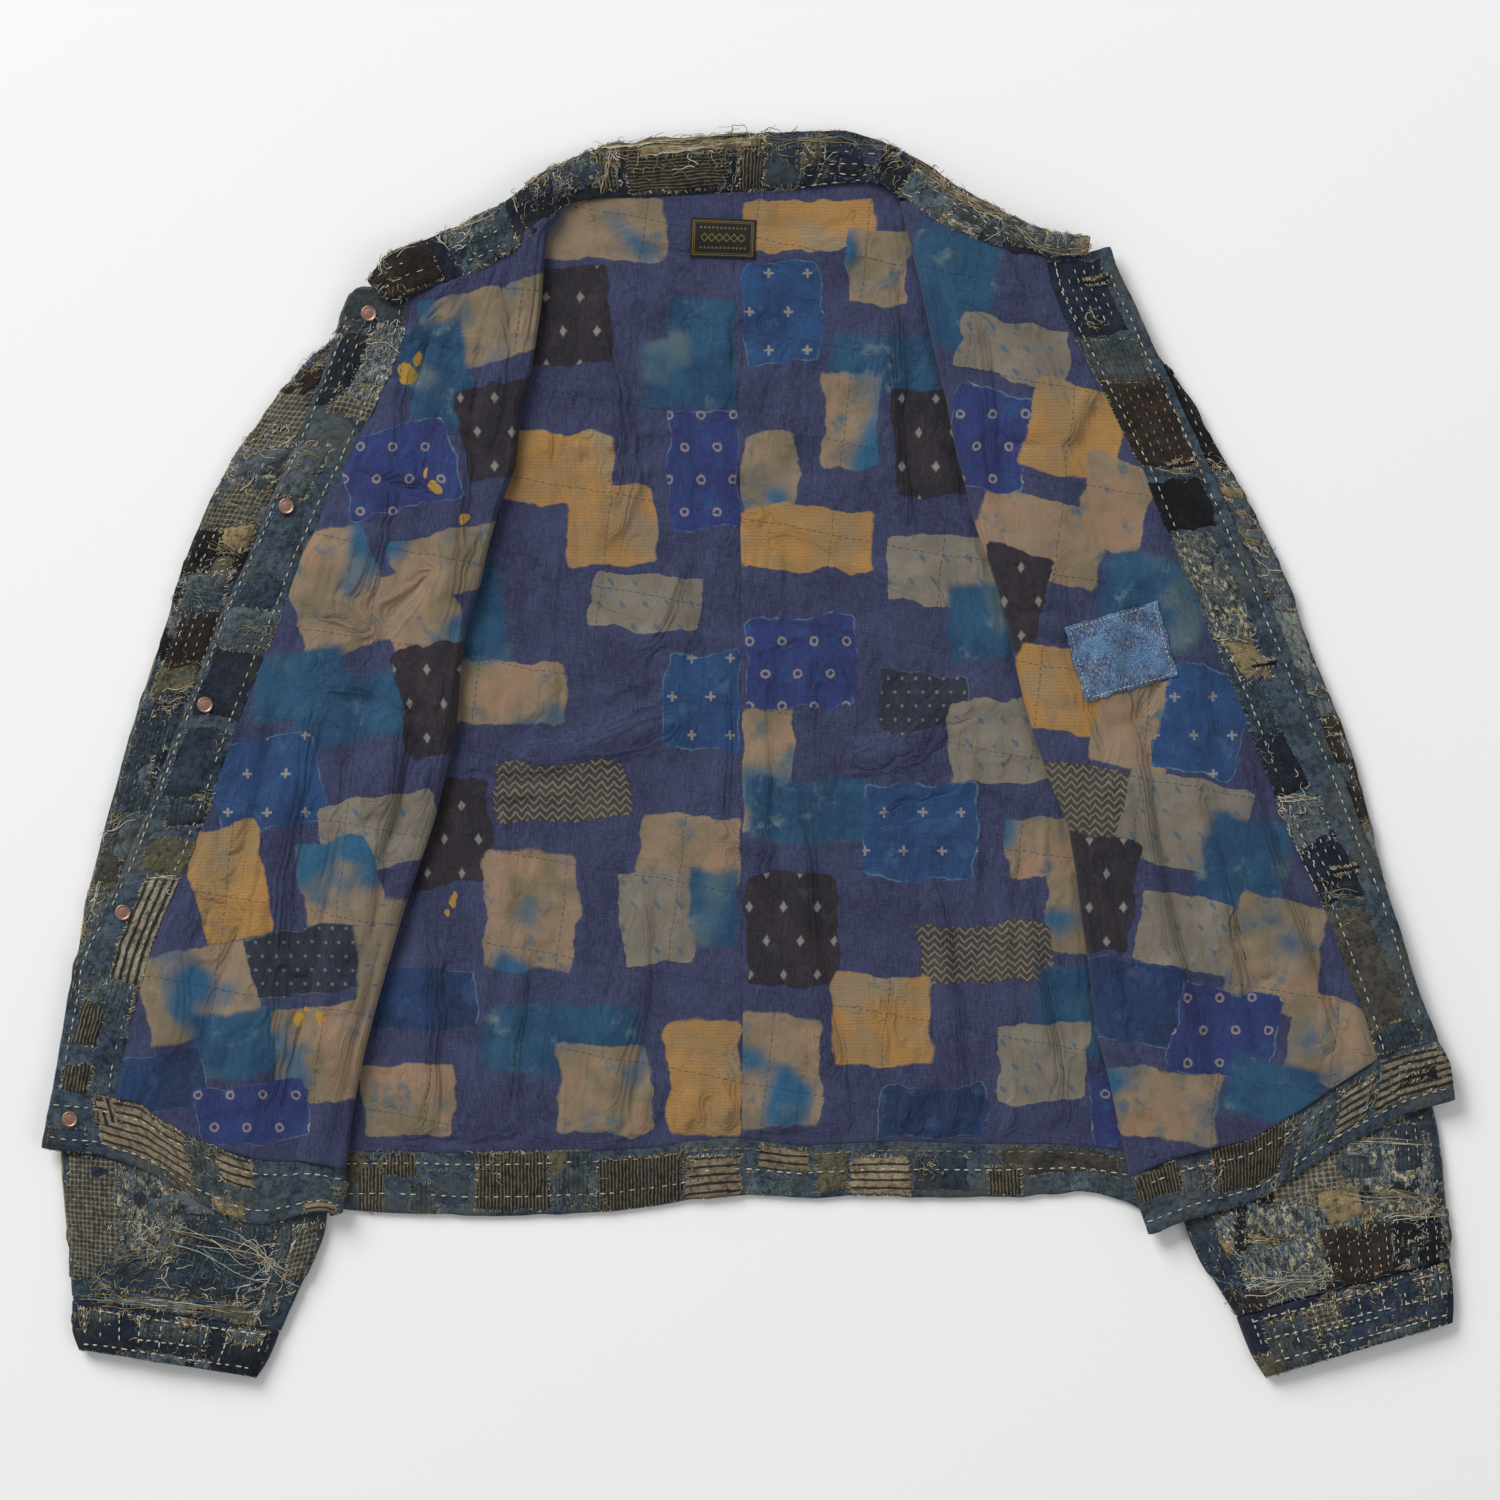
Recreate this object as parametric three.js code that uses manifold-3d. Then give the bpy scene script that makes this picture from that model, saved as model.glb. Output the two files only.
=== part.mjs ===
// A patched boro work jacket laid open on its back, lining side up. The back lies on
// the surface, both fronts are folded open over the sleeves, and the cuffs show below
// the front hems. Millimetres, +Z up, origin at the middle of the footprint on the surface.
// right and left are the wearer's: right lies at -X, left at +X.
import * as THREE from "three";
import { mergeVertices } from "three/addons/utils/BufferGeometryUtils.js";
import Module from "manifold-3d";

const wasm = await Module();
wasm.setup();

// ---------- driving sizes ----------
const MM_PER_UNIT = 0.65; // the plan tables below are in plan units, x right and y down
const PLAN_X = 749.5; // plan position of the origin
const PLAN_Y = 754.5;
const T_OUTER = 2.4; // patched outer cloth, two or three layers sewn together
const T_LINING = 1.0; // printed cotton lining
const GAP = 0.3; // between neighbouring pieces
const T_STACK = T_OUTER + GAP + T_LINING; // outer cloth and its lining
const T_COLLAR = 2.0; // each of the collar's two layers
const T_BAND = 3.0; // front bands and hem bands, doubled
const T_CUFF = 3.0; // cuff band, doubled
const SLEEVE_GAP = 2.0; // air between the walls of a flattened sleeve
const SLEEVE_END = T_OUTER + SLEEVE_GAP / 2; // outer radius of a sleeve's edge
const Z_RETURN = 2 * T_STACK + GAP; // top of the folded-under strip of a front
const Z_FRONT = 9.8; // underside of an opened front, over the flattened sleeve and the button heads
const CAP_R = 5.5; // button cap on the inner face
const HEAD_R = 8.5; // button head on the outer face
const HEAD_T = 2.2;
const POST_R = 1.6;
const POST_HOLE_R = 1.9;
const SLIT_LENGTH = 20; // buttonhole
const SLIT_WIDTH = 1.2;
const DENIM = 0x2c3747, BORO = 0x353b45, PRINT = 0x363b5e, COPPER = 0xa5684f, LABEL = 0x17161a, WOVEN = 0x5f7f9f;

// ---------- plan tables: each row is [x, y] in plan units ----------
const NECK_RIGHT = [[412, 298], [442, 286], [472, 274], [502, 259], [530, 241], [548, 223], [558, 209]];
const NECK_BACK = [[558, 209], [580, 201], [610, 198], [660, 197], [720, 193], [780, 190], [835, 184], [868, 182], [886, 188], [900, 199]];
const NECK_LEFT = [[900, 199], [915, 209], [945, 226], [985, 245], [1010, 253], [1043, 258]];
const FOLD_RIGHT = [[558, 209], [546, 226], [542, 262], [540, 300], [532, 360], [521, 400], [515, 464], [499, 505], [488, 545], [480, 583], [467, 620], [460, 674], [456, 730], [449, 761], [436, 814], [417, 870], [405, 905], [392, 950], [378, 1000], [365, 1050], [355, 1100], [350, 1140], [347, 1165]];
const FOLD_LEFT = [[900, 199], [910, 240], [920, 281], [932, 341], [946, 401], [956, 453], [964, 480], [972, 515], [980, 540], [992, 573], [1005, 618], [1014, 659], [1023, 700], [1033, 735], [1050, 783], [1067, 824], [1075, 868], [1080, 912], [1087, 963], [1096, 1032], [1107, 1073], [1117, 1122], [1128, 1174]];
const BAND_IN_RIGHT = [[412, 298], [408, 328], [399, 355], [389, 380], [378, 402], [365, 430], [356, 448], [347, 470], [335, 491], [325, 510], [315, 535], [305, 555], [297, 575], [289, 600], [279, 625], [268, 650], [258, 675], [248, 700], [238, 725], [229, 750], [221, 775], [213, 800], [204, 825], [195, 850], [183, 875], [171, 900], [161, 925], [152, 950], [145, 975], [140, 1000], [127, 1050], [118, 1098]];
const BAND_OUT_RIGHT = [[351, 296], [343, 315], [338, 335], [330, 360], [320, 390], [308, 420], [295, 450], [282, 480], [270, 510], [262, 535], [250, 560], [236, 590], [223, 615], [214, 640], [205, 665], [196, 690], [185, 715], [174, 745], [164, 770], [155, 795], [146, 820], [136, 845], [126, 870], [113, 895], [100, 920], [86, 940], [76, 965], [71, 1000], [64, 1040], [56, 1088]];
const BAND_TOP_RIGHT = [[351, 296], [362, 289], [386, 290], [412, 298]];
const BAND_END_RIGHT = [[56, 1088], [85, 1091], [118, 1098]];
const BAND_IN_LEFT = [[1043, 258], [1050, 290], [1065, 325], [1085, 360], [1105, 400], [1125, 440], [1143, 475], [1152, 500], [1165, 530], [1180, 565], [1197, 600], [1215, 650], [1238, 700], [1255, 745], [1275, 800], [1296, 850], [1315, 890], [1333, 935], [1350, 980], [1365, 1020], [1375, 1058]];
const BAND_OUT_LEFT = [[1108, 249], [1113, 265], [1125, 290], [1138, 318], [1150, 345], [1163, 372], [1178, 405], [1193, 437], [1207, 468], [1222, 503], [1238, 540], [1254, 575], [1268, 610], [1283, 645], [1300, 685], [1318, 725], [1333, 760], [1347, 795], [1360, 830], [1374, 862], [1386, 895], [1397, 930], [1408, 965], [1420, 1003], [1436, 1042]];
const BAND_TOP_LEFT = [[1108, 249], [1086, 256], [1060, 258], [1043, 258]];
const BAND_END_LEFT = [[1436, 1042], [1400, 1049], [1375, 1058]];
const HEM_SEAM_RIGHT = [[118, 1098], [140, 1101], [165, 1120], [200, 1138], [230, 1149], [260, 1161], [290, 1172], [320, 1174], [347, 1165]];
const HEM_SEAM_LEFT = [[1375, 1058], [1350, 1075], [1300, 1108], [1250, 1138], [1200, 1156], [1160, 1168], [1128, 1174]];
const HEM_EDGE_RIGHT = [[45, 1146], [65, 1149], [100, 1152], [140, 1165], [170, 1181], [200, 1200], [240, 1218], [265, 1226], [290, 1229], [318, 1229], [333, 1221], [343, 1206]];
const HEM_EDGE_LEFT = [[1452, 1098], [1425, 1105], [1400, 1112], [1370, 1130], [1330, 1150], [1290, 1177], [1260, 1195], [1230, 1208], [1200, 1219], [1170, 1228], [1146, 1232]];
const HEM_OPEN_RIGHT = [[56, 1088], [50, 1115], [45, 1146]];
const HEM_OPEN_LEFT = [[1436, 1042], [1447, 1062], [1452, 1098]];
const HEM_FOLD_RIGHT = [[347, 1165], [347, 1185], [343, 1206]];
const HEM_FOLD_LEFT = [[1128, 1174], [1137, 1205], [1146, 1232]];
const SIDE_RIGHT = [[558, 209], [372, 335], [388, 400], [392, 470], [380, 540], [360, 600], [345, 640], [343, 800], [341, 1000], [338, 1152]];
const SIDE_LEFT = [[900, 199], [1108, 335], [1092, 400], [1088, 470], [1100, 540], [1120, 600], [1135, 640], [1137, 800], [1140, 1000], [1144, 1153]];
const CENTRE_SEAM = [[733, 192], [738, 400], [741, 560], [742, 750], [743, 1000], [742, 1137]];
const HEM_SEAM_BACK = [[338, 1152], [400, 1150], [450, 1152], [520, 1151], [600, 1150], [650, 1147], [690, 1140], [720, 1137], [742, 1137], [800, 1145], [850, 1142], [900, 1140], [1000, 1143], [1060, 1143], [1110, 1148], [1144, 1153]];
const HEM_EDGE_BACK = [[338, 1208], [400, 1211], [450, 1213], [500, 1215], [550, 1213], [600, 1211], [650, 1205], [700, 1197], [750, 1193], [800, 1197], [850, 1194], [900, 1195], [1000, 1196], [1050, 1193], [1080, 1190], [1100, 1193], [1130, 1202], [1144, 1210]];

// Collar sections: seam point, free edge point, and the height of the underside at each.
const COLLAR = [
  { sx: 385, sy: 300, ex: 371, ey: 284, zs: 14.6, ze: 14.6 },
  { sx: 412, sy: 297, ex: 388, ey: 257, zs: 14.0, ze: 13.6 },
  { sx: 442, sy: 285, ex: 422, ey: 246, zs: 11.0, ze: 12.4 },
  { sx: 472, sy: 273, ex: 455, ey: 232, zs: 10.4, ze: 12.0 },
  { sx: 502, sy: 258, ex: 488, ey: 216, zs: 10.4, ze: 12.6 },
  { sx: 530, sy: 240, ex: 514, ey: 200, zs: 10.4, ze: 13.0 },
  { sx: 548, sy: 222, ex: 534, ey: 184, zs: 9.6, ze: 11.0 },
  { sx: 558, sy: 208, ex: 552, ey: 171, zs: 7.0, ze: 7.6 },
  { sx: 580, sy: 200, ex: 574, ey: 159, zs: 3.2, ze: 4.2 },
  { sx: 610, sy: 197, ex: 603, ey: 148, zs: 0.6, ze: 2.4 },
  { sx: 660, sy: 196, ex: 656, ey: 142, zs: 0.0, ze: 2.6 },
  { sx: 720, sy: 192, ex: 718, ey: 137, zs: 0.0, ze: 3.0 },
  { sx: 780, sy: 189, ex: 786, ey: 134, zs: 0.0, ze: 3.0 },
  { sx: 835, sy: 183, ex: 846, ey: 133, zs: 0.4, ze: 3.2 },
  { sx: 868, sy: 181, ex: 886, ey: 144, zs: 1.6, ze: 4.0 },
  { sx: 886, sy: 187, ex: 910, ey: 156, zs: 4.2, ze: 6.0 },
  { sx: 900, sy: 198, ex: 926, ey: 167, zs: 7.6, ze: 8.4 },
  { sx: 915, sy: 208, ex: 942, ey: 179, zs: 10.0, ze: 10.6 },
  { sx: 945, sy: 225, ex: 970, ey: 200, zs: 10.6, ze: 12.6 },
  { sx: 985, sy: 244, ex: 1006, ey: 220, zs: 10.8, ze: 13.4 },
  { sx: 1010, sy: 252, ex: 1030, ey: 230, zs: 11.0, ze: 13.6 },
  { sx: 1043, sy: 256, ex: 1056, ey: 238, zs: 11.2, ze: 13.2 },
  { sx: 1083, sy: 252, ex: 1086, ey: 243, zs: 11.4, ze: 12.2 },
];

// Sleeve sections: outer edge, inner edge, and 1 where the tube is closed at its inner
// edge, 0 where it opens into the armhole.
const SLEEVE_RIGHT = [
  { ox: 345, oy: 334, ix: 369, iy: 338, shut: 0 }, { ox: 322, oy: 352, ix: 374, iy: 356, shut: 0 },
  { ox: 300, oy: 374, ix: 380, iy: 374, shut: 0 }, { ox: 274, oy: 402, ix: 386, iy: 400, shut: 0 },
  { ox: 239, oy: 450, ix: 390, iy: 450, shut: 0 }, { ox: 210, oy: 500, ix: 387, iy: 500, shut: 0 },
  { ox: 186, oy: 560, ix: 372, iy: 560, shut: 0 }, { ox: 173, oy: 600, ix: 358, iy: 600, shut: 0 },
  { ox: 163, oy: 640, ix: 343, iy: 640, shut: 1 }, { ox: 141, oy: 700, ix: 341, iy: 700, shut: 1 },
  { ox: 124, oy: 760, ix: 340, iy: 760, shut: 1 }, { ox: 105, oy: 830, ix: 339, iy: 830, shut: 1 },
  { ox: 87, oy: 900, ix: 338, iy: 900, shut: 1 }, { ox: 76, oy: 970, ix: 337, iy: 970, shut: 1 },
  { ox: 67, oy: 1050, ix: 336, iy: 1050, shut: 1 }, { ox: 61, oy: 1125, ix: 334, iy: 1130, shut: 1 },
  { ox: 63, oy: 1185, ix: 331, iy: 1190, shut: 1 }, { ox: 67, oy: 1225, ix: 326, iy: 1235, shut: 1 },
  { ox: 71, oy: 1260, ix: 306, iy: 1277, shut: 1 }, { ox: 73, oy: 1298, ix: 283, iy: 1329, shut: 1 },
];
const SLEEVE_LEFT = [
  { ox: 1140, oy: 336, ix: 1111, iy: 338, shut: 0 }, { ox: 1165, oy: 366, ix: 1102, iy: 362, shut: 0 },
  { ox: 1190, oy: 402, ix: 1094, iy: 400, shut: 0 }, { ox: 1218, oy: 450, ix: 1091, iy: 450, shut: 0 },
  { ox: 1247, oy: 500, ix: 1095, iy: 500, shut: 0 }, { ox: 1277, oy: 560, ix: 1108, iy: 560, shut: 0 },
  { ox: 1293, oy: 600, ix: 1122, iy: 600, shut: 0 }, { ox: 1305, oy: 640, ix: 1138, iy: 640, shut: 1 },
  { ox: 1330, oy: 700, ix: 1141, iy: 700, shut: 1 }, { ox: 1353, oy: 760, ix: 1144, iy: 760, shut: 1 },
  { ox: 1371, oy: 830, ix: 1147, iy: 830, shut: 1 }, { ox: 1387, oy: 900, ix: 1150, iy: 900, shut: 1 },
  { ox: 1402, oy: 970, ix: 1153, iy: 970, shut: 1 }, { ox: 1417, oy: 1040, ix: 1157, iy: 1050, shut: 1 },
  { ox: 1431, oy: 1100, ix: 1163, iy: 1125, shut: 1 }, { ox: 1439, oy: 1145, ix: 1172, iy: 1190, shut: 1 },
  { ox: 1443, oy: 1185, ix: 1188, iy: 1236, shut: 1 }, { ox: 1446, oy: 1222, ix: 1213, iy: 1280, shut: 1 },
  { ox: 1449, oy: 1256, ix: 1234, iy: 1314, shut: 1 },
];
const CUFF_RIGHT = [
  { ox: 72, oy: 1300, ix: 280, iy: 1331 }, { ox: 72, oy: 1316, ix: 275, iy: 1345 },
  { ox: 74, oy: 1332, ix: 268, iy: 1360 }, { ox: 80, oy: 1347, ix: 258, iy: 1375 },
];
const CUFF_LEFT = [
  { ox: 1450, oy: 1259, ix: 1236, iy: 1317 }, { ox: 1453, oy: 1280, ix: 1243, iy: 1336 },
  { ox: 1454, oy: 1301, ix: 1251, iy: 1355 }, { ox: 1453, oy: 1320, ix: 1264, iy: 1375 },
];

// Largest folds: soft ridges (h > 0) or troughs along a line; h in mm, w is the half-width in plan units.
const FOLDS_FRONT = [
  { x0: 400, y0: 420, x1: 330, y1: 640, h: 1.6, w: 26 }, { x0: 392, y0: 690, x1: 330, y1: 1130, h: 3.0, w: 24 },
  { x0: 300, y0: 740, x1: 226, y1: 1120, h: 2.4, w: 22 }, { x0: 180, y0: 960, x1: 150, y1: 1080, h: 1.4, w: 16 },
  { x0: 1010, y0: 330, x1: 1080, y1: 560, h: 1.8, w: 26 }, { x0: 1110, y0: 720, x1: 1190, y1: 1130, h: 3.0, w: 24 },
  { x0: 1235, y0: 730, x1: 1300, y1: 1040, h: 2.8, w: 18 }, { x0: 1170, y0: 560, x1: 1190, y1: 760, h: 1.4, w: 22 },
];
const FOLDS_BACK = [
  { x0: 640, y0: 900, x1: 610, y1: 1110, h: 2.0, w: 22 }, { x0: 790, y0: 820, x1: 830, y1: 1100, h: 2.2, w: 20 },
  { x0: 860, y0: 760, x1: 990, y1: 690, h: 2.4, w: 24 }, { x0: 600, y0: 330, x1: 620, y1: 560, h: 1.6, w: 20 },
  { x0: 620, y0: 240, x1: 840, y1: 250, h: 1.6, w: 20 }, { x0: 520, y0: 760, x1: 690, y1: 720, h: 1.6, w: 20 },
];
const BUTTONS = [[370, 315], [288, 507], [207, 705], [125, 912], [72, 1118]];
const BUTTONHOLES = [
  { x: 1096, y: 284, turn: 12 }, { x: 1180, y: 468, turn: 20 }, { x: 1262, y: 664, turn: 20 },
  { x: 1342, y: 870, turn: 18 }, { x: 1413, y: 1077, turn: 14 },
];
const NECK_LABEL = { x: 723, y: 239, wide: 42, high: 25, turn: -2 };
const SIDE_LABEL = { x: 1120, y: 652, wide: 62, high: 50, turn: 16 };

// ---------- helpers ----------
const mm = ([x, y]) => new THREE.Vector2((x - PLAN_X) * MM_PER_UNIT, (PLAN_Y - y) * MM_PER_UNIT);
const lerp = (a, b, t) => a + (b - a) * t;
const smooth = (a, b, t) => { const s = Math.min(1, Math.max(0, (t - a) / (b - a))); return s * s * (3 - 2 * s); };
const steps = (n, a = 0, b = 1) => Array.from({ length: n + 1 }, (_, i) => lerp(a, b, i / n));

// A plan table as a function of t from 0 to 1 along its length, in millimetres.
function edge(table) {
  if (typeof table === "function") return table;
  const p = table.map(mm), s = [0];
  for (let i = 1; i < p.length; i++) s.push(s[i - 1] + p[i].distanceTo(p[i - 1]));
  const total = s[s.length - 1];
  return (t) => {
    const at = Math.min(Math.max(t, 0), 1) * total;
    let i = 1;
    while (i < p.length - 1 && s[i] < at) i++;
    return p[i - 1].clone().lerp(p[i], (at - s[i - 1]) / (s[i] - s[i - 1]));
  };
}
// Two edges end to end, the first up to t = at.
function join(first, second, at = 0.5) {
  const [a, b] = [edge(first), edge(second)];
  return (t) => (t < at ? a(t / at) : b((t - at) / (1 - at)));
}
// The x of a plan table at a height y, both in millimetres.
function across(table) {
  const p = table.map(mm);
  return (y) => {
    for (let i = 1; i < p.length; i++)
      if (y >= p[i].y) return lerp(p[i - 1].x, p[i].x, Math.min(1, Math.max(0, (p[i - 1].y - y) / (p[i - 1].y - p[i].y))));
    return p[p.length - 1].x;
  };
}
// A four-sided panel between its edges: u runs along top and end, v along first and last.
function panel(top, end, first, last) {
  const [T, B, L, R] = [top, end, first, last].map(edge);
  return (u, v) => {
    const q = new THREE.Vector2();
    const corner = (c, w) => q.addScaledVector(c, -w);
    q.addScaledVector(T(u), 1 - v).addScaledVector(B(u), v).addScaledVector(L(v), 1 - u).addScaledVector(R(v), u);
    corner(T(0), (1 - u) * (1 - v)); corner(T(1), u * (1 - v)); corner(B(0), (1 - u) * v); corner(B(1), u * v);
    return q;
  };
}
function folds(table) {
  const rows = table.map((f) => ({ a: mm([f.x0, f.y0]), b: mm([f.x1, f.y1]), h: f.h, w: f.w * MM_PER_UNIT }));
  return (q) => {
    let z = 0;
    for (const { a, b, h, w } of rows) {
      const d = b.clone().sub(a), t = q.clone().sub(a).dot(d) / d.lengthSq();
      const off = q.clone().sub(a.clone().addScaledVector(d, t)).length();
      z += h * Math.exp(-((off / w) ** 2)) * smooth(-0.15, 0.25, t) * (1 - smooth(0.75, 1.15, t));
    }
    return z;
  };
}
const frontFolds = folds(FOLDS_FRONT), backFolds = folds(FOLDS_BACK);

// A solid between two offsets of a grid of points, along the grid's normals. Rows are
// grid[j], columns grid[j][i]; round closes the columns into a ring. The normals point
// up at the first column unless up is false.
function sheet(grid, low, high, { round = false, up = true } = {}) {
  const rows = grid.length, cols = grid[0].length;
  const at = (j, i) => grid[Math.min(rows - 1, Math.max(0, j))][round ? (i + cols) % cols : Math.min(cols - 1, Math.max(0, i))];
  const normals = grid.map((row, j) => row.map((_, i) => {
    const a = at(j, i + 1).clone().sub(at(j, i - 1)), b = at(j + 1, i).clone().sub(at(j - 1, i));
    return a.cross(b).normalize();
  }));
  const flip = normals[Math.floor(rows / 2)][0].z < 0 === up ? -1 : 1;
  const place = (j, i, d) => grid[j][i].clone().addScaledVector(normals[j][i], d * flip);
  const points = [], index = [];
  for (const d of [high, low]) for (let j = 0; j < rows; j++) for (let i = 0; i < cols; i++) points.push(place(j, i, d));
  const id = (k, j, i) => k * rows * cols + j * cols + (round ? i % cols : i);
  const quad = (a, b, c, d) => index.push(a, b, c, a, c, d);
  const lastCol = round ? cols : cols - 1;
  for (let j = 0; j < rows - 1; j++) for (let i = 0; i < lastCol; i++) {
    quad(id(0, j, i), id(0, j + 1, i), id(0, j + 1, i + 1), id(0, j, i + 1));
    quad(id(1, j, i), id(1, j, i + 1), id(1, j + 1, i + 1), id(1, j + 1, i));
  }
  for (let i = 0; i < lastCol; i++) {
    quad(id(0, 0, i), id(0, 0, i + 1), id(1, 0, i + 1), id(1, 0, i));
    quad(id(0, rows - 1, i + 1), id(0, rows - 1, i), id(1, rows - 1, i), id(1, rows - 1, i + 1));
  }
  if (!round) for (let j = 0; j < rows - 1; j++) {
    quad(id(0, j + 1, 0), id(0, j, 0), id(1, j, 0), id(1, j + 1, 0));
    quad(id(0, j, cols - 1), id(0, j + 1, cols - 1), id(1, j + 1, cols - 1), id(1, j, cols - 1));
  }
  let volume = 0;
  for (let k = 0; k < index.length; k += 3) volume += points[index[k]].dot(points[index[k + 1]].clone().cross(points[index[k + 2]]));
  if (volume < 0) for (let k = 0; k < index.length; k += 3) [index[k + 1], index[k + 2]] = [index[k + 2], index[k + 1]];
  const g = new THREE.BufferGeometry().setFromPoints(points);
  g.setIndex(index);
  return g;
}
// The height of a grid at a plan point, found in the cell that holds it.
function heightOn(grid, q) {
  for (let j = 0; j + 1 < grid.length; j++) for (let i = 0; i + 1 < grid[j].length; i++)
    for (const [a, b, c] of [[grid[j][i], grid[j + 1][i], grid[j + 1][i + 1]], [grid[j][i], grid[j + 1][i + 1], grid[j][i + 1]]]) {
      const d = (b.y - c.y) * (a.x - c.x) + (c.x - b.x) * (a.y - c.y);
      const s = ((b.y - c.y) * (q.x - c.x) + (c.x - b.x) * (q.y - c.y)) / d;
      const t = ((c.y - a.y) * (q.x - c.x) + (a.x - c.x) * (q.y - c.y)) / d;
      if (s >= 0 && t >= 0 && s + t <= 1) return s * a.z + t * b.z + (1 - s - t) * c.z;
    }
  return 0;
}
const point = (q, z) => new THREE.Vector3(q.x, q.y, z);

const group = new THREE.Group();
function add(name, geometry, color, roughness = 0.95, metalness = 0) {
  const mesh = new THREE.Mesh(geometry, new THREE.MeshStandardMaterial({ color, roughness, metalness }));
  mesh.name = name;
  group.add(mesh);
  return mesh;
}
function solid(geometry) {
  const g = geometry.clone();
  g.deleteAttribute("normal");
  g.deleteAttribute("uv");
  const m = mergeVertices(g, 1e-4);
  return new wasm.Manifold(new wasm.Mesh({ numProp: 3, vertProperties: m.attributes.position.array, triVerts: new Uint32Array(m.index.array) }));
}
function geometryOf(manifold) {
  const m = manifold.getMesh(), n = m.numProp, v = new Float32Array(m.numVert * 3);
  for (let i = 0; i < m.numVert; i++) v.set(m.vertProperties.subarray(i * n, i * n + 3), i * 3);
  return new THREE.BufferGeometry().setAttribute("position", new THREE.BufferAttribute(v, 3)).setIndex(new THREE.BufferAttribute(m.triVerts, 1));
}
// Cuts a piece back to GAP from its neighbour, which lies beyond a line of plan points.
// lines holds [a point on the seam, a point well inside the neighbour], in millimetres.
function cutBack(geometry, lines, { low = -5, high = 40, gap = GAP } = {}) {
  const grid = lines.map(([a, b]) => {
    const back = a.clone().sub(b).normalize();
    return [point(a.clone().addScaledVector(back, gap), 0), point(b, 0)];
  });
  return geometryOf(solid(geometry).subtract(solid(sheet(grid, low, high))));
}

// The shoulder, armhole and side seam of a front, each point with one that lies reach mm outward.
function sideLine(s, reach) {
  const side = edge(s.side);
  return steps(BACK_ROWS).map((v) => side(v)).map((q) => [q, q.clone().add(new THREE.Vector2(s.out * reach, 0))]);
}
const SIDES = {
  right: { out: -1, neck: NECK_RIGHT, hem: HEM_SEAM_RIGHT, bandIn: BAND_IN_RIGHT, fold: FOLD_RIGHT, side: SIDE_RIGHT, bandOut: BAND_OUT_RIGHT, bandTop: BAND_TOP_RIGHT, bandEnd: BAND_END_RIGHT, hemEdge: HEM_EDGE_RIGHT, hemOpen: HEM_OPEN_RIGHT, hemFold: HEM_FOLD_RIGHT, sleeve: SLEEVE_RIGHT, cuff: CUFF_RIGHT },
  left: { out: 1, neck: NECK_LEFT.slice().reverse(), hem: HEM_SEAM_LEFT, bandIn: BAND_IN_LEFT, fold: FOLD_LEFT, side: SIDE_LEFT, bandOut: BAND_OUT_LEFT, bandTop: BAND_TOP_LEFT, bandEnd: BAND_END_LEFT, hemEdge: HEM_EDGE_LEFT, hemOpen: HEM_OPEN_LEFT, hemFold: HEM_FOLD_LEFT, sleeve: SLEEVE_LEFT, cuff: CUFF_LEFT },
};

// ---------- back: outer cloth flat on the surface, lining in two halves with a centre seam ----------
const BACK_ROWS = 12, HALF_COLS = 6;
const halves = {
  right: { neck: NECK_BACK.slice(0, 5).concat([CENTRE_SEAM[0]]), hem: HEM_SEAM_BACK.slice(0, 9), first: SIDE_RIGHT, last: CENTRE_SEAM, u: [0, 0.9994] },
  left: { neck: [CENTRE_SEAM[0]].concat(NECK_BACK.slice(5)), hem: HEM_SEAM_BACK.slice(8), first: CENTRE_SEAM, last: SIDE_LEFT, u: [0.0006, 1] },
};
const hemSeamBack = join(halves.right.hem, halves.left.hem);
{
  const back = panel(join(halves.right.neck, halves.left.neck), hemSeamBack, SIDE_RIGHT, SIDE_LEFT);
  add("back_outer", sheet(steps(BACK_ROWS).map((v) => steps(2 * HALF_COLS).map((u) => point(back(u, v), 0))), 0, T_OUTER), BORO);
}
const backLining = {};
for (const [side, h] of Object.entries(halves)) {
  const half = panel(h.neck, h.hem, h.first, h.last);
  backLining[side] = steps(BACK_ROWS).map((v) => steps(HALF_COLS, ...h.u).map((u) => {
    const q = half(u, v), inside = side === "right" ? u : 1 - u;
    return point(q, T_OUTER + GAP + backFolds(q) * smooth(0, 0.18, inside) * smooth(0, 0.06, v) * (1 - smooth(0.94, 1, v)));
  }));
  add("back_lining_" + side, sheet(backLining[side], 0, T_LINING), PRINT, 0.9);
}
{
  const ends = [[HEM_SEAM_BACK[0], HEM_EDGE_BACK[0]], [HEM_SEAM_BACK.at(-1), HEM_EDGE_BACK.at(-1)]];
  const band = panel(hemSeamBack, HEM_EDGE_BACK, ...ends);
  add("hem_back", sheet([0.008, 1].map((v) => steps(2 * HALF_COLS).map((u) => point(band(u, v), 0))), 0, T_BAND), DENIM);
}

// ---------- fronts: opened lining up, rolled over at the fold, with a strip that runs back under to the side seam ----------
// The grid is the outer cloth's outer face. Its columns run from the band seam to the fold,
// round the roll, and back to the armhole or side seam.
const ROLL_STEPS = 4, FRONT_ROWS = 15, FRONT_COLS = 6, HEM_ROLL = 1.4, BAND_SHARE = 0.3;
const rollRadius = (v) => HEM_ROLL + 0.6 * smooth(0, 0.25, v) - 0.6 * smooth(0.8, 1, v);
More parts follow.
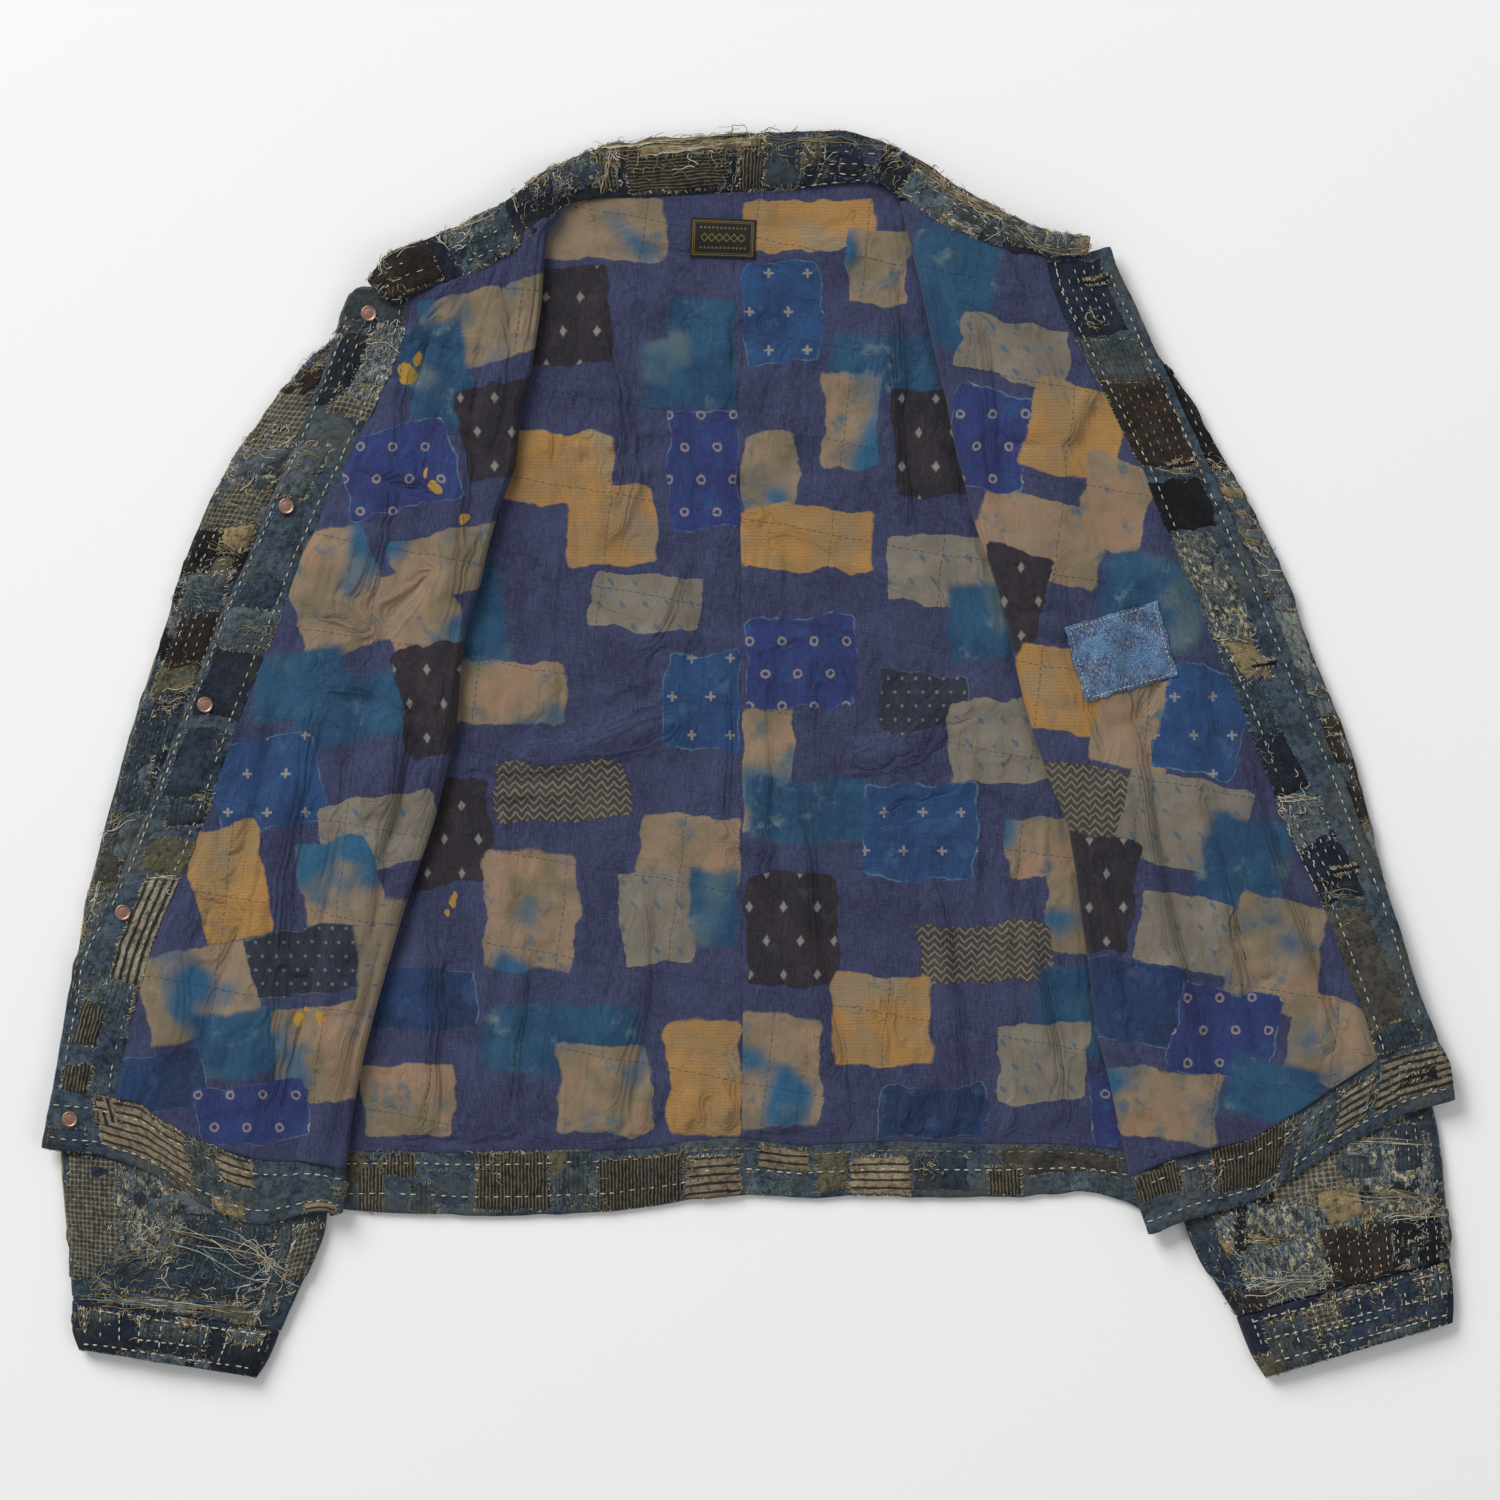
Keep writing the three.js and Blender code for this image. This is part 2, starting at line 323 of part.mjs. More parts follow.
// One row: top layer, roll and return, for the plan point of each u and a roll of radius r.
function foldedRow(plan, us, r, reachOf, out) {
  const fold = plan(1), inward = fold.clone().sub(plan(0.9)).normalize();
  const centre = fold.clone().addScaledVector(inward, -(r + T_STACK));
  const start = plan(0), reach = centre.clone().sub(start);
  const row = us.map((u) => {
    const q = plan(u);
    q.lerp(start.clone().addScaledVector(reach, u), smooth(0.5, 1, u));
    return point(q, lerp(Z_FRONT, Z_RETURN + 2 * r, smooth(0.45, 1, u)) + frontFolds(q) * (1 - smooth(0.8, 1, u)) * smooth(0, 0.12, u));
  });
  for (let i = 1; i <= ROLL_STEPS; i++) {
    const a = (Math.PI * i) / ROLL_STEPS;
    row.push(point(centre.clone().addScaledVector(inward, r * Math.sin(a)), Z_RETURN + r + r * Math.cos(a)));
  }
  const far = Math.max(4, (reachOf(centre.y) - centre.x) * out - 0.6);
  row.push(new THREE.Vector3(centre.x + out * far, centre.y - inward.y * far * 0.5, Z_RETURN));
  return row;
}
const fronts = {}, hems = {};
for (const [name, s] of Object.entries(SIDES)) {
  const front = panel(s.neck, s.hem, s.bandIn, s.fold);
  const us = [0.003].concat(steps(FRONT_COLS).slice(1));
  const grid = steps(FRONT_ROWS, 0, 0.9994).map((v) => foldedRow((u) => front(u, v), us, rollRadius(v), across(s.side), s.out));
  fronts[name] = grid.map((row) => row.slice(0, us.length));
  const collarSeam = COLLAR.map((c) => [mm([c.sx, c.sy]), mm([lerp(c.sx, c.ex, 0.7), lerp(c.sy, c.ey, 0.7)])]);
  const sleeveSeam = sideLine(s, 40);
  const fit = (geometry) => cutBack(cutBack(geometry, collarSeam, { gap: 1.2 }), sleeveSeam, { high: (Z_RETURN + Z_FRONT) / 2 });
  add("front_outer_" + name, fit(sheet(grid, 0, T_OUTER)), BORO);
  add("front_lining_" + name, fit(sheet(grid, T_OUTER + GAP, T_STACK)), PRINT, 0.9);

  const hem = panel(join(s.bandEnd, s.hem, BAND_SHARE), s.hemEdge, s.hemOpen, s.hemFold);
  const rows = steps(2, 0.008, 1).map((v) => [0, 0.5].map((t) => point(hem(t * BAND_SHARE, v), Z_FRONT)).concat(
    foldedRow((u) => hem(lerp(BAND_SHARE, 1, u), v), steps(FRONT_COLS), HEM_ROLL, () => mm(s.side.at(-1)).x, s.out)));
  hems[name] = solid(sheet(rows, 0, T_BAND));
}

// ---------- front bands and hem ends: studs on the right, buttonholes on the left ----------
function bandSolid(s) {
  const band = panel(s.bandTop, s.bandEnd, s.bandOut, s.bandIn);
  return solid(sheet(steps(FRONT_ROWS, 0, 0.9994).map((v) => steps(2).map((u) => point(band(u, v), Z_FRONT))), 0, T_BAND));
}
const bands = { right: bandSolid(SIDES.right), left: bandSolid(SIDES.left) };
// The last button and hole are in the hem, the others in the band.
function pierce(side, i, cutter) {
  const piece = i < 4 ? bands : hems;
  piece[side] = piece[side].subtract(solid(cutter));
}
BUTTONS.forEach(([x, y], i) => {
  const q = mm([x, y]), top = T_BAND + GAP;
  pierce("right", i, new THREE.CylinderGeometry(POST_HOLE_R, POST_HOLE_R, 30, 10).rotateX(Math.PI / 2).translate(q.x, q.y, Z_FRONT));
  const profile = [[0, -GAP - HEAD_T], [HEAD_R - 1, -GAP - HEAD_T], [HEAD_R, -GAP - HEAD_T + 0.8], [HEAD_R, -GAP], [POST_R, -GAP], [POST_R, top], [CAP_R, top], [CAP_R, top + 0.4], [CAP_R - 0.6, top + 0.9], [3.4, top + 1.3], [0, top + 1.3]];
  const lathe = new THREE.LatheGeometry(profile.map(([r, z]) => new THREE.Vector2(r, z)), 10).rotateX(Math.PI / 2);
  add("button_" + (i + 1), lathe, COPPER, 0.35, 1).position.set(q.x, q.y, Z_FRONT);
});
BUTTONHOLES.forEach(({ x, y, turn }, i) => {
  const q = mm([x, y]), at = new THREE.Matrix4().makeRotationZ((turn * Math.PI) / 180).setPosition(q.x, q.y, Z_FRONT);
  pierce("left", i, new THREE.BoxGeometry(SLIT_LENGTH, SLIT_WIDTH, 30).applyMatrix4(at));
});
for (const name of Object.keys(SIDES)) {
  add("band_" + name, geometryOf(bands[name]), DENIM);
  add("hem_front_" + name, geometryOf(hems[name]), DENIM);
}

// ---------- collar: an under layer and a facing layer, from one tip to the other ----------
{
  const rows = COLLAR.map((c) => steps(2).map((t) => point(mm([lerp(c.sx, c.ex, t), lerp(c.sy, c.ey, t)]), lerp(c.zs, c.ze, t))));
  add("collar_under", sheet(rows, 0, T_COLLAR), BORO);
  add("collar_facing", sheet(rows, T_COLLAR + GAP, 2 * T_COLLAR + GAP), BORO);
}

// ---------- sleeves: flattened two-piece tubes, upper and under halves, open at armhole and cuff ----------
// Columns run from the closed outer edge over the flat part to the inner edge.
function sleeveGrid(table, up) {
  const r = SLEEVE_GAP / 2, e = SLEEVE_END, turns = [0, 40, 90].map((a) => (a * Math.PI) / 180);
  return table.map((row) => {
    const a = mm([row.ox, row.oy]), b = mm([row.ix, row.iy]), w = b.distanceTo(a), d = b.clone().sub(a).divideScalar(w);
    const rise = (t) => e + (t === 0 ? GAP / 2 : 0) + r * Math.sin(t);
    const arc = turns.map((t) => [e - r * Math.cos(t), rise(t)]);
    const shut = turns.map((t) => [w - e + r * Math.cos(t), rise(t)]).reverse();
    const open = [w - 2 * e, w - e, w].map((at) => [at, e + r]);
    const line = [...arc, ...steps(3, e, w - e).slice(1, -1).map((at) => [at, e + r]), ...(row.shut ? shut : open)];
    return line.map(([at, z]) => point(a.clone().addScaledVector(d, at), up ? z : 2 * e - z));
  });
}
for (const [name, s] of Object.entries(SIDES)) for (const [half, up] of [["top", true], ["under", false]]) {
  const armhole = sideLine(s, -30).filter(([q]) => q.y > mm([0, 655]).y);
  const geometry = sheet(turned(sleeveGrid(s.sleeve, up)), 0, T_OUTER, { up });
  add("sleeve_" + half + "_" + name, cutBack(geometry, armhole), BORO);
}
// Swaps rows and columns.
function turned(grid) {
  return grid[0].map((_, i) => grid.map((row) => row[i]));
}

// ---------- cuffs: doubled bands round the sleeve ends ----------
function cuffGrid(table) {
  const r = SLEEVE_GAP / 2, e = T_CUFF + r, arc = [0, 45, 90, 135, 180].map((a) => (a * Math.PI) / 180);
  return table.map((row) => {
    const a = mm([row.ox, row.oy]), b = mm([row.ix, row.iy]), w = b.distanceTo(a), d = b.clone().sub(a).divideScalar(w);
    const flat = steps(5, e, w - e).slice(1, -1);
    const line = [...arc.map((t) => [e - r * Math.sin(t), e - r * Math.cos(t)]), ...flat.map((at) => [at, e + r]),
      ...arc.map((t) => [w - e + r * Math.sin(t), e + r * Math.cos(t)]), ...flat.reverse().map((at) => [at, e - r])];
    return line.map(([at, z]) => point(a.clone().addScaledVector(d, at), z));
  });
}
for (const [name, s] of Object.entries(SIDES)) add("cuff_" + name, sheet(cuffGrid(s.cuff), 0, T_CUFF, { round: true, up: false }), DENIM);

// ---------- labels: plain woven rectangles that lie on the lining ----------
function label(name, { x, y, wide, high, turn }, grid, lift, color) {
  const c = mm([x, y]), cos = Math.cos((turn * Math.PI) / 180), sin = Math.sin((turn * Math.PI) / 180);
  const rows = steps(3).map((v) => steps(4).map((u) => {
    const a = (u - 0.5) * wide, b = (0.5 - v) * high, q = new THREE.Vector2(c.x + a * cos - b * sin, c.y + a * sin + b * cos);
    return point(q, heightOn(grid, q));
  }));
  add(name, sheet(rows, lift, lift + T_LINING), color, 0.8);
}
label("neck_label", NECK_LABEL, backLining.right.map((row, j) => row.concat(backLining.left[j])), T_LINING + GAP, LABEL);
label("side_label", SIDE_LABEL, fronts.left, T_STACK + GAP, WOVEN);

export default group;
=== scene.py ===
# A patched boro jacket laid open on its back, lining side up. Metres, +Z up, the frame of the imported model.
import math
import bpy
import numpy as np
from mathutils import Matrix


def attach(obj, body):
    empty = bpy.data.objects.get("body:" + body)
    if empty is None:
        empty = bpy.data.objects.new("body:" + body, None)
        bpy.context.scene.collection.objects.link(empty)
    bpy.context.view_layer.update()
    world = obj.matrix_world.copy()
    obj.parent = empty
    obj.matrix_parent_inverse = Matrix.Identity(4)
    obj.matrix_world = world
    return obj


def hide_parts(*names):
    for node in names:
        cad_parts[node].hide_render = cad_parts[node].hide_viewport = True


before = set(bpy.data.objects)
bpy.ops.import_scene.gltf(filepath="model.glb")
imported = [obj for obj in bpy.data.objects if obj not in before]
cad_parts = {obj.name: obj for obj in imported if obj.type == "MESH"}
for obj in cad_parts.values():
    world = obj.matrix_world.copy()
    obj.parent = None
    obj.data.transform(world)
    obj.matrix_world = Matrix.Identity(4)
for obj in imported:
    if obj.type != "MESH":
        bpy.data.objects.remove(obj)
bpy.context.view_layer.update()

# ---------------------------------------------------------------- sizes (plan units are 0.65 mm)
K = 0.00065
PLAN_X, PLAN_Y = 749.5, 754.5
MM = 0.001
T_OUTER, T_LINING, GAP = 2.4 * MM, 1.0 * MM, 0.3 * MM
T_STACK = T_OUTER + GAP + T_LINING
T_BAND = 3.0 * MM
Z_RETURN = 2 * T_STACK + GAP
Z_FRONT = 9.8 * MM
HEM_ROLL = 1.4 * MM

NECK_RIGHT = [[412, 298], [442, 286], [472, 274], [502, 259], [530, 241], [548, 223], [558, 209]]
NECK_BACK = [[558, 209], [580, 201], [610, 198], [660, 197], [720, 193], [780, 190], [835, 184], [868, 182], [886, 188], [900, 199]]
NECK_LEFT = [[1043, 258], [1010, 253], [985, 245], [945, 226], [915, 209], [900, 199]]
FOLD_RIGHT = [[558, 209], [546, 226], [542, 262], [540, 300], [532, 360], [521, 400], [515, 464], [499, 505], [488, 545], [480, 583], [467, 620], [460, 674], [456, 730], [449, 761], [436, 814], [417, 870], [405, 905], [392, 950], [378, 1000], [365, 1050], [355, 1100], [350, 1140], [347, 1165]]
FOLD_LEFT = [[900, 199], [910, 240], [920, 281], [932, 341], [946, 401], [956, 453], [964, 480], [972, 515], [980, 540], [992, 573], [1005, 618], [1014, 659], [1023, 700], [1033, 735], [1050, 783], [1067, 824], [1075, 868], [1080, 912], [1087, 963], [1096, 1032], [1107, 1073], [1117, 1122], [1128, 1174]]
BAND_IN_RIGHT = [[412, 298], [408, 328], [399, 355], [389, 380], [378, 402], [365, 430], [356, 448], [347, 470], [335, 491], [325, 510], [315, 535], [305, 555], [297, 575], [289, 600], [279, 625], [268, 650], [258, 675], [248, 700], [238, 725], [229, 750], [221, 775], [213, 800], [204, 825], [195, 850], [183, 875], [171, 900], [161, 925], [152, 950], [145, 975], [140, 1000], [127, 1050], [118, 1098]]
BAND_OUT_RIGHT = [[351, 296], [343, 315], [338, 335], [330, 360], [320, 390], [308, 420], [295, 450], [282, 480], [270, 510], [262, 535], [250, 560], [236, 590], [223, 615], [214, 640], [205, 665], [196, 690], [185, 715], [174, 745], [164, 770], [155, 795], [146, 820], [136, 845], [126, 870], [113, 895], [100, 920], [86, 940], [76, 965], [71, 1000], [64, 1040], [56, 1088]]
BAND_TOP_RIGHT = [[351, 296], [362, 289], [386, 290], [412, 298]]
BAND_END_RIGHT = [[56, 1088], [85, 1091], [118, 1098]]
BAND_IN_LEFT = [[1043, 258], [1050, 290], [1065, 325], [1085, 360], [1105, 400], [1125, 440], [1143, 475], [1152, 500], [1165, 530], [1180, 565], [1197, 600], [1215, 650], [1238, 700], [1255, 745], [1275, 800], [1296, 850], [1315, 890], [1333, 935], [1350, 980], [1365, 1020], [1375, 1058]]
BAND_OUT_LEFT = [[1108, 249], [1113, 265], [1125, 290], [1138, 318], [1150, 345], [1163, 372], [1178, 405], [1193, 437], [1207, 468], [1222, 503], [1238, 540], [1254, 575], [1268, 610], [1283, 645], [1300, 685], [1318, 725], [1333, 760], [1347, 795], [1360, 830], [1374, 862], [1386, 895], [1397, 930], [1408, 965], [1420, 1003], [1436, 1042]]
BAND_TOP_LEFT = [[1108, 249], [1086, 256], [1060, 258], [1043, 258]]
BAND_END_LEFT = [[1436, 1042], [1400, 1049], [1375, 1058]]
HEM_SEAM_RIGHT = [[118, 1098], [140, 1101], [165, 1120], [200, 1138], [230, 1149], [260, 1161], [290, 1172], [320, 1174], [347, 1165]]
HEM_SEAM_LEFT = [[1375, 1058], [1350, 1075], [1300, 1108], [1250, 1138], [1200, 1156], [1160, 1168], [1128, 1174]]
HEM_EDGE_RIGHT = [[45, 1146], [65, 1149], [100, 1152], [140, 1165], [170, 1181], [200, 1200], [240, 1218], [265, 1226], [290, 1229], [318, 1229], [333, 1221], [343, 1206]]
HEM_EDGE_LEFT = [[1452, 1098], [1425, 1105], [1400, 1112], [1370, 1130], [1330, 1150], [1290, 1177], [1260, 1195], [1230, 1208], [1200, 1219], [1170, 1228], [1146, 1232]]
HEM_OPEN_RIGHT = [[56, 1088], [50, 1115], [45, 1146]]
HEM_OPEN_LEFT = [[1436, 1042], [1447, 1062], [1452, 1098]]
HEM_FOLD_RIGHT = [[347, 1165], [347, 1185], [343, 1206]]
HEM_FOLD_LEFT = [[1128, 1174], [1137, 1205], [1146, 1232]]
SIDE_RIGHT = [[558, 209], [372, 335], [388, 400], [392, 470], [380, 540], [360, 600], [345, 640], [343, 800], [341, 1000], [338, 1152]]
SIDE_LEFT = [[900, 199], [1108, 335], [1092, 400], [1088, 470], [1100, 540], [1120, 600], [1135, 640], [1137, 800], [1140, 1000], [1144, 1153]]
CENTRE_SEAM = [[733, 192], [738, 400], [741, 560], [742, 750], [743, 1000], [742, 1137]]
HEM_SEAM_BACK = [[338, 1152], [400, 1150], [450, 1152], [520, 1151], [600, 1150], [650, 1147], [690, 1140], [720, 1137], [742, 1137], [800, 1145], [850, 1142], [900, 1140], [1000, 1143], [1060, 1143], [1110, 1148], [1144, 1153]]
HEM_EDGE_BACK = [[338, 1208], [400, 1211], [450, 1213], [500, 1215], [550, 1213], [600, 1211], [650, 1205], [700, 1197], [750, 1193], [800, 1197], [850, 1194], [900, 1195], [1000, 1196], [1050, 1193], [1080, 1190], [1100, 1193], [1130, 1202], [1144, 1210]]
# collar sections: seam x, y, edge x, y, height of the underside at seam and edge (mm)
COLLAR = [
    [385, 300, 371, 284, 14.6, 14.6], [412, 297, 388, 257, 14.0, 13.6], [442, 285, 422, 246, 11.0, 12.4], [472, 273, 455, 232, 10.4, 12.0],
    [502, 258, 488, 216, 10.4, 12.6], [530, 240, 514, 200, 10.4, 13.0], [548, 222, 534, 184, 9.6, 11.0], [558, 208, 552, 171, 7.0, 7.6],
    [580, 200, 574, 159, 3.2, 4.2], [610, 197, 603, 148, 0.8, 2.4], [660, 196, 656, 142, 0.2, 2.6], [720, 192, 718, 137, 0.2, 3.0],
    [780, 189, 786, 134, 0.2, 3.0], [835, 183, 846, 133, 0.6, 3.2], [868, 181, 886, 144, 1.8, 4.0], [886, 187, 910, 156, 4.2, 6.0],
    [900, 198, 926, 167, 7.6, 8.4], [915, 208, 942, 179, 10.0, 10.6], [945, 225, 970, 200, 10.6, 12.6], [985, 244, 1006, 220, 10.8, 13.4],
    [1010, 252, 1030, 230, 11.0, 13.6], [1043, 256, 1056, 238, 11.2, 13.2], [1083, 252, 1086, 243, 11.4, 12.2]]
# sleeve sections: outer x, y, inner x, y, 1 where the tube is closed at its inner edge
SLEEVE_RIGHT = [
    [345, 334, 369, 338, 0], [322, 352, 374, 356, 0], [300, 374, 380, 374, 0], [274, 402, 386, 400, 0], [239, 450, 390, 450, 0],
    [210, 500, 387, 500, 0], [186, 560, 372, 560, 0], [173, 600, 358, 600, 0], [163, 640, 343, 640, 1], [141, 700, 341, 700, 1],
    [124, 760, 340, 760, 1], [105, 830, 339, 830, 1], [87, 900, 338, 900, 1], [76, 970, 337, 970, 1], [67, 1050, 336, 1050, 1],
    [61, 1125, 334, 1130, 1], [63, 1185, 331, 1190, 1], [67, 1225, 326, 1235, 1], [71, 1260, 306, 1277, 1], [73, 1298, 283, 1329, 1]]
SLEEVE_LEFT = [
    [1140, 336, 1111, 338, 0], [1165, 366, 1102, 362, 0], [1190, 402, 1094, 400, 0], [1218, 450, 1091, 450, 0], [1247, 500, 1095, 500, 0],
    [1277, 560, 1108, 560, 0], [1293, 600, 1122, 600, 0], [1305, 640, 1138, 640, 1], [1330, 700, 1141, 700, 1], [1353, 760, 1144, 760, 1],
    [1371, 830, 1147, 830, 1], [1387, 900, 1150, 900, 1], [1402, 970, 1153, 970, 1], [1417, 1040, 1157, 1050, 1], [1431, 1100, 1163, 1125, 1],
    [1439, 1145, 1172, 1190, 1], [1443, 1185, 1188, 1236, 1], [1446, 1222, 1213, 1280, 1], [1449, 1256, 1234, 1314, 1]]
CUFF_RIGHT = [[72, 1300, 280, 1331], [72, 1316, 275, 1345], [74, 1332, 268, 1360], [80, 1347, 258, 1375]]
CUFF_LEFT = [[1450, 1259, 1236, 1317], [1453, 1280, 1243, 1336], [1454, 1301, 1251, 1355], [1453, 1320, 1264, 1375]]
BUTTONS = [[370, 315], [288, 507], [207, 705], [125, 912], [72, 1118]]
BUTTONHOLES = [[1096, 284, 12], [1180, 468, 20], [1262, 664, 20], [1342, 870, 18], [1413, 1077, 14]]

# Creases on the cloth: x0, y0, x1, y1 in plan units, height in mm (a trough if negative), half-width in plan units.
CREASES_FRONT_RIGHT = [
    [400, 420, 330, 640, 1.8, 22], [392, 690, 330, 1130, 3.2, 20], [300, 740, 226, 1120, 2.6, 20], [180, 960, 150, 1080, 1.4, 16],
    [350, 760, 290, 1150, -1.6, 12], [432, 320, 380, 560, -1.3, 12], [470, 380, 430, 700, 1.7, 13], [500, 300, 485, 440, 1.5, 11],
    [440, 560, 380, 640, -1.2, 10], [300, 590, 390, 640, 1.0, 9], [330, 690, 420, 720, -1.0, 9], [262, 700, 232, 860, 1.2, 11],
    [250, 900, 205, 1060, -1.4, 10], [380, 800, 345, 960, 1.8, 9], [410, 760, 385, 860, -1.5, 8], [330, 1040, 300, 1160, -1.4, 10],
    [420, 330, 500, 352, 0.9, 7], [360, 470, 450, 505, -0.9, 7], [230, 1000, 200, 1120, 1.2, 9], [275, 960, 330, 975, 0.9, 8],
    [190, 880, 250, 905, 0.8, 7], [445, 420, 498, 470, -1.0, 8]]
CREASES_FRONT_LEFT = [
    [1010, 330, 1080, 560, 1.8, 24], [1110, 720, 1190, 1130, 3.2, 22], [1235, 730, 1300, 1040, 3.0, 16], [1170, 560, 1190, 760, 1.4, 20],
    [985, 330, 1012, 520, -1.3, 12], [1060, 560, 1120, 800, -1.5, 13], [1150, 780, 1222, 1100, -1.7, 11], [1200, 760, 1262, 1060, -1.4, 9],
    [1090, 860, 1130, 1100, 1.8, 11], [1045, 740, 1085, 900, 1.6, 10], [1130, 590, 1090, 700, 1.0, 10], [1095, 380, 1040, 470, 1.0, 9],
    [960, 300, 1045, 330, 0.9, 8], [1000, 440, 1090, 450, -0.9, 8], [1180, 660, 1110, 740, -1.0, 9], [1260, 880, 1330, 1040, 1.6, 9],
    [1075, 960, 1090, 1120, -1.6, 9], [1190, 1080, 1240, 1130, 1.1, 8], [1030, 620, 1075, 640, 0.9, 7], [1290, 960, 1240, 1000, -0.8, 8]]
CREASES_BACK = [
    [640, 900, 610, 1110, 2.0, 16], [790, 820, 830, 1100, 2.2, 15], [860, 760, 990, 690, 2.4, 17], [600, 330, 620, 560, 1.6, 16],
    [620, 240, 840, 250, 1.3, 14], [520, 760, 690, 720, 1.6, 14], [800, 650, 780, 705, -2.4, 8], [812, 640, 850, 700, 1.6, 10],
    [700, 440, 760, 520, 1.2, 10], [480, 778, 565, 782, -1.4, 6], [485, 792, 560, 796, 1.1, 6], [560, 420, 580, 700, -1.0, 12],
    [880, 300, 900, 520, 1.3, 14], [910, 420, 960, 640, -1.2, 12], [830, 900, 868, 1110, -1.8, 10], [930, 890, 962, 1105, 1.9, 10],
    [985, 880, 1000, 1110, -1.4, 9], [1030, 920, 1052, 1120, 1.6, 10], [640, 1125, 650, 1080, 1.2, 5], [662, 1130, 670, 1090, -1.2, 5],
    [684, 1132, 690, 1092, 1.3, 5], [706, 1130, 708, 1096, -1.1, 5], [728, 1132, 727, 1100, 1.1, 5], [900, 1135, 905, 1096, 1.1, 5],
    [925, 1136, 928, 1100, -1.1, 5], [950, 1136, 955, 1092, 1.3, 5], [978, 1136, 984, 1100, -1.1, 5], [1006, 1137, 1012, 1102, 1.2, 5],
    [430, 900, 418, 1120, 1.5, 12], [470, 860, 452, 1110, -1.2, 10], [520, 940, 505, 1120, 1.3, 10], [560, 1000, 552, 1130, -1.0, 8],
    [690, 560, 640, 650, 1.1, 9], [770, 540, 830, 560, -1.0, 9], [700, 820, 770, 850, 1.0, 9], [580, 600, 650, 640, -1.0, 10],
    [850, 560, 940, 600, 1.1, 10], [760, 700, 760, 900, 0.8, 8], [722, 700, 722, 900, 0.8, 8], [650, 320, 700, 420, -0.9, 10],
    [590, 860, 640, 900, -0.9, 9], [890, 820, 960, 800, -1.2, 9]]

# ---------------------------------------------------------------- numbers
def rng(seed):
    return np.random.default_rng(seed)


def lerp(a, b, t):
    return a + (b - a) * t


def smooth(a, b, t):
    s = np.clip((np.asarray(t, float) - a) / (b - a), 0, 1)
    return s * s * (3 - 2 * s)


_lattice = {}


def noise(x, y, scale, seed):
    """Smooth value noise from -1 to 1, with features of about scale metres."""
    if seed not in _lattice:
        _lattice[seed] = rng(seed).uniform(-1, 1, (256, 256))
    g = _lattice[seed]
    x, y = np.asarray(x) / scale + 91.3, np.asarray(y) / scale + 47.7
    i, j = np.floor(x).astype(int), np.floor(y).astype(int)
    fx, fy = x - i, y - j
    fx, fy = fx * fx * (3 - 2 * fx), fy * fy * (3 - 2 * fy)
    i, j, i1, j1 = i % 256, j % 256, (i + 1) % 256, (j + 1) % 256
    return (g[i, j] * (1 - fx) + g[i1, j] * fx) * (1 - fy) + (g[i, j1] * (1 - fx) + g[i1, j1] * fx) * fy


def fbm(x, y, scale, seed, octaves=3):
    out, amp, total = 0.0, 1.0, 0.0
    for k in range(octaves):
        out = out + amp * noise(x, y, scale / 2 ** k, seed + k)
        total += amp
        amp *= 0.5
    return out / total


def to_m(p):
    p = np.asarray(p, float)
    return np.stack([(p[..., 0] - PLAN_X) * K, (PLAN_Y - p[..., 1]) * K], -1)


def edge(table, soften=7.0):
    """A plan table as a function of t, 0 to 1 along its length, in metres, its corners softened over that many plan units."""
    if callable(table):
        return table
    p = to_m(table)
    s = np.concatenate([[0], np.cumsum(np.linalg.norm(np.diff(p, axis=0), axis=1))])
    n = 600
    t = np.linspace(0, s[-1], n)
    q = np.stack([np.interp(t, s, p[:, k]) for k in (0, 1)], -1)
    r = max(1, int(soften * K / (s[-1] / n)))
    if len(table) > 3 and r > 1:
        k = np.hanning(2 * r + 1)
        k /= k.sum()
        pad = np.concatenate([2 * q[:1] - q[r:0:-1], q, 2 * q[-1:] - q[-2:-r - 2:-1]])
        q = np.stack([np.convolve(pad[:, c], k, "valid") for c in (0, 1)], -1)
    g = np.linspace(0, 1, n)

    def f(u):
        u = np.clip(np.asarray(u, float), 0, 1)
        return np.stack([np.interp(u, g, q[:, 0]), np.interp(u, g, q[:, 1])], -1)
    return f


def join(first, second, at=0.5):
    a, b = edge(first), edge(second)

    def f(u):
        u = np.asarray(u, float)
        return np.where((u < at)[..., None], a(u / at), b((u - at) / (1 - at)))
    return f


def panel(top, end, first, last):
    T, B, L, R = [edge(e) for e in (top, end, first, last)]
    t0, t1, b0, b1 = T(0.0), T(1.0), B(0.0), B(1.0)

    def f(u, v):
        u, v = np.broadcast_arrays(np.asarray(u, float), np.asarray(v, float))
        U, V = u[..., None], v[..., None]
        return (T(u) * (1 - V) + B(u) * V + L(v) * (1 - U) + R(v) * U
                - t0 * (1 - U) * (1 - V) - t1 * U * (1 - V) - b0 * (1 - U) * V - b1 * U * V)
    return f


def across(table):
    p = to_m(table)
    order = np.argsort(p[:, 1])
    return lambda y: float(np.interp(y, p[order, 1], p[order, 0]))


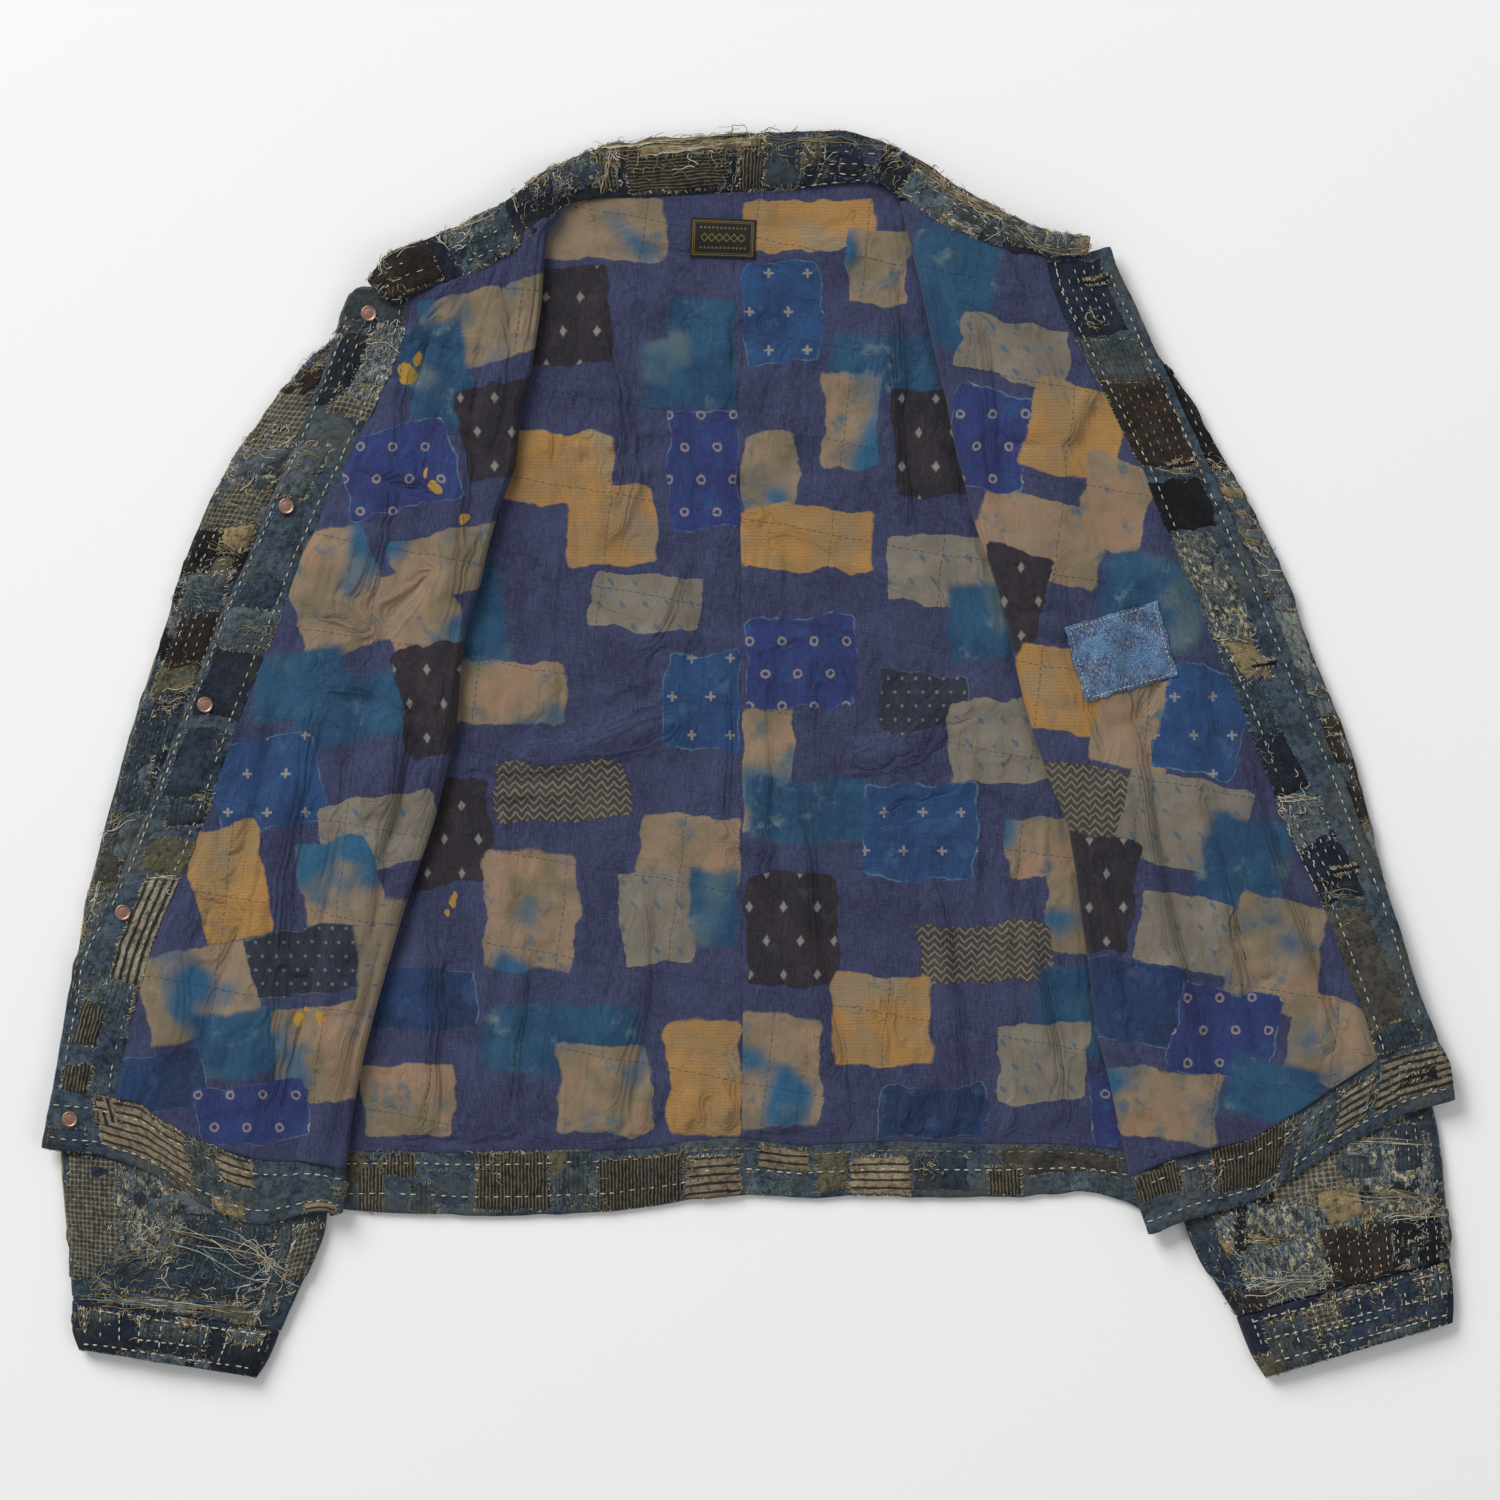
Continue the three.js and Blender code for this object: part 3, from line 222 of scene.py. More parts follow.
def creases(table, xy):
    z = np.zeros(xy.shape[:-1])
    for k, (x0, y0, x1, y1, h, w) in enumerate(table):
        a, b = to_m([x0, y0]), to_m([x1, y1])
        d = b - a
        length = np.hypot(*d)
        n = np.array([-d[1], d[0]]) / length
        t = ((xy - a) @ d) / length ** 2
        wander = 0.35 * w * K * np.sin(t * 5.1 + k * 1.7)
        off = (xy - a) @ n - wander
        width = w * K * (0.75 + 0.5 * np.clip(t, 0, 1))
        near, far = np.exp(-(off / width) ** 2), np.exp(-((off - 1.9 * width) / (1.3 * width)) ** 2)
        z += 2.9 * h * MM * (near - 0.28 * far) * smooth(-0.25, 0.3, t) * (1 - smooth(0.65, 1.2, t))
    return 4.4 * MM * np.tanh(z / (4.4 * MM))


# ---------------------------------------------------------------- surfaces and meshes
class Surf:
    """A grid of points, rows along v and columns along u, that other things are laid on."""

    def __init__(self, grid):
        self.p = np.asarray(grid, float)
        du, dv = np.gradient(self.p, axis=1), np.gradient(self.p, axis=0)
        n = np.cross(du, dv)
        n /= np.maximum(np.linalg.norm(n, axis=-1, keepdims=True), 1e-12)
        self.up = n[np.unravel_index(np.argmax(self.p[..., 2]), self.p.shape[:2])][2] > 0
        self.n = n if self.up else -n
        self.width = np.linalg.norm(np.diff(self.p, axis=1), axis=-1).sum(1)
        self.length = np.linalg.norm(np.diff(self.p, axis=0), axis=-1).sum(0).mean()
        self.m, self.k = self.p.shape[:2]

    def _cell(self, u, v):
        x, y = np.asarray(u, float) * (self.k - 1), np.asarray(v, float) * (self.m - 1)
        x, y = np.broadcast_arrays(x, y)
        i, j = np.clip(np.floor(x).astype(int), 0, self.k - 2), np.clip(np.floor(y).astype(int), 0, self.m - 2)
        return i, j, (x - i)[..., None], (y - j)[..., None]

    def at(self, u, v, lift=0.0):
        i, j, fx, fy = self._cell(u, v)
        cx, cy = np.clip(fx, 0, 1), np.clip(fy, 0, 1)

        def mix(g, a, b):
            return (g[j, i] * (1 - a) + g[j, i + 1] * a) * (1 - b) + (g[j + 1, i] * (1 - a) + g[j + 1, i + 1] * a) * b
        p = mix(self.p, fx, fy)
        q = mix(self.p, cx, cy)
        p[..., 2] = q[..., 2]
        over = np.linalg.norm(p[..., :2] - q[..., :2], axis=-1)
        p[..., 2] -= over * 0.45
        return p + mix(self.n, cx, cy) * np.asarray(lift)[..., None]

    def span(self, v):
        return np.interp(v, np.linspace(0, 1, self.m), self.width)

    def find(self, px, py):
        """u and v of a plan point."""
        q = to_m([px, py])
        d = (self.p[..., 0] - q[0]) ** 2 + (self.p[..., 1] - q[1]) ** 2
        j, i = np.unravel_index(np.argmin(d), d.shape)
        return i / (self.k - 1), j / (self.m - 1)


class Build:
    """Collects vertices, faces, cloth coordinates and material numbers for one mesh."""

    def __init__(self):
        self.v, self.f, self.c, self.m, self.n = [], [], [], [], 0

    def points(self, v, c=None):
        v = np.asarray(v, float).reshape(-1, 3)
        self.v.append(v)
        self.c.append(np.zeros_like(v) if c is None else np.asarray(c, float).reshape(-1, 3))
        self.n += len(v)
        return self.n - len(v)

    def faces(self, f, mat=0):
        f = np.asarray(f, int)
        self.f.append(f)
        self.m.append(np.full(len(f), mat) if np.isscalar(mat) else np.asarray(mat))

    def add(self, v, f, c=None, mat=0):
        self.faces(np.asarray(f, int) + self.points(v, c), mat)

    def mesh(self, name, mats, smooth_faces=True):
        v, c = np.concatenate(self.v), np.concatenate(self.c)
        quads = [f for f in self.f if f.shape[1] == 4]
        tris = [f for f in self.f if f.shape[1] == 3]
        mq = [m for f, m in zip(self.f, self.m) if f.shape[1] == 4]
        mt = [m for f, m in zip(self.f, self.m) if f.shape[1] == 3]
        loops, starts, totals, mi = [], [], [], []
        at = 0
        for group, mm, k in ((quads, mq, 4), (tris, mt, 3)):
            if group:
                f = np.concatenate(group)
                loops.append(f.ravel())
                starts.append(at + np.arange(len(f)) * k)
                totals.append(np.full(len(f), k))
                mi.append(np.concatenate(mm))
                at += len(f) * k
        loops, starts, totals, mi = map(np.concatenate, (loops, starts, totals, mi))
        me = bpy.data.meshes.new(name)
        me.vertices.add(len(v))
        me.vertices.foreach_set("co", v.astype(np.float32).ravel())
        me.loops.add(len(loops))
        me.loops.foreach_set("vertex_index", loops.astype(np.int32))
        me.polygons.add(len(starts))
        me.polygons.foreach_set("loop_start", starts.astype(np.int32))
        for m in mats:
            me.materials.append(m)
        me.polygons.foreach_set("material_index", mi.astype(np.int32))
        me.polygons.foreach_set("use_smooth", np.full(len(starts), smooth_faces))
        me.update(calc_edges=True)
        a = me.attributes.new("cuv", "FLOAT_VECTOR", "POINT")
        a.data.foreach_set("vector", c.astype(np.float32).ravel())
        me.validate()
        ob = bpy.data.objects.new(name, me)
        bpy.context.scene.collection.objects.link(ob)
        return ob


def grid_faces(m, k, wrap=False, flip=False):
    i, j = np.meshgrid(np.arange(k if wrap else k - 1), np.arange(m - 1))
    i, j = i.ravel(), j.ravel()
    i1 = (i + 1) % k
    f = np.stack([j * k + i, j * k + i1, (j + 1) * k + i1, (j + 1) * k + i], -1)
    return f[:, ::-1] if flip else f


def cloth_coords(surf, seed=0.0):
    m, k = surf.m, surf.k
    s = np.concatenate([np.zeros((m, 1)), np.cumsum(np.linalg.norm(np.diff(surf.p, axis=1), axis=-1), 1)], 1)
    s = s - s[:, -1:] / 2
    t = np.concatenate([[0], np.cumsum(np.linalg.norm(np.diff(surf.p, axis=0), axis=-1).mean(1))])
    return np.stack([s, np.broadcast_to(t[:, None], (m, k)), np.full((m, k), seed)], -1)


def border(m, k):
    return np.array([(0, i) for i in range(k)] + [(j, k - 1) for j in range(1, m)]
                    + [(m - 1, i) for i in range(k - 2, -1, -1)] + [(j, 0) for j in range(m - 2, 0, -1)])


def shell(build, surf, thick, mat=0, seed=0.0, coords=None, back=True):
    """A cloth wall on the surface: its face moved out along the normals, a rounded rim, and its back if back is set."""
    m, k = surf.m, surf.k
    c = cloth_coords(surf, seed) if coords is None else coords
    top = build.points(surf.p + surf.n * thick, c)
    build.faces(grid_faces(m, k, flip=not surf.up) + top, mat)
    jj, ii = border(m, k).T
    flat = jj * k + ii
    tangent = np.roll(surf.p[jj, ii], -1, 0) - np.roll(surf.p[jj, ii], 1, 0)
    out = np.cross(tangent, surf.n[jj, ii]) * (1 if surf.up else -1)
    out /= np.maximum(np.linalg.norm(out, axis=-1, keepdims=True), 1e-12)
    at = [surf.p[jj, ii] + surf.n[jj, ii] * thick * (0.5 + 0.5 * math.cos(a)) + out * thick * 0.3 * math.sin(a) for a in (0.8, math.pi / 2, 2.35)]
    rows = [top + flat] + [build.points(a, c[jj, ii]) + np.arange(len(flat)) for a in at]
    if back:
        low = build.points(surf.p, c)
        build.faces(grid_faces(m, k, flip=surf.up) + low, mat)
        rows.append(low + flat)
    for a, b in zip(rows[:-1], rows[1:]):
        q = np.stack([a, np.roll(a, -1), np.roll(b, -1), b], -1)
        build.faces(q[:, ::-1] if surf.up else q, mat)


def finish_piece(ob, slot, *nodes):
    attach(ob, "root")
    if nodes:
        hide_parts(*nodes)
    return ob


# ---------------------------------------------------------------- the jacket's surfaces, each on its solid's form
def sample(function, m, k, v=(0.0, 1.0), u=(0.0, 1.0)):
    uu, vv = np.meshgrid(np.linspace(*u, k), np.linspace(*v, m))
    return uu, vv, function(uu, vv)


def raised(xy, z):
    return np.concatenate([xy, np.asarray(z)[..., None]], -1)


def ripple(xy, seed, amount=1.0):
    """Small slack in sewn cloth: soft lumps, and finer crumple."""
    x, y = xy[..., 0], xy[..., 1]
    return amount * MM * (0.55 * fbm(x, y, 0.034, seed, 2) + 0.3 * fbm(x, y, 0.012, seed + 7, 2))


def pucker(xy, seed, amount=1.0):
    """Hard lumps of layered, hand-stitched cloth."""
    x, y = xy[..., 0], xy[..., 1]
    return amount * MM * (0.7 * fbm(x, y, 0.026, seed, 2) + 0.55 * fbm(x, y, 0.009, seed + 5, 2) + 0.25 * noise(x, y, 0.0035, seed + 9))


def drape(xy, seed, lean, amount=1.0):
    """Fine drag lines in thin cloth, mostly along the hang, in some places more than in others."""
    x, y = xy[..., 0] + lean * xy[..., 1], xy[..., 1]
    where = smooth(-0.25, 0.45, fbm(x, y, 0.06, seed + 3, 2))
    lines = fbm(x * 7.0, y, 0.10, seed, 3)
    cross = fbm(x, y * 5.0, 0.09, seed + 5, 3)
    return amount * MM * where * (0.85 * lines + 0.5 * cross)


halves = {
    "right": (NECK_BACK[:5] + [CENTRE_SEAM[0]], HEM_SEAM_BACK[:9], SIDE_RIGHT, CENTRE_SEAM, (0.0, 0.9994)),
    "left": ([CENTRE_SEAM[0]] + NECK_BACK[5:], HEM_SEAM_BACK[8:], CENTRE_SEAM, SIDE_LEFT, (0.0006, 1.0))}
hem_seam_back = join(halves["right"][1], halves["left"][1])
fold_x = {"right": across(FOLD_RIGHT), "left": across(FOLD_LEFT)}
S = {}

uu, vv, xy = sample(panel(join(halves["right"][0], halves["left"][0]), hem_seam_back, SIDE_RIGHT, SIDE_LEFT), 90, 70)
S["back_outer"] = Surf(raised(xy, np.full(uu.shape, 0.15 * MM)))
for side, (neck, hem, first, last, span) in halves.items():
    uu, vv, xy = sample(panel(neck, hem, first, last), 250, 104, u=span)
    inside = uu if side == "right" else 1 - uu
    edge_x = np.interp(xy[..., 1], *(lambda t: (t[::-1, 1], t[::-1, 0]))(to_m(FOLD_RIGHT if side == "right" else FOLD_LEFT)))
    clear = (xy[..., 0] - edge_x) * (1 if side == "right" else -1)
    free = smooth(-0.012, 0.012, clear) * smooth(0, 0.05, vv) * (1 - smooth(0.975, 1, vv))
    seam = np.exp(-((1 - inside) * 0.26 / 0.004) ** 2)
    z = T_OUTER + GAP + free * (np.maximum(creases(CREASES_BACK, xy), -2.0 * MM) + ripple(xy, 11, 1.5) + drape(xy, 14, 0.0, 3.0) + 1.1 * MM - 0.5 * MM * seam * (1 + 0.5 * noise(xy[..., 0], xy[..., 1], 0.015, 12)))
    S["back_lining_" + side] = Surf(raised(xy, np.maximum(z, T_OUTER + 0.2 * MM)))

uu, vv, xy = sample(panel(hem_seam_back, HEM_EDGE_BACK, [HEM_SEAM_BACK[0], HEM_EDGE_BACK[0]], [HEM_SEAM_BACK[-1], HEM_EDGE_BACK[-1]]), 18, 320, v=(0.01, 1))
xy[..., 1] += 0.6 * MM * noise(xy[..., 0], vv, 0.012, 21) * vv
S["hem_back"] = Surf(raised(xy, 0.3 * MM + 0.4 * MM * (1 + fbm(xy[..., 0], xy[..., 1], 0.02, 22)) * vv))

SIDES = {
    "right": dict(out=-1, neck=NECK_RIGHT, hem=HEM_SEAM_RIGHT, band_in=BAND_IN_RIGHT, fold=FOLD_RIGHT, side=SIDE_RIGHT, band_out=BAND_OUT_RIGHT, band_top=BAND_TOP_RIGHT, band_end=BAND_END_RIGHT, hem_edge=HEM_EDGE_RIGHT, hem_open=HEM_OPEN_RIGHT, hem_fold=HEM_FOLD_RIGHT, sleeve=SLEEVE_RIGHT, cuff=CUFF_RIGHT, creases=CREASES_FRONT_RIGHT),
    "left": dict(out=1, neck=NECK_LEFT, hem=HEM_SEAM_LEFT, band_in=BAND_IN_LEFT, fold=FOLD_LEFT, side=SIDE_LEFT, band_out=BAND_OUT_LEFT, band_top=BAND_TOP_LEFT, band_end=BAND_END_LEFT, hem_edge=HEM_EDGE_LEFT, hem_open=HEM_OPEN_LEFT, hem_fold=HEM_FOLD_LEFT, sleeve=SLEEVE_LEFT, cuff=CUFF_LEFT, creases=CREASES_FRONT_LEFT)}


def slack(q, seed, out):
    """The front lining's own looseness over the cloth under it."""
    e = ripple(q, seed, 1.6) + drape(q, seed + 6, 0.3 * out, 3.2) + 1.3 * MM
    return np.maximum(e, -0.1 * MM)


def folded(plan, vs, us, radius, reach, out, table=None, seed=0, turn=10, ret=5, extra=None):
    """Rows that run over a front's top layer, round its roll, and back under to the side seam."""
    rows = []
    for v in vs:
        r = float(radius(v))
        fold, before, start = plan(1.0, v), plan(0.9, v), plan(0.0, v)
        inward = (fold - before) / np.linalg.norm(fold - before)
        centre = fold - inward * (r + T_STACK)
        q = plan(us, np.full_like(us, v))
        k = smooth(0.5, 1, us)[:, None]
        q = q * (1 - k) + (start + (centre - start) * us[:, None]) * k
        z = lerp(Z_FRONT, Z_RETURN + 2 * r, smooth(0.45, 1, us))
        if table is not None:
            z = z + creases(table, q) * (1 - smooth(0.86, 1, us)) * smooth(0, 0.1, us) * smooth(0, 0.03, v)
        if extra is not None:
            z = z + extra(q) * smooth(0, 0.04, us) * (1 - smooth(0.94, 1, us))
        a = np.linspace(0, math.pi, turn + 1)[1:]
        swell = 1.0 + 0.22 * float(noise(v * 0.62, 0.0, 0.05, seed + 3))
        roll = np.concatenate([centre + inward * (r * swell * np.sin(a))[:, None], (Z_RETURN + r + r * np.cos(a))[:, None]], -1)
        far = max(4 * MM, (reach(centre[1]) - centre[0]) * out - 0.6 * MM)
        b = np.linspace(0, 1, ret + 1)[1:, None]
        back = np.concatenate([centre + b * far * np.array([out, -inward[1] * 0.5]), np.full((ret, 1), Z_RETURN)], -1)
        rows.append(np.concatenate([raised(q, z), roll, back]))
    return np.array(rows)


for side, s in SIDES.items():
    reach = across(s["side"])
    front = panel(s["neck"], s["hem"], s["band_in"], s["fold"])
    radius = lambda v: HEM_ROLL + 0.6 * MM * smooth(0, 0.25, v) - 0.6 * MM * smooth(0.8, 1, v)
    seed = 31 if side == "right" else 41
    us = np.concatenate([[0.003], np.linspace(0.01, 1, 84)])
    S["front_lining_" + side] = Surf(folded(front, np.linspace(0.0, 0.9994, 250), us, radius, reach, s["out"], s["creases"], seed, extra=lambda q: slack(q, seed, s["out"])))
    S["front_lining_" + side].cols = len(us)
    us = np.concatenate([[0.003], np.linspace(0.05, 1, 20)])
    S["front_outer_" + side] = Surf(folded(front, np.linspace(0.0, 0.9994, 90), us, radius, reach, s["out"], s["creases"], seed, turn=6, extra=lambda q: np.minimum(slack(q, seed, s["out"]), 0.0) - 0.6 * MM))

    hem = panel(join(s["band_end"], s["hem"], 0.3), s["hem_edge"], s["hem_open"], s["hem_fold"])
    end_x = to_m(s["side"][-1])[0]
    uh = np.linspace(0, 1, 78)
    rows = folded(lambda u, v: hem(0.3 + 0.7 * np.asarray(u), v), np.linspace(0.01, 1, 16), uh, lambda v: HEM_ROLL, lambda y: end_x, s["out"], seed=seed + 1, turn=8)
    ub = np.linspace(0, 0.3, 26)[:-1]
    first = np.array([raised(hem(ub, np.full_like(ub, v)), np.full(len(ub), Z_FRONT)) for v in np.linspace(0.01, 1, 16)])
    rows = np.concatenate([first, rows], 1)
    top = len(ub) + len(uh)
    lump = pucker(rows[..., :2], seed + 2, 0.8) + 0.3 * MM
    lump[:, top:] = 0
    rows[..., 2] += lump - 1.2 * MM * np.linspace(0, 1, 16)[:, None] ** 2 * (np.arange(rows.shape[1]) < top * 0.8)
    S["hem_front_" + side] = Surf(rows)
    S["hem_top_" + side] = Surf(rows[:, :top + 4])

    uu, vv, xy = sample(panel(s["band_top"], s["band_end"], s["band_out"], s["band_in"]), 300, 22, v=(0, 0.9994))
    xy[..., 0] += s["out"] * 0.7 * MM * noise(xy[..., 1], uu, 0.011, seed + 4) * (1 - smooth(0, 0.25, uu))
    z = Z_FRONT + pucker(xy, seed + 5, 0.75) + 0.2 * MM - 1.6 * MM * (1 - smooth(0, 0.4, uu)) ** 2
    S["band_" + side] = Surf(raised(xy, z))


def rows_of(table, m, cols):
    """Section values, interpolated smoothly along the table, at m even steps."""
    t = np.asarray(table, float)
    mid = (t[:, 0:2] + t[:, 2:4]) / 2
    s = np.concatenate([[0], np.cumsum(np.linalg.norm(np.diff(mid, axis=0), axis=1))])
    g = np.linspace(0, s[-1], m)
    out = np.stack([np.interp(g, s, t[:, c]) for c in range(cols)], -1)
    r = max(2, m // 60)
    k = np.hanning(2 * r + 3)[1:-1]
    k /= k.sum()
    pad = np.concatenate([2 * out[:1] - out[r:0:-1], out, 2 * out[-1:] - out[-2:-r - 2:-1]])
    return np.stack([np.convolve(pad[:, c], k, "valid") for c in range(cols)], -1)


def section(a, b, n, low, high, up, power=3.2):
    """A rounded half section of n points, placed 0 to 1 across, between two heights; a and b are not used."""
    s = 0.5 - 0.5 * np.cos(np.linspace(0, math.pi, n))
    s = 0.35 * s + 0.65 * np.linspace(0, 1, n)
    x = 2 * s - 1
    rise = (1 - np.abs(x) ** power) ** (1 / power)
    return s, lerp(low, high, rise) if up else low - (low - high) * rise


for side, s in SIDES.items():
    m, k = 230, 66
    t = rows_of(s["sleeve"], m, 5)
    a, b = to_m(t[:, 0:2]), to_m(t[:, 2:4])
    seed = 51 if side == "right" else 61
    lower = smooth(1090, 1200, t[:, 1])
    high = lerp(6.8 * MM, 9.6 * MM, lower) - 1.2 * MM * smooth(1250, 1300, t[:, 1])
    sx, _ = section(None, None, k, 0, 1, True)
    rise = (1 - np.abs(2 * sx - 1) ** 3.2) ** (1 / 3.2)
    for half, up in (("top", True), ("under", False)):
        inset = 2.3 * MM / np.linalg.norm(b - a, axis=1)[:, None] * (1 if up else 0)
        xy = a[:, None] + (b - a)[:, None] * (inset + (1 - 2 * inset) * sx[None])[..., None]
        wobble = fbm(xy[..., 0], xy[..., 1], 0.016, seed + 1) * 1.1 * MM
        xy[..., 0] += s["out"] * wobble * (1 - smooth(0, 0.12, sx))[None]
        if up:
            z = 3.5 * MM + (high[:, None] - 3.5 * MM - T_OUTER) * rise[None] + pucker(xy, seed, 1.5) * (0.45 + 0.55 * lower[:, None]) * rise
            soft = lower[:, None] * rise * (1.8 * MM * fbm(xy[..., 0], xy[..., 1], 0.05, seed + 3, 2))
            S["sleeve_top_" + side] = Surf(raised(xy, np.maximum(z + soft, 3.5 * MM)))
        else:
            S["sleeve_under_" + side] = Surf(raised(xy[::3, ::2], 3.3 * MM - 3.1 * MM * rise[None, ::2] + 0 * xy[::3, ::2, 0]))

    t = rows_of(s["cuff"], 22, 4)
    a, b = to_m(t[:, 0:2]), to_m(t[:, 2:4])
    kk = 60
    sx, _ = section(None, None, kk, 0, 1, True)
    rise = (1 - np.abs(2 * sx - 1) ** 3.0) ** (1 / 3.0)
    inset = 2.8 * MM / np.linalg.norm(b - a, axis=1)[:, None]
    xy = a[:, None] + (b - a)[:, None] * (inset + (1 - 2 * inset) * sx[None])[..., None]
    over = 4.4 * MM + 2.6 * MM * rise[None] + pucker(xy, seed + 8, 0.8) * rise
    below = 4.0 * MM - 1.0 * MM * rise[None] + 0 * over
    ring = np.concatenate([raised(xy, over), raised(xy[:, ::-1], below[:, ::-1])[:, 1:]], 1)
    S["cuff_" + side] = Surf(ring)
    S["cuff_top_" + side] = Surf(ring[:, :kk])

t = rows_of(COLLAR, 330, 6)
a, b = to_m(t[:, 0:2]), to_m(t[:, 2:4])
g = np.linspace(0, 1, 20)
xy = a[:, None] + (b - a)[:, None] * g[None, :, None]
outward = (b - a) / np.linalg.norm(b - a, axis=1, keepdims=True)
xy += outward[:, None] * (fbm(xy[..., 0], xy[..., 1], 0.014, 71) * 1.3 * MM * g ** 2)[..., None]
z = (t[:, 4:5] + (t[:, 5:6] - t[:, 4:5]) * g) * MM
S["collar_under"] = Surf(raised(xy, z))
S["collar"] = Surf(raised(xy, z + 2.3 * MM + pucker(xy, 73, 1.6) * smooth(0, 0.12, g) + 1.6 * MM * np.sin(math.pi * g ** 1.5)))


# ---------------------------------------------------------------- materials
def rgb(text):
    c = [int(text[i:i + 2], 16) / 255 for i in (0, 2, 4)]
    return [0.70 * (x / 12.92 if x <= 0.04045 else ((x + 0.055) / 1.055) ** 2.4) for x in c] + [1.0]


class Nodes:
    """A material's nodes, written as calls."""

    def __init__(self, name, roughness=0.9, sheen=0.25, metallic=0.0):
        self.mat = bpy.data.materials.new(name)
        self.mat.use_nodes = True
        self.t = self.mat.node_tree
        self.t.nodes.clear()
        out = self.node("ShaderNodeOutputMaterial")
        self.bsdf = self.node("ShaderNodeBsdfPrincipled")
        self.t.links.new(self.bsdf.outputs[0], out.inputs[0])
        self.bsdf.inputs["Roughness"].default_value = roughness
        self.bsdf.inputs["Metallic"].default_value = metallic
        self.bsdf.inputs["Sheen Weight"].default_value = sheen
        self.bsdf.inputs["Sheen Roughness"].default_value = 0.6
        self.bsdf.inputs["Specular IOR Level"].default_value = 0.14 if metallic == 0 else 0.5

    def node(self, kind, **props):
        n = self.t.nodes.new(kind)
        for k, v in props.items():
            setattr(n, k, v)
        return n

    def put(self, socket, value):
        if isinstance(value, bpy.types.NodeSocket):
            self.t.links.new(value, socket)
        elif value is not None:
            socket.default_value = value

    def math(self, op, a, b=None, c=None, clamp=False):
        n = self.node("ShaderNodeMath", operation=op, use_clamp=clamp)
        for s, v in zip(n.inputs, (a, b, c)):
            self.put(s, v)
        return n.outputs[0]

    def vec(self, op, a, b=None, scale=None):
        n = self.node("ShaderNodeVectorMath", operation=op)
        self.put(n.inputs[0], a)
        self.put(n.inputs[1], b)
        if scale is not None:
            self.put(n.inputs[3], scale)
        return n.outputs[0]

    def mix(self, fac, a, b, blend="MIX"):
        n = self.node("ShaderNodeMix", data_type="RGBA", blend_type=blend)
        self.put(n.inputs[0], fac)
        self.put(n.inputs[6], a)
        self.put(n.inputs[7], b)
        return n.outputs[2]

    def step(self, x, low, high, a=0.0, b=1.0):
        n = self.node("ShaderNodeMapRange", interpolation_type="SMOOTHSTEP")
        for s, v in zip(n.inputs, (x, low, high, a, b)):
            self.put(s, v)
        return n.outputs[0]

    def noise(self, vec, scale=1.0, detail=2.0, rough=0.5, colour=False):
        n = self.node("ShaderNodeTexNoise")
        self.put(n.inputs["Vector"], vec)
        n.inputs["Scale"].default_value = scale
        n.inputs["Detail"].default_value = detail
        n.inputs["Roughness"].default_value = rough
        return n.outputs[1 if colour else 0]

    def split(self, vec):
        n = self.node("ShaderNodeSeparateXYZ")
        self.put(n.inputs[0], vec)
        return n.outputs[0], n.outputs[1], n.outputs[2]

    def cloth(self):
        """Cloth coordinates in mm, x across and y along the piece, z a number of its own."""
        return self.vec("SCALE", self.node("ShaderNodeAttribute", attribute_name="cuv").outputs["Vector"], scale=1000.0)

    def plan(self):
        """Place on the jacket, in mm."""
        return self.vec("SCALE", self.node("ShaderNodeTexCoord").outputs["Object"], scale=1000.0)

    def stripe(self, x, pitch, share, soft=0.12):
        d = self.math("MULTIPLY", self.math("ABSOLUTE", self.math("SUBTRACT", self.math("FRACT", self.math("DIVIDE", x, pitch)), 0.5)), 2.0)
        return self.step(d, share - soft, share + soft, 1.0, 0.0)

    def dashes(self, x, y, row, pitch, share, thick):
        """Rows of short stitches along x, a row every row mm."""
        at = self.math("DIVIDE", y, row)
        hop = self.math("MULTIPLY", self.math("FLOOR", at), 0.37 * pitch)
        return self.math("MULTIPLY", self.stripe(y, row, thick / row, 0.5 * thick / row), self.stripe(self.math("ADD", x, hop), pitch, share, 0.08))

    def finish(self, colour, height=None, strength=0.4, distance=0.0004):
        self.put(self.bsdf.inputs["Base Color"], colour)
        if height is not None:
            n = self.node("ShaderNodeBump")
            n.inputs["Strength"].default_value = strength
            n.inputs["Distance"].default_value = distance
            self.put(n.inputs["Height"], height)
            self.t.links.new(n.outputs[0], self.bsdf.inputs["Normal"])
        return self.mat


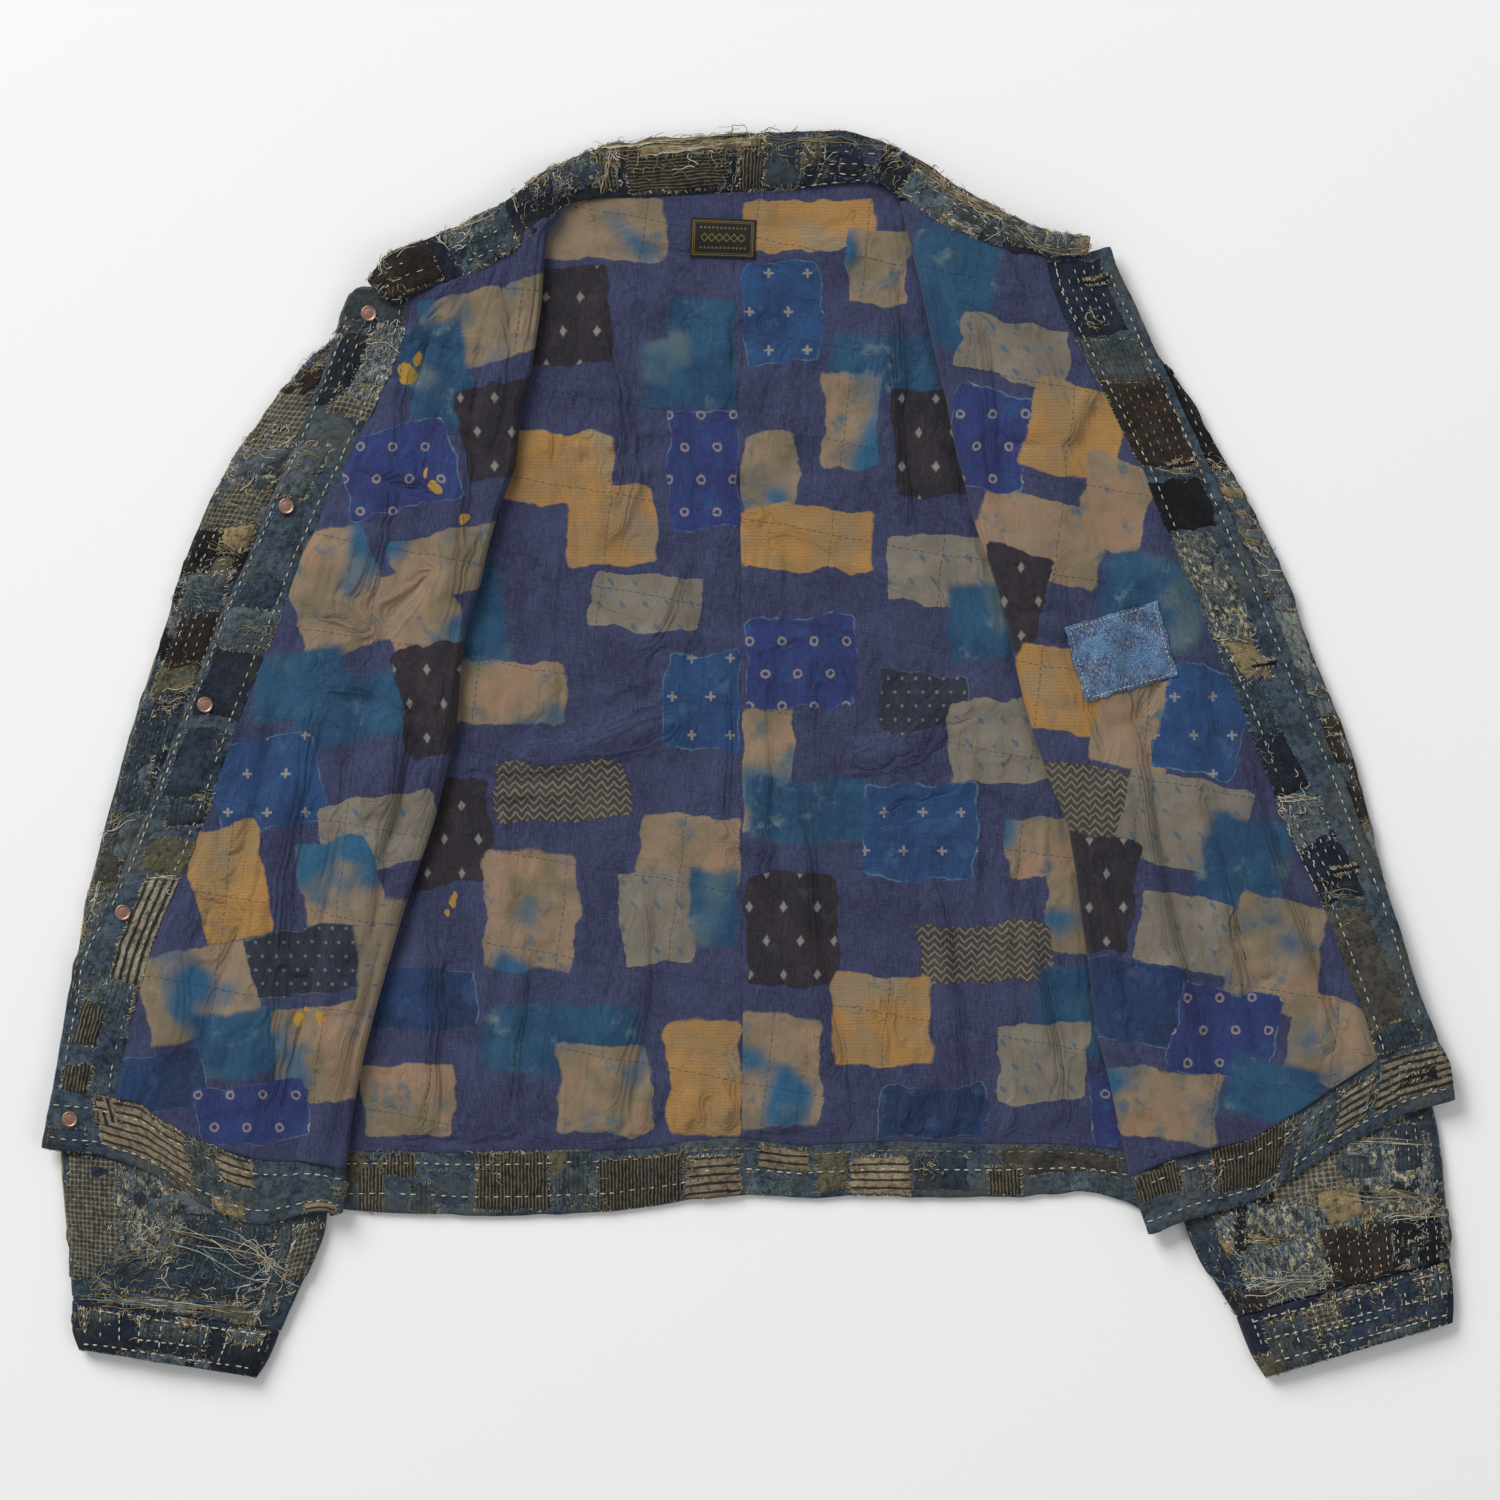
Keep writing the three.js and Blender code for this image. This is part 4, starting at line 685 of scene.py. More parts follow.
# Outer cloths: dark and light of the cloth, colour and share of its flecks, share of the tea-coloured stain, pattern.
BORO = {
    "navy": ("181e2a", "2e3847", "8f8a72", 0.12, 0.30, None),
    "indigo": ("263346", "455667", "a0946a", 0.24, 0.50, None),
    "abraded": ("27333f", "55666f", "c6b88c", 0.60, 0.50, "rub"),
    "denim": ("2b3b4a", "5a6a78", "8d8766", 0.26, 0.72, None),
    "slate": ("2b3744", "4d5c68", "8f8660", 0.16, 0.45, "lines"),
    "washed": ("344454", "74868f", "b9ab78", 0.34, 0.55, None),
    "pale": ("566b7b", "a6ab9d", "c4b78c", 0.36, 0.40, None),
    "greyblue": ("3a4650", "77838a", "c2baa0", 0.30, 0.30, None),
    "olive": ("45453c", "78735a", "b0a47c", 0.30, 0.40, None),
    "black": ("131418", "2b2b31", "6f6a5c", 0.07, 0.12, None),
    "brown": ("261f1f", "453932", "8b7a5c", 0.10, 0.20, None),
    "wool": ("3f3e3d", "666158", "8b8263", 0.20, 0.35, None),
    "tan": ("7d6c4b", "b5a27a", "d0c49b", 0.25, 0.25, None),
    "hickory": ("8b8470", "b3aa92", "ccc6b0", 0.15, 0.20, "wide"),
    "beige": ("90816a", "b8a688", "cfc3a6", 0.15, 0.22, "ticking"),
    "pin": ("252226", "3b3637", "8c846b", 0.12, 0.15, "pin"),
    "check": ("5a564a", "8a8270", "c2b898", 0.20, 0.22, "check"),
    "sashiko": ("18202f", "2e3a4e", "77745f", 0.08, 0.18, None),
    "ends": ("31424f", "66747b", "bfae78", 0.45, 0.60, "lines"),
}
KINDS = list(BORO)


def boro(name, dark, light, fleck, flecks, stain, pattern):
    n = Nodes("boro_" + name, 0.94, 0.05)
    p = n.cloth()
    _, _, own = n.split(p)
    wobble = n.vec("SCALE", n.vec("SUBTRACT", n.noise(p, 0.16, 2, colour=True), (0.5, 0.5, 0.5)), scale=1.6)
    q = n.vec("ADD", p, wobble)
    x, y, _ = n.split(q)
    slub = n.noise(n.vec("MULTIPLY", p, (1.25, 0.16, 1.0)), 1.0, 3, 0.6)
    weft = n.noise(n.vec("MULTIPLY", p, (0.2, 1.4, 1.0)), 1.0, 2, 0.6)
    fade = n.noise(p, 0.07, 5, 0.62)
    grain = n.noise(p, 1.1, 3, 0.7)
    tone = n.math("ADD", n.math("MULTIPLY", fade, 0.55), n.math("ADD", n.math("MULTIPLY", slub, 0.3), n.math("MULTIPLY", weft, 0.15)))
    col = n.mix(n.step(tone, 0.36, 0.64), rgb(dark), rgb(light))
    height = n.math("ADD", n.math("MULTIPLY", grain, 0.8), n.math("MULTIPLY", n.math("ADD", slub, weft), 0.5))
    if pattern == "wide":
        m = n.stripe(x, 5.2, 0.44, 0.12)
        col = n.mix(n.math("MULTIPLY", m, 0.93), col, rgb("24252b"))
        height = n.math("ADD", height, n.math("MULTIPLY", m, 0.3))
    elif pattern == "ticking":
        m = n.stripe(x, 5.4, 0.27, 0.12)
        col = n.mix(n.math("MULTIPLY", m, 0.92), col, rgb("1f2228"))
        height = n.math("ADD", height, n.math("MULTIPLY", m, -1.6))
    elif pattern == "pin":
        m = n.stripe(x, 2.3, 0.36, 0.2)
        col = n.mix(n.math("MULTIPLY", m, 0.8), col, rgb("8d8468"))
        height = n.math("ADD", height, n.math("MULTIPLY", m, 0.5))
    elif pattern == "check":
        m = n.math("MAXIMUM", n.stripe(x, 3.4, 0.34, 0.16), n.stripe(y, 3.4, 0.34, 0.16))
        col = n.mix(n.math("MULTIPLY", m, 0.75), col, rgb("323d48"))
        k = n.math("MAXIMUM", n.stripe(n.math("ADD", x, 1.7), 3.4, 0.16, 0.1), n.stripe(n.math("ADD", y, 1.7), 3.4, 0.16, 0.1))
        col = n.mix(n.math("MULTIPLY", k, 0.6), col, rgb("c6bc9e"))
        height = n.math("ADD", height, n.math("MULTIPLY", k, 0.7))
    elif pattern == "dashes":
        m = n.dashes(y, x, 3.9, 5.2, 0.6, 0.75)
        col = n.mix(n.math("MULTIPLY", m, 0.8), col, rgb("a39a7d"))
        height = n.math("ADD", height, n.math("MULTIPLY", m, 1.6))
    elif pattern == "lines":
        m = n.stripe(x, 3.1, 0.16, 0.14)
        col = n.mix(n.math("MULTIPLY", m, 0.55), col, rgb("1c2530"))
        height = n.math("SUBTRACT", height, n.math("MULTIPLY", m, 0.9))
    # abraded threads: short pale flecks along the warp and the weft
    f1 = n.noise(n.vec("MULTIPLY", p, (0.9, 0.28, 1.0)), 1.0, 3, 0.75)
    f2 = n.noise(n.vec("MULTIPLY", p, (0.3, 0.95, 1.0)), 0.9, 3, 0.75)
    rubbed = n.step(n.noise(p, 0.045, 3, 0.6), 0.42, 0.62)
    fm = n.math("MULTIPLY", n.math("MAXIMUM", n.step(f1, 0.60, 0.68), n.step(f2, 0.62, 0.70)), n.math("MULTIPLY", n.math("ADD", rubbed, 0.25), min(1.0, flecks * 2.4)), clamp=True)
    col = n.mix(fm, col, rgb(fleck))
    height = n.math("ADD", height, n.math("MULTIPLY", fm, 0.6))
    if pattern == "rub":
        f3 = n.noise(n.vec("MULTIPLY", p, (0.75, 0.2, 1.0)), 1.0, 4, 0.8)
        f4 = n.noise(n.vec("MULTIPLY", p, (0.8, 0.45, 1.0)), 0.42, 4, 0.75)
        col = n.mix(n.math("MULTIPLY", n.step(f3, 0.51, 0.57), 0.8), col, rgb("9caab2"))
        pale = n.math("MULTIPLY", n.step(f4, 0.52, 0.57), n.math("ADD", rubbed, 0.35), clamp=True)
        col = n.mix(n.math("MULTIPLY", pale, 0.85), col, rgb("f0e3b6"))
        height = n.math("ADD", height, n.math("MULTIPLY", pale, 1.2))
    # lumps of layered cloth in the bump, with painted shade darkening the hollows between them
    lumps = n.noise(p, 0.24, 4, 0.65)
    col = n.mix(n.step(lumps, 0.36, 0.54, 0.62, 0.0), col, rgb("15181c"))
    height = n.math("ADD", height, n.math("MULTIPLY", lumps, 3.2))
    # tea-coloured patina over everything
    old = n.step(n.noise(n.plan(), 0.022, 5, 0.62), 0.46, 0.70)
    col = n.mix(n.math("MULTIPLY", old, stain * 0.55), col, rgb("6d6a55"))
    lum = n.step(n.math("FRACT", n.math("MULTIPLY", own, 0.0137)), 0.0, 1.0)
    col = n.mix(n.math("MULTIPLY", lum, 0.28), col, n.mix(1.0, col, rgb("8d8d8d"), "MULTIPLY"))
    return n.finish(col, height, 0.75, 0.0006)


# Lining cloth: a printed cotton with soft, torn-edged blocks. Kinds: a and b of the block, colour of its blotches and their share, motif.
PRINT = {
    "tan": ("9c866d", "87795f", "5b6f78", 0.50, None),
    "ochre": ("b98b4c", "a88758", "9a8062", 0.30, "threads"),
    "teal": ("2c5877", "244a6b", "6c8289", 0.38, None),
    "denim": ("25406a", "223659", "38567c", 0.55, "threads"),
    "cobalt": ("303f78", "313a70", "2c4c7c", 0.50, "rings"),
    "blue": ("2b5080", "284672", "42698e", 0.40, "crosses"),
    "char": ("352e33", "2c282e", "403a3c", 0.40, "diamonds"),
    "night": ("2f3643", "2a303e", "434a56", 0.40, "dots"),
    "sand": ("93836c", "847a66", "6f7672", 0.30, "bars"),
    "leaf": ("8f8678", "827a6c", "6f7876", 0.35, "leaves"),
    "chevron": ("4d4843", "443f3d", "5c564c", 0.30, "chevrons"),
}
# Each side's blocks, laid out afresh: x, y, width, height in plan units, turn in degrees, kind.
BLOCKS = {
    "back_right": [
        [590, 230, 150, 62, 0, "tan"], [566, 318, 84, 96, 3, "char"], [704, 328, 66, 62, -2, "teal"], [688, 376, 92, 66, 0, "teal"], [704, 470, 72, 120, 1, "cobalt"],
        [560, 468, 112, 70, -3, "ochre"], [612, 528, 88, 74, 2, "ochre"], [646, 602, 112, 56, -2, "leaf"], [474, 622, 60, 112, 6, "teal"], [504, 692, 122, 62, 0, "tan"],
        [702, 702, 74, 98, -1, "blue"], [562, 790, 132, 56, 3, "chevron"], [442, 832, 96, 108, 3, "char"], [690, 852, 98, 70, 0, "tan"], [656, 918, 72, 92, 2, "leaf"],
        [714, 906, 48, 74, 0, "teal"], [530, 908, 92, 118, -3, "tan"], [420, 998, 112, 60, 2, "denim"], [562, 1040, 152, 68, 0, "teal"], [604, 1090, 92, 90, 0, "tan"],
        [704, 1078, 74, 112, 0, "ochre"], [408, 1100, 92, 70, 2, "tan"]],
    "back_left": [
        [812, 226, 132, 50, 1, "ochre"], [878, 268, 60, 72, 0, "tan"], [782, 314, 76, 104, 2, "blue"], [882, 368, 102, 60, -2, "teal"], [850, 420, 60, 92, 0, "tan"],
        [934, 442, 76, 112, 3, "char"], [770, 480, 54, 90, 0, "tan"], [806, 540, 132, 60, 0, "ochre"], [944, 572, 112, 70, -3, "leaf"], [984, 622, 72, 72, 0, "teal"],
        [800, 662, 110, 96, 2, "cobalt"], [922, 702, 86, 60, 0, "night"], [768, 772, 52, 122, 0, "tan"], [812, 810, 122, 60, 0, "teal"], [1002, 742, 112, 84, 3, "leaf"],
        [922, 832, 112, 96, -2, "blue"], [1052, 850, 92, 60, 0, "tan"], [1082, 902, 70, 92, 2, "tan"], [792, 930, 90, 112, 0, "char"], [984, 952, 132, 60, 3, "chevron"],
        [882, 1020, 98, 90, -1, "ochre"], [1084, 1010, 100, 92, 3, "teal"], [1042, 1062, 92, 80, 0, "leaf"], [780, 1072, 80, 112, 0, "tan"], [932, 1112, 112, 50, 0, "denim"],
        [1122, 1112, 60, 70, 0, "cobalt"]],
    "front_right": [
        [490, 326, 132, 74, 12, "tan"], [440, 380, 70, 102, 14, "teal"], [502, 432, 80, 92, 10, "char"], [400, 470, 112, 84, 14, "cobalt"], [450, 562, 112, 60, 12, "tan"],
        [422, 612, 70, 82, 12, "tan"], [340, 592, 92, 122, 16, "tan"], [300, 682, 98, 60, 14, "teal"], [352, 710, 112, 66, 12, "teal"], [442, 702, 80, 112, 10, "char"],
        [270, 782, 112, 90, 12, "blue"], [382, 832, 112, 70, 10, "leaf"], [340, 882, 80, 86, 10, "tan"], [230, 882, 70, 112, 12, "ochre"], [302, 960, 142, 64, 8, "night"],
        [392, 962, 70, 122, 6, "sand"], [200, 992, 112, 90, 12, "tan"], [242, 1042, 92, 64, 8, "teal"], [332, 1052, 112, 96, 6, "tan"], [160, 1082, 92, 56, 10, "denim"],
        [252, 1112, 112, 60, 6, "cobalt"]],
    "front_left": [
        [950, 290, 92, 122, -12, "teal"], [1010, 352, 112, 60, -12, "leaf"], [990, 442, 84, 102, -12, "cobalt"], [1072, 432, 92, 90, -14, "ochre"], [1040, 542, 132, 76, -12, "tan"],
        [1112, 502, 70, 86, -14, "tan"], [1010, 602, 64, 102, -10, "char"], [1152, 602, 102, 90, -14, "teal"], [1070, 692, 112, 84, -12, "ochre"], [1132, 722, 80, 92, -12, "tan"],
        [1202, 722, 84, 102, -14, "blue"], [1090, 802, 112, 70, -10, "chevron"], [1182, 822, 122, 90, -12, "leaf"], [1242, 862, 80, 92, -14, "teal"], [1090, 892, 84, 112, -8, "char"],
        [1182, 932, 92, 70, -10, "leaf"], [1272, 952, 92, 112, -14, "tan"], [1130, 1002, 112, 84, -8, "denim"], [1222, 1032, 102, 90, -12, "cobalt"], [1332, 1042, 92, 84, -14, "tan"],
        [1152, 1102, 132, 70, -6, "tan"], [1272, 1092, 92, 60, -12, "teal"]],
}
# Small yellow drips on the fronts: x, y, radius in plan units.
DRIPS = {"front_right": [[408, 377, 11], [418, 360, 5], [438, 487, 6], [430, 474, 4], [303, 1019, 7], [322, 1018, 6], [312, 1008, 3], [462, 520, 5]], "front_left": [], "back_left": [], "back_right": [[452, 902, 5], [446, 912, 3]]}


def printed(name, blocks, ground=("444a6c", "343957")):
    n = Nodes("print_" + name, 0.88, 0.06)
    p = n.plan()
    slow = n.vec("SCALE", n.vec("SUBTRACT", n.noise(p, 0.035, 2, colour=True), (0.5, 0.5, 0.5)), scale=17.0)
    fast = n.vec("SCALE", n.vec("SUBTRACT", n.noise(p, 0.32, 3, 0.7, colour=True), (0.5, 0.5, 0.5)), scale=2.6)
    q = n.vec("MULTIPLY", n.vec("ADD", p, n.vec("ADD", slow, fast)), (1.0, 1.0, 0.0))
    slub = n.noise(n.vec("MULTIPLY", p, (1.7, 0.16, 1.0)), 1.0, 3, 0.6)
    cross = n.noise(n.vec("MULTIPLY", p, (0.2, 1.8, 1.0)), 1.0, 3, 0.6)
    cloudy = n.noise(p, 0.028, 4, 0.6)
    spots = n.noise(p, 0.06, 4, 0.6)
    broad = n.noise(p, 0.017, 2, 0.5)
    weave = n.math("ADD", n.math("MULTIPLY", slub, 0.55), n.math("MULTIPLY", cross, 0.45))
    x, y, _ = n.split(n.vec("ADD", p, n.vec("SCALE", n.vec("SUBTRACT", n.noise(p, 0.2, 1, colour=True), (0.5, 0.5, 0.5)), scale=2.0)))
    kinds = {}

    def kind(k):
        if k in kinds:
            return kinds[k]
        a, b, c, share, motif = PRINT[k]
        col = n.mix(n.step(cloudy, 0.42, 0.58), rgb(a), rgb(b))
        if k == "tan":
            col = n.mix(n.step(broad, 0.51, 0.66), col, rgb("2f6384"))
            col = n.mix(n.step(broad, 0.44, 0.36, 0.0, 0.5), col, rgb("b08a6e"))
        elif k == "teal":
            col = n.mix(n.step(broad, 0.44, 0.30, 0.0, 0.55), col, rgb("6d7f7c"))
        elif k == "ochre":
            col = n.mix(n.step(broad, 0.54, 0.68, 0.0, 0.6), col, rgb("8f8a78"))
        col = n.mix(n.step(spots, 0.66 - 0.25 * share, 0.86 - 0.25 * share), col, rgb(c))
        if motif == "threads":
            m = n.stripe(y, 2.2, 0.3, 0.2)
            col = n.mix(n.math("MULTIPLY", m, 0.16), col, rgb("2a3350"))
        elif motif in ("rings", "crosses", "diamonds", "dots", "leaves"):
            # a half-drop repeat of small marks
            pitch = {"rings": 21.0, "crosses": 25.0, "diamonds": 22.0, "dots": 9.0, "leaves": 15.0}[motif]
            row = n.math("FLOOR", n.math("DIVIDE", y, pitch))
            fx = n.math("SUBTRACT", n.math("FRACT", n.math("ADD", n.math("DIVIDE", x, pitch), n.math("MULTIPLY", row, 0.5))), 0.5)
            fy = n.math("SUBTRACT", n.math("FRACT", n.math("DIVIDE", y, pitch)), 0.5)
            ax, ay = n.math("ABSOLUTE", fx), n.math("ABSOLUTE", fy)
            if motif == "rings":
                d = n.math("SQRT", n.math("ADD", n.math("MULTIPLY", fx, fx), n.math("MULTIPLY", fy, fy)))
                m = n.step(n.math("ABSOLUTE", n.math("SUBTRACT", d, 0.11)), 0.02, 0.05, 1.0, 0.0)
                col = n.mix(n.math("MULTIPLY", m, 0.75), col, rgb("a99a90"))
            elif motif == "crosses":
                bar = n.math("MAXIMUM", n.math("MULTIPLY", n.step(ax, 0.02, 0.045, 1.0, 0.0), n.step(ay, 0.11, 0.14, 1.0, 0.0)),
                             n.math("MULTIPLY", n.step(ay, 0.02, 0.045, 1.0, 0.0), n.step(ax, 0.11, 0.14, 1.0, 0.0)))
                col = n.mix(n.math("MULTIPLY", bar, 0.75), col, rgb("a8a294"))
            elif motif == "diamonds":
                d = n.math("ADD", n.math("MULTIPLY", ax, 1.5), ay)
                m = n.step(d, 0.10, 0.22, 1.0, 0.0)
                col = n.mix(n.math("MULTIPLY", m, 0.85), col, rgb("9d9790"))
            elif motif == "leaves":
                lx = n.math("ADD", n.math("MULTIPLY", fx, 0.8), n.math("MULTIPLY", fy, 0.6))
                ly = n.math("SUBTRACT", n.math("MULTIPLY", fy, 0.8), n.math("MULTIPLY", fx, 0.6))
                lx, ly = n.math("MULTIPLY", lx, 2.9), n.math("MULTIPLY", ly, 1.2)
                d = n.math("SQRT", n.math("ADD", n.math("MULTIPLY", lx, lx), n.math("MULTIPLY", ly, ly)))
                m = n.math("MULTIPLY", n.step(d, 0.22, 0.29, 1.0, 0.0), n.step(spots, 0.44, 0.50))
                col = n.mix(n.math("MULTIPLY", m, 0.7), col, rgb("41697f"))
            else:
                d = n.math("SQRT", n.math("ADD", n.math("MULTIPLY", fx, fx), n.math("MULTIPLY", fy, fy)))
                col = n.mix(n.math("MULTIPLY", n.step(d, 0.08, 0.16, 1.0, 0.0), 0.6), col, rgb("8b8d92"))
        elif motif == "bars":
            m = n.dashes(x, y, 13.0, 11.0, 0.35, 1.6)
            col = n.mix(n.math("MULTIPLY", m, 0.7), col, rgb("3f6587"))
        elif motif == "chevrons":
            zig = n.math("ADD", y, n.math("MULTIPLY", n.math("PINGPONG", x, 4.0), 1.1))
            col = n.mix(n.math("MULTIPLY", n.stripe(zig, 5.0, 0.3, 0.12), 0.7), col, rgb("9a8f78"))
        kinds[k] = col
        return col
    col = n.mix(n.step(n.math("ADD", n.math("MULTIPLY", weave, 0.6), n.math("MULTIPLY", cloudy, 0.4)), 0.4, 0.62), rgb(ground[0]), rgb(ground[1]))
    for bx, by, bw, bh, turn, k in blocks:
        at = n.node("ShaderNodeMapping", vector_type="TEXTURE")
        cx, cy = to_m([bx, by]) * 1000
        n.put(at.inputs["Vector"], q)
        at.inputs["Location"].default_value = (cx, cy, 0)
        at.inputs["Rotation"].default_value = (0, 0, math.radians(turn))
        at.inputs["Scale"].default_value = (bw * K * 500, bh * K * 500, 1)
        ax, ay, _ = n.split(n.vec("ABSOLUTE", at.outputs[0]))
        d = n.math("SMOOTH_MAX", ax, ay, 0.22)
        soft = {"teal": 0.14, "sand": 0.08, "ochre": 0.03, "tan": 0.03}.get(k, 0.012)
        col = n.mix(n.step(d, 1 - soft, 1 + soft, 1.0, 0.0), col, kind(k))
        if k in ("cobalt", "blue", "denim", "night"):
            ring = n.math("MULTIPLY", n.step(n.math("ABSOLUTE", n.math("SUBTRACT", d, 0.975)), 0.004, 0.022, 1.0, 0.0), n.step(spots, 0.40, 0.56))
            col = n.mix(n.math("MULTIPLY", ring, 0.5), col, rgb("7d95a0"))
        elif k in ("char", "chevron"):
            ring = n.step(n.math("ABSOLUTE", n.math("SUBTRACT", d, 1.0)), 0.0, 0.03, 1.0, 0.0)
            col = n.mix(n.math("MULTIPLY", ring, 0.4), col, rgb("1b1d2c"))
    for bx, by, br in DRIPS[name]:
        cx, cy = to_m([bx, by]) * 1000
        gap = n.vec("SUBTRACT", q, (cx, cy, 0.0))
        far = n.node("ShaderNodeVectorMath", operation="LENGTH")
        n.put(far.inputs[0], n.vec("MULTIPLY", gap, (1.35, 0.8, 0.0)))
        col = n.mix(n.step(far.outputs[1], br * K * 1000 - 0.4, br * K * 1000 + 0.3, 0.9, 0.0), col, rgb("c39a3a"))
    # dark hand-stitch lines that wander over the print
    sx, sy, _ = n.split(n.vec("ADD", p, n.vec("SCALE", slow, scale=0.35)))
    line = n.math("MULTIPLY", n.stripe(n.math("ADD", sy, n.math("MULTIPLY", sx, 0.18)), 61.0, 0.011, 0.006), n.stripe(sx, 4.4, 0.62, 0.1))
    line2 = n.math("MULTIPLY", n.stripe(n.math("ADD", sx, n.math("MULTIPLY", sy, -0.12)), 73.0, 0.009, 0.005), n.stripe(sy, 4.4, 0.62, 0.1))
    col = n.mix(n.math("MULTIPLY", n.math("MAXIMUM", line, line2), 0.6), col, rgb("1f2840"))
    col = n.mix(n.step(weave, 0.40, 0.66, 0.0, 0.13), col, rgb("1d2138"))
    col = n.mix(n.step(weave, 0.36, 0.58, 0.06, 0.0), col, rgb("a5a3b4"))
    height = n.math("ADD", weave, n.math("MULTIPLY", n.noise(p, 0.9, 3, 0.6), 0.5))
    # drag lines along the hang of each panel, and a few crisp creases across it, their troughs darkened with painted
    # shade
    pull = n.node("ShaderNodeMapping", vector_type="TEXTURE")
    n.put(pull.inputs["Vector"], p)
    pull.inputs["Rotation"].default_value = (0, 0, {"front_right": -0.2, "front_left": 0.2}.get(name, 0.03))
    pull.inputs["Scale"].default_value = (17.0, 80.0, 1.0)
    slackness = n.step(n.noise(p, 0.013, 2, 0.5), 0.40, 0.60, 0.25, 1.0)
    folds = n.noise(pull.outputs[0], 1.0, 2, 0.35)
    height = n.math("ADD", height, n.math("MULTIPLY", n.math("MULTIPLY", folds, slackness), 56.0))
    cross = n.node("ShaderNodeMapping", vector_type="TEXTURE")
    n.put(cross.inputs["Vector"], n.vec("ADD", p, (310.0, 170.0, 0.0)))
    cross.inputs["Rotation"].default_value = (0, 0, {"front_right": 0.35, "front_left": -0.3}.get(name, -0.12))
    cross.inputs["Scale"].default_value = (64.0, 24.0, 1.0)
    crisp = n.step(n.math("ABSOLUTE", n.math("SUBTRACT", n.noise(cross.outputs[0], 1.0, 2, 0.6), 0.5)), 0.0, 0.022, 1.0, 0.0)
    crisp = n.math("MULTIPLY", crisp, n.step(n.noise(n.vec("ADD", p, (90.0, 40.0, 0.0)), 0.016, 2, 0.5), 0.54, 0.66))
    height = n.math("SUBTRACT", height, n.math("MULTIPLY", crisp, 4.5))
    # painted shade: the crisp creases' troughs darkened in the colour
    col = n.mix(n.math("MULTIPLY", crisp, 0.22), col, rgb("1c2138"))
    return n.finish(col, height, 0.35, 0.0003)


def thread(name, a, b, sheen=0.05):
    n = Nodes("thread_" + name, 0.85, sheen)
    col = n.mix(n.step(n.noise(n.plan(), 0.12, 3, 0.6), 0.38, 0.62), rgb(a), rgb(b))
    return n.finish(col, n.noise(n.plan(), 2.4, 2), 0.4, 0.0002)


MATS = {k: boro(k, *v) for k, v in BORO.items()}
BORO_LIST = [MATS[k] for k in KINDS]
THREADS = {"cream": thread("cream", "c9c0a6", "e4decb"), "tan": thread("tan", "8a7656", "b8a078"), "olive": thread("olive", "66624a", "8f896c"),
           "blue": thread("blue", "4b6274", "8399a4"), "dark": thread("dark", "20283a", "39424f")}
THREAD_NAMES = list(THREADS)
THREAD_LIST = [THREADS[k] for k in THREAD_NAMES]


# ---------------------------------------------------------------- base pieces
def area_of(surf):
    a = np.linalg.norm(np.cross(surf.p[:-1, 1:] - surf.p[:-1, :-1], surf.p[1:, :-1] - surf.p[:-1, :-1]), axis=-1)
    return float(a.sum())


def sheet_piece(name, surf, thick, mats, slot, nodes, back=True, seed=0.0, mat=0):
    b = Build()
    shell(b, surf, thick, mat, seed, back=back)
    for part in b.v:
        part[:, 2] = np.maximum(part[:, 2], 0.12 * MM)
    ob = finish_piece(b.mesh(name, mats), slot, *nodes)
    area = area_of(surf)
    w, l = float(surf.width.max()), float(surf.length) * 1.02
    max(l, area / w * 1.001)
    return ob


under_back = Nodes("boro_underside", 0.94, 0.05)


def patched_under(n):
    """The outside of the back and sleeves, which lies on the surface: blocks of the same cloths."""
    p = n.plan()
    q = n.vec("ADD", p, n.vec("SCALE", n.vec("SUBTRACT", n.noise(p, 0.2, 3, 0.6, colour=True), (0.5, 0.5, 0.5)), scale=5.0))
    vor = n.node("ShaderNodeTexVoronoi", voronoi_dimensions="2D", distance="CHEBYCHEV", feature="F1")
    vor.inputs["Scale"].default_value = 0.016
    vor.inputs["Randomness"].default_value = 0.8
    n.put(vor.inputs["Vector"], q)
    r, g, b = n.split(vor.outputs["Color"])
    x, y, _ = n.split(q)
    ramp = n.node("ShaderNodeValToRGB")
    ramp.color_ramp.interpolation = "CONSTANT"
    stops = [(0.0, "1f2938"), (0.16, "33455a"), (0.3, "4c5c68"), (0.42, "1b2231"), (0.52, "6f8698"), (0.64, "5a5740"), (0.72, "2b2726"), (0.8, "8a7f5f"), (0.9, "3f3e3d")]
    while len(ramp.color_ramp.elements) < len(stops):
        ramp.color_ramp.elements.new(0.5)
    for e, (at, c) in zip(ramp.color_ramp.elements, stops):
        e.position, e.color = at, rgb(c)
    n.put(ramp.inputs[0], r)
    slub = n.noise(n.vec("MULTIPLY", p, (1.1, 0.14, 1.0)), 1.0, 3, 0.6)
    col = n.mix(n.step(slub, 0.35, 0.7, 0.0, 0.4), ramp.outputs[0], rgb("8f8d78"))
    wide = n.math("MULTIPLY", n.stripe(x, 5.2, 0.44, 0.12), n.step(g, 0.80, 0.81))
    col = n.mix(n.math("MULTIPLY", wide, 0.8), col, rgb("b0a382"))
    rows = n.dashes(y, x, 4.6, 6.0, 0.6, 0.8)
    col = n.mix(n.math("MULTIPLY", rows, n.step(b, 0.4, 0.41, 0.0, 0.75)), col, rgb("b3aa8c"))
    fleck = n.step(n.noise(p, 0.8, 4, 0.75), 0.60, 0.68)
    col = n.mix(n.math("MULTIPLY", fleck, 0.45), col, rgb("b9ad83"))
    edge_line = n.step(vor.outputs["Distance"], 0.40, 0.5)
    col = n.mix(n.math("MULTIPLY", edge_line, 0.5), col, rgb("a79a6e"))
    return n.finish(col, n.math("ADD", slub, n.math("MULTIPLY", rows, 1.2)), 0.5, 0.0006)


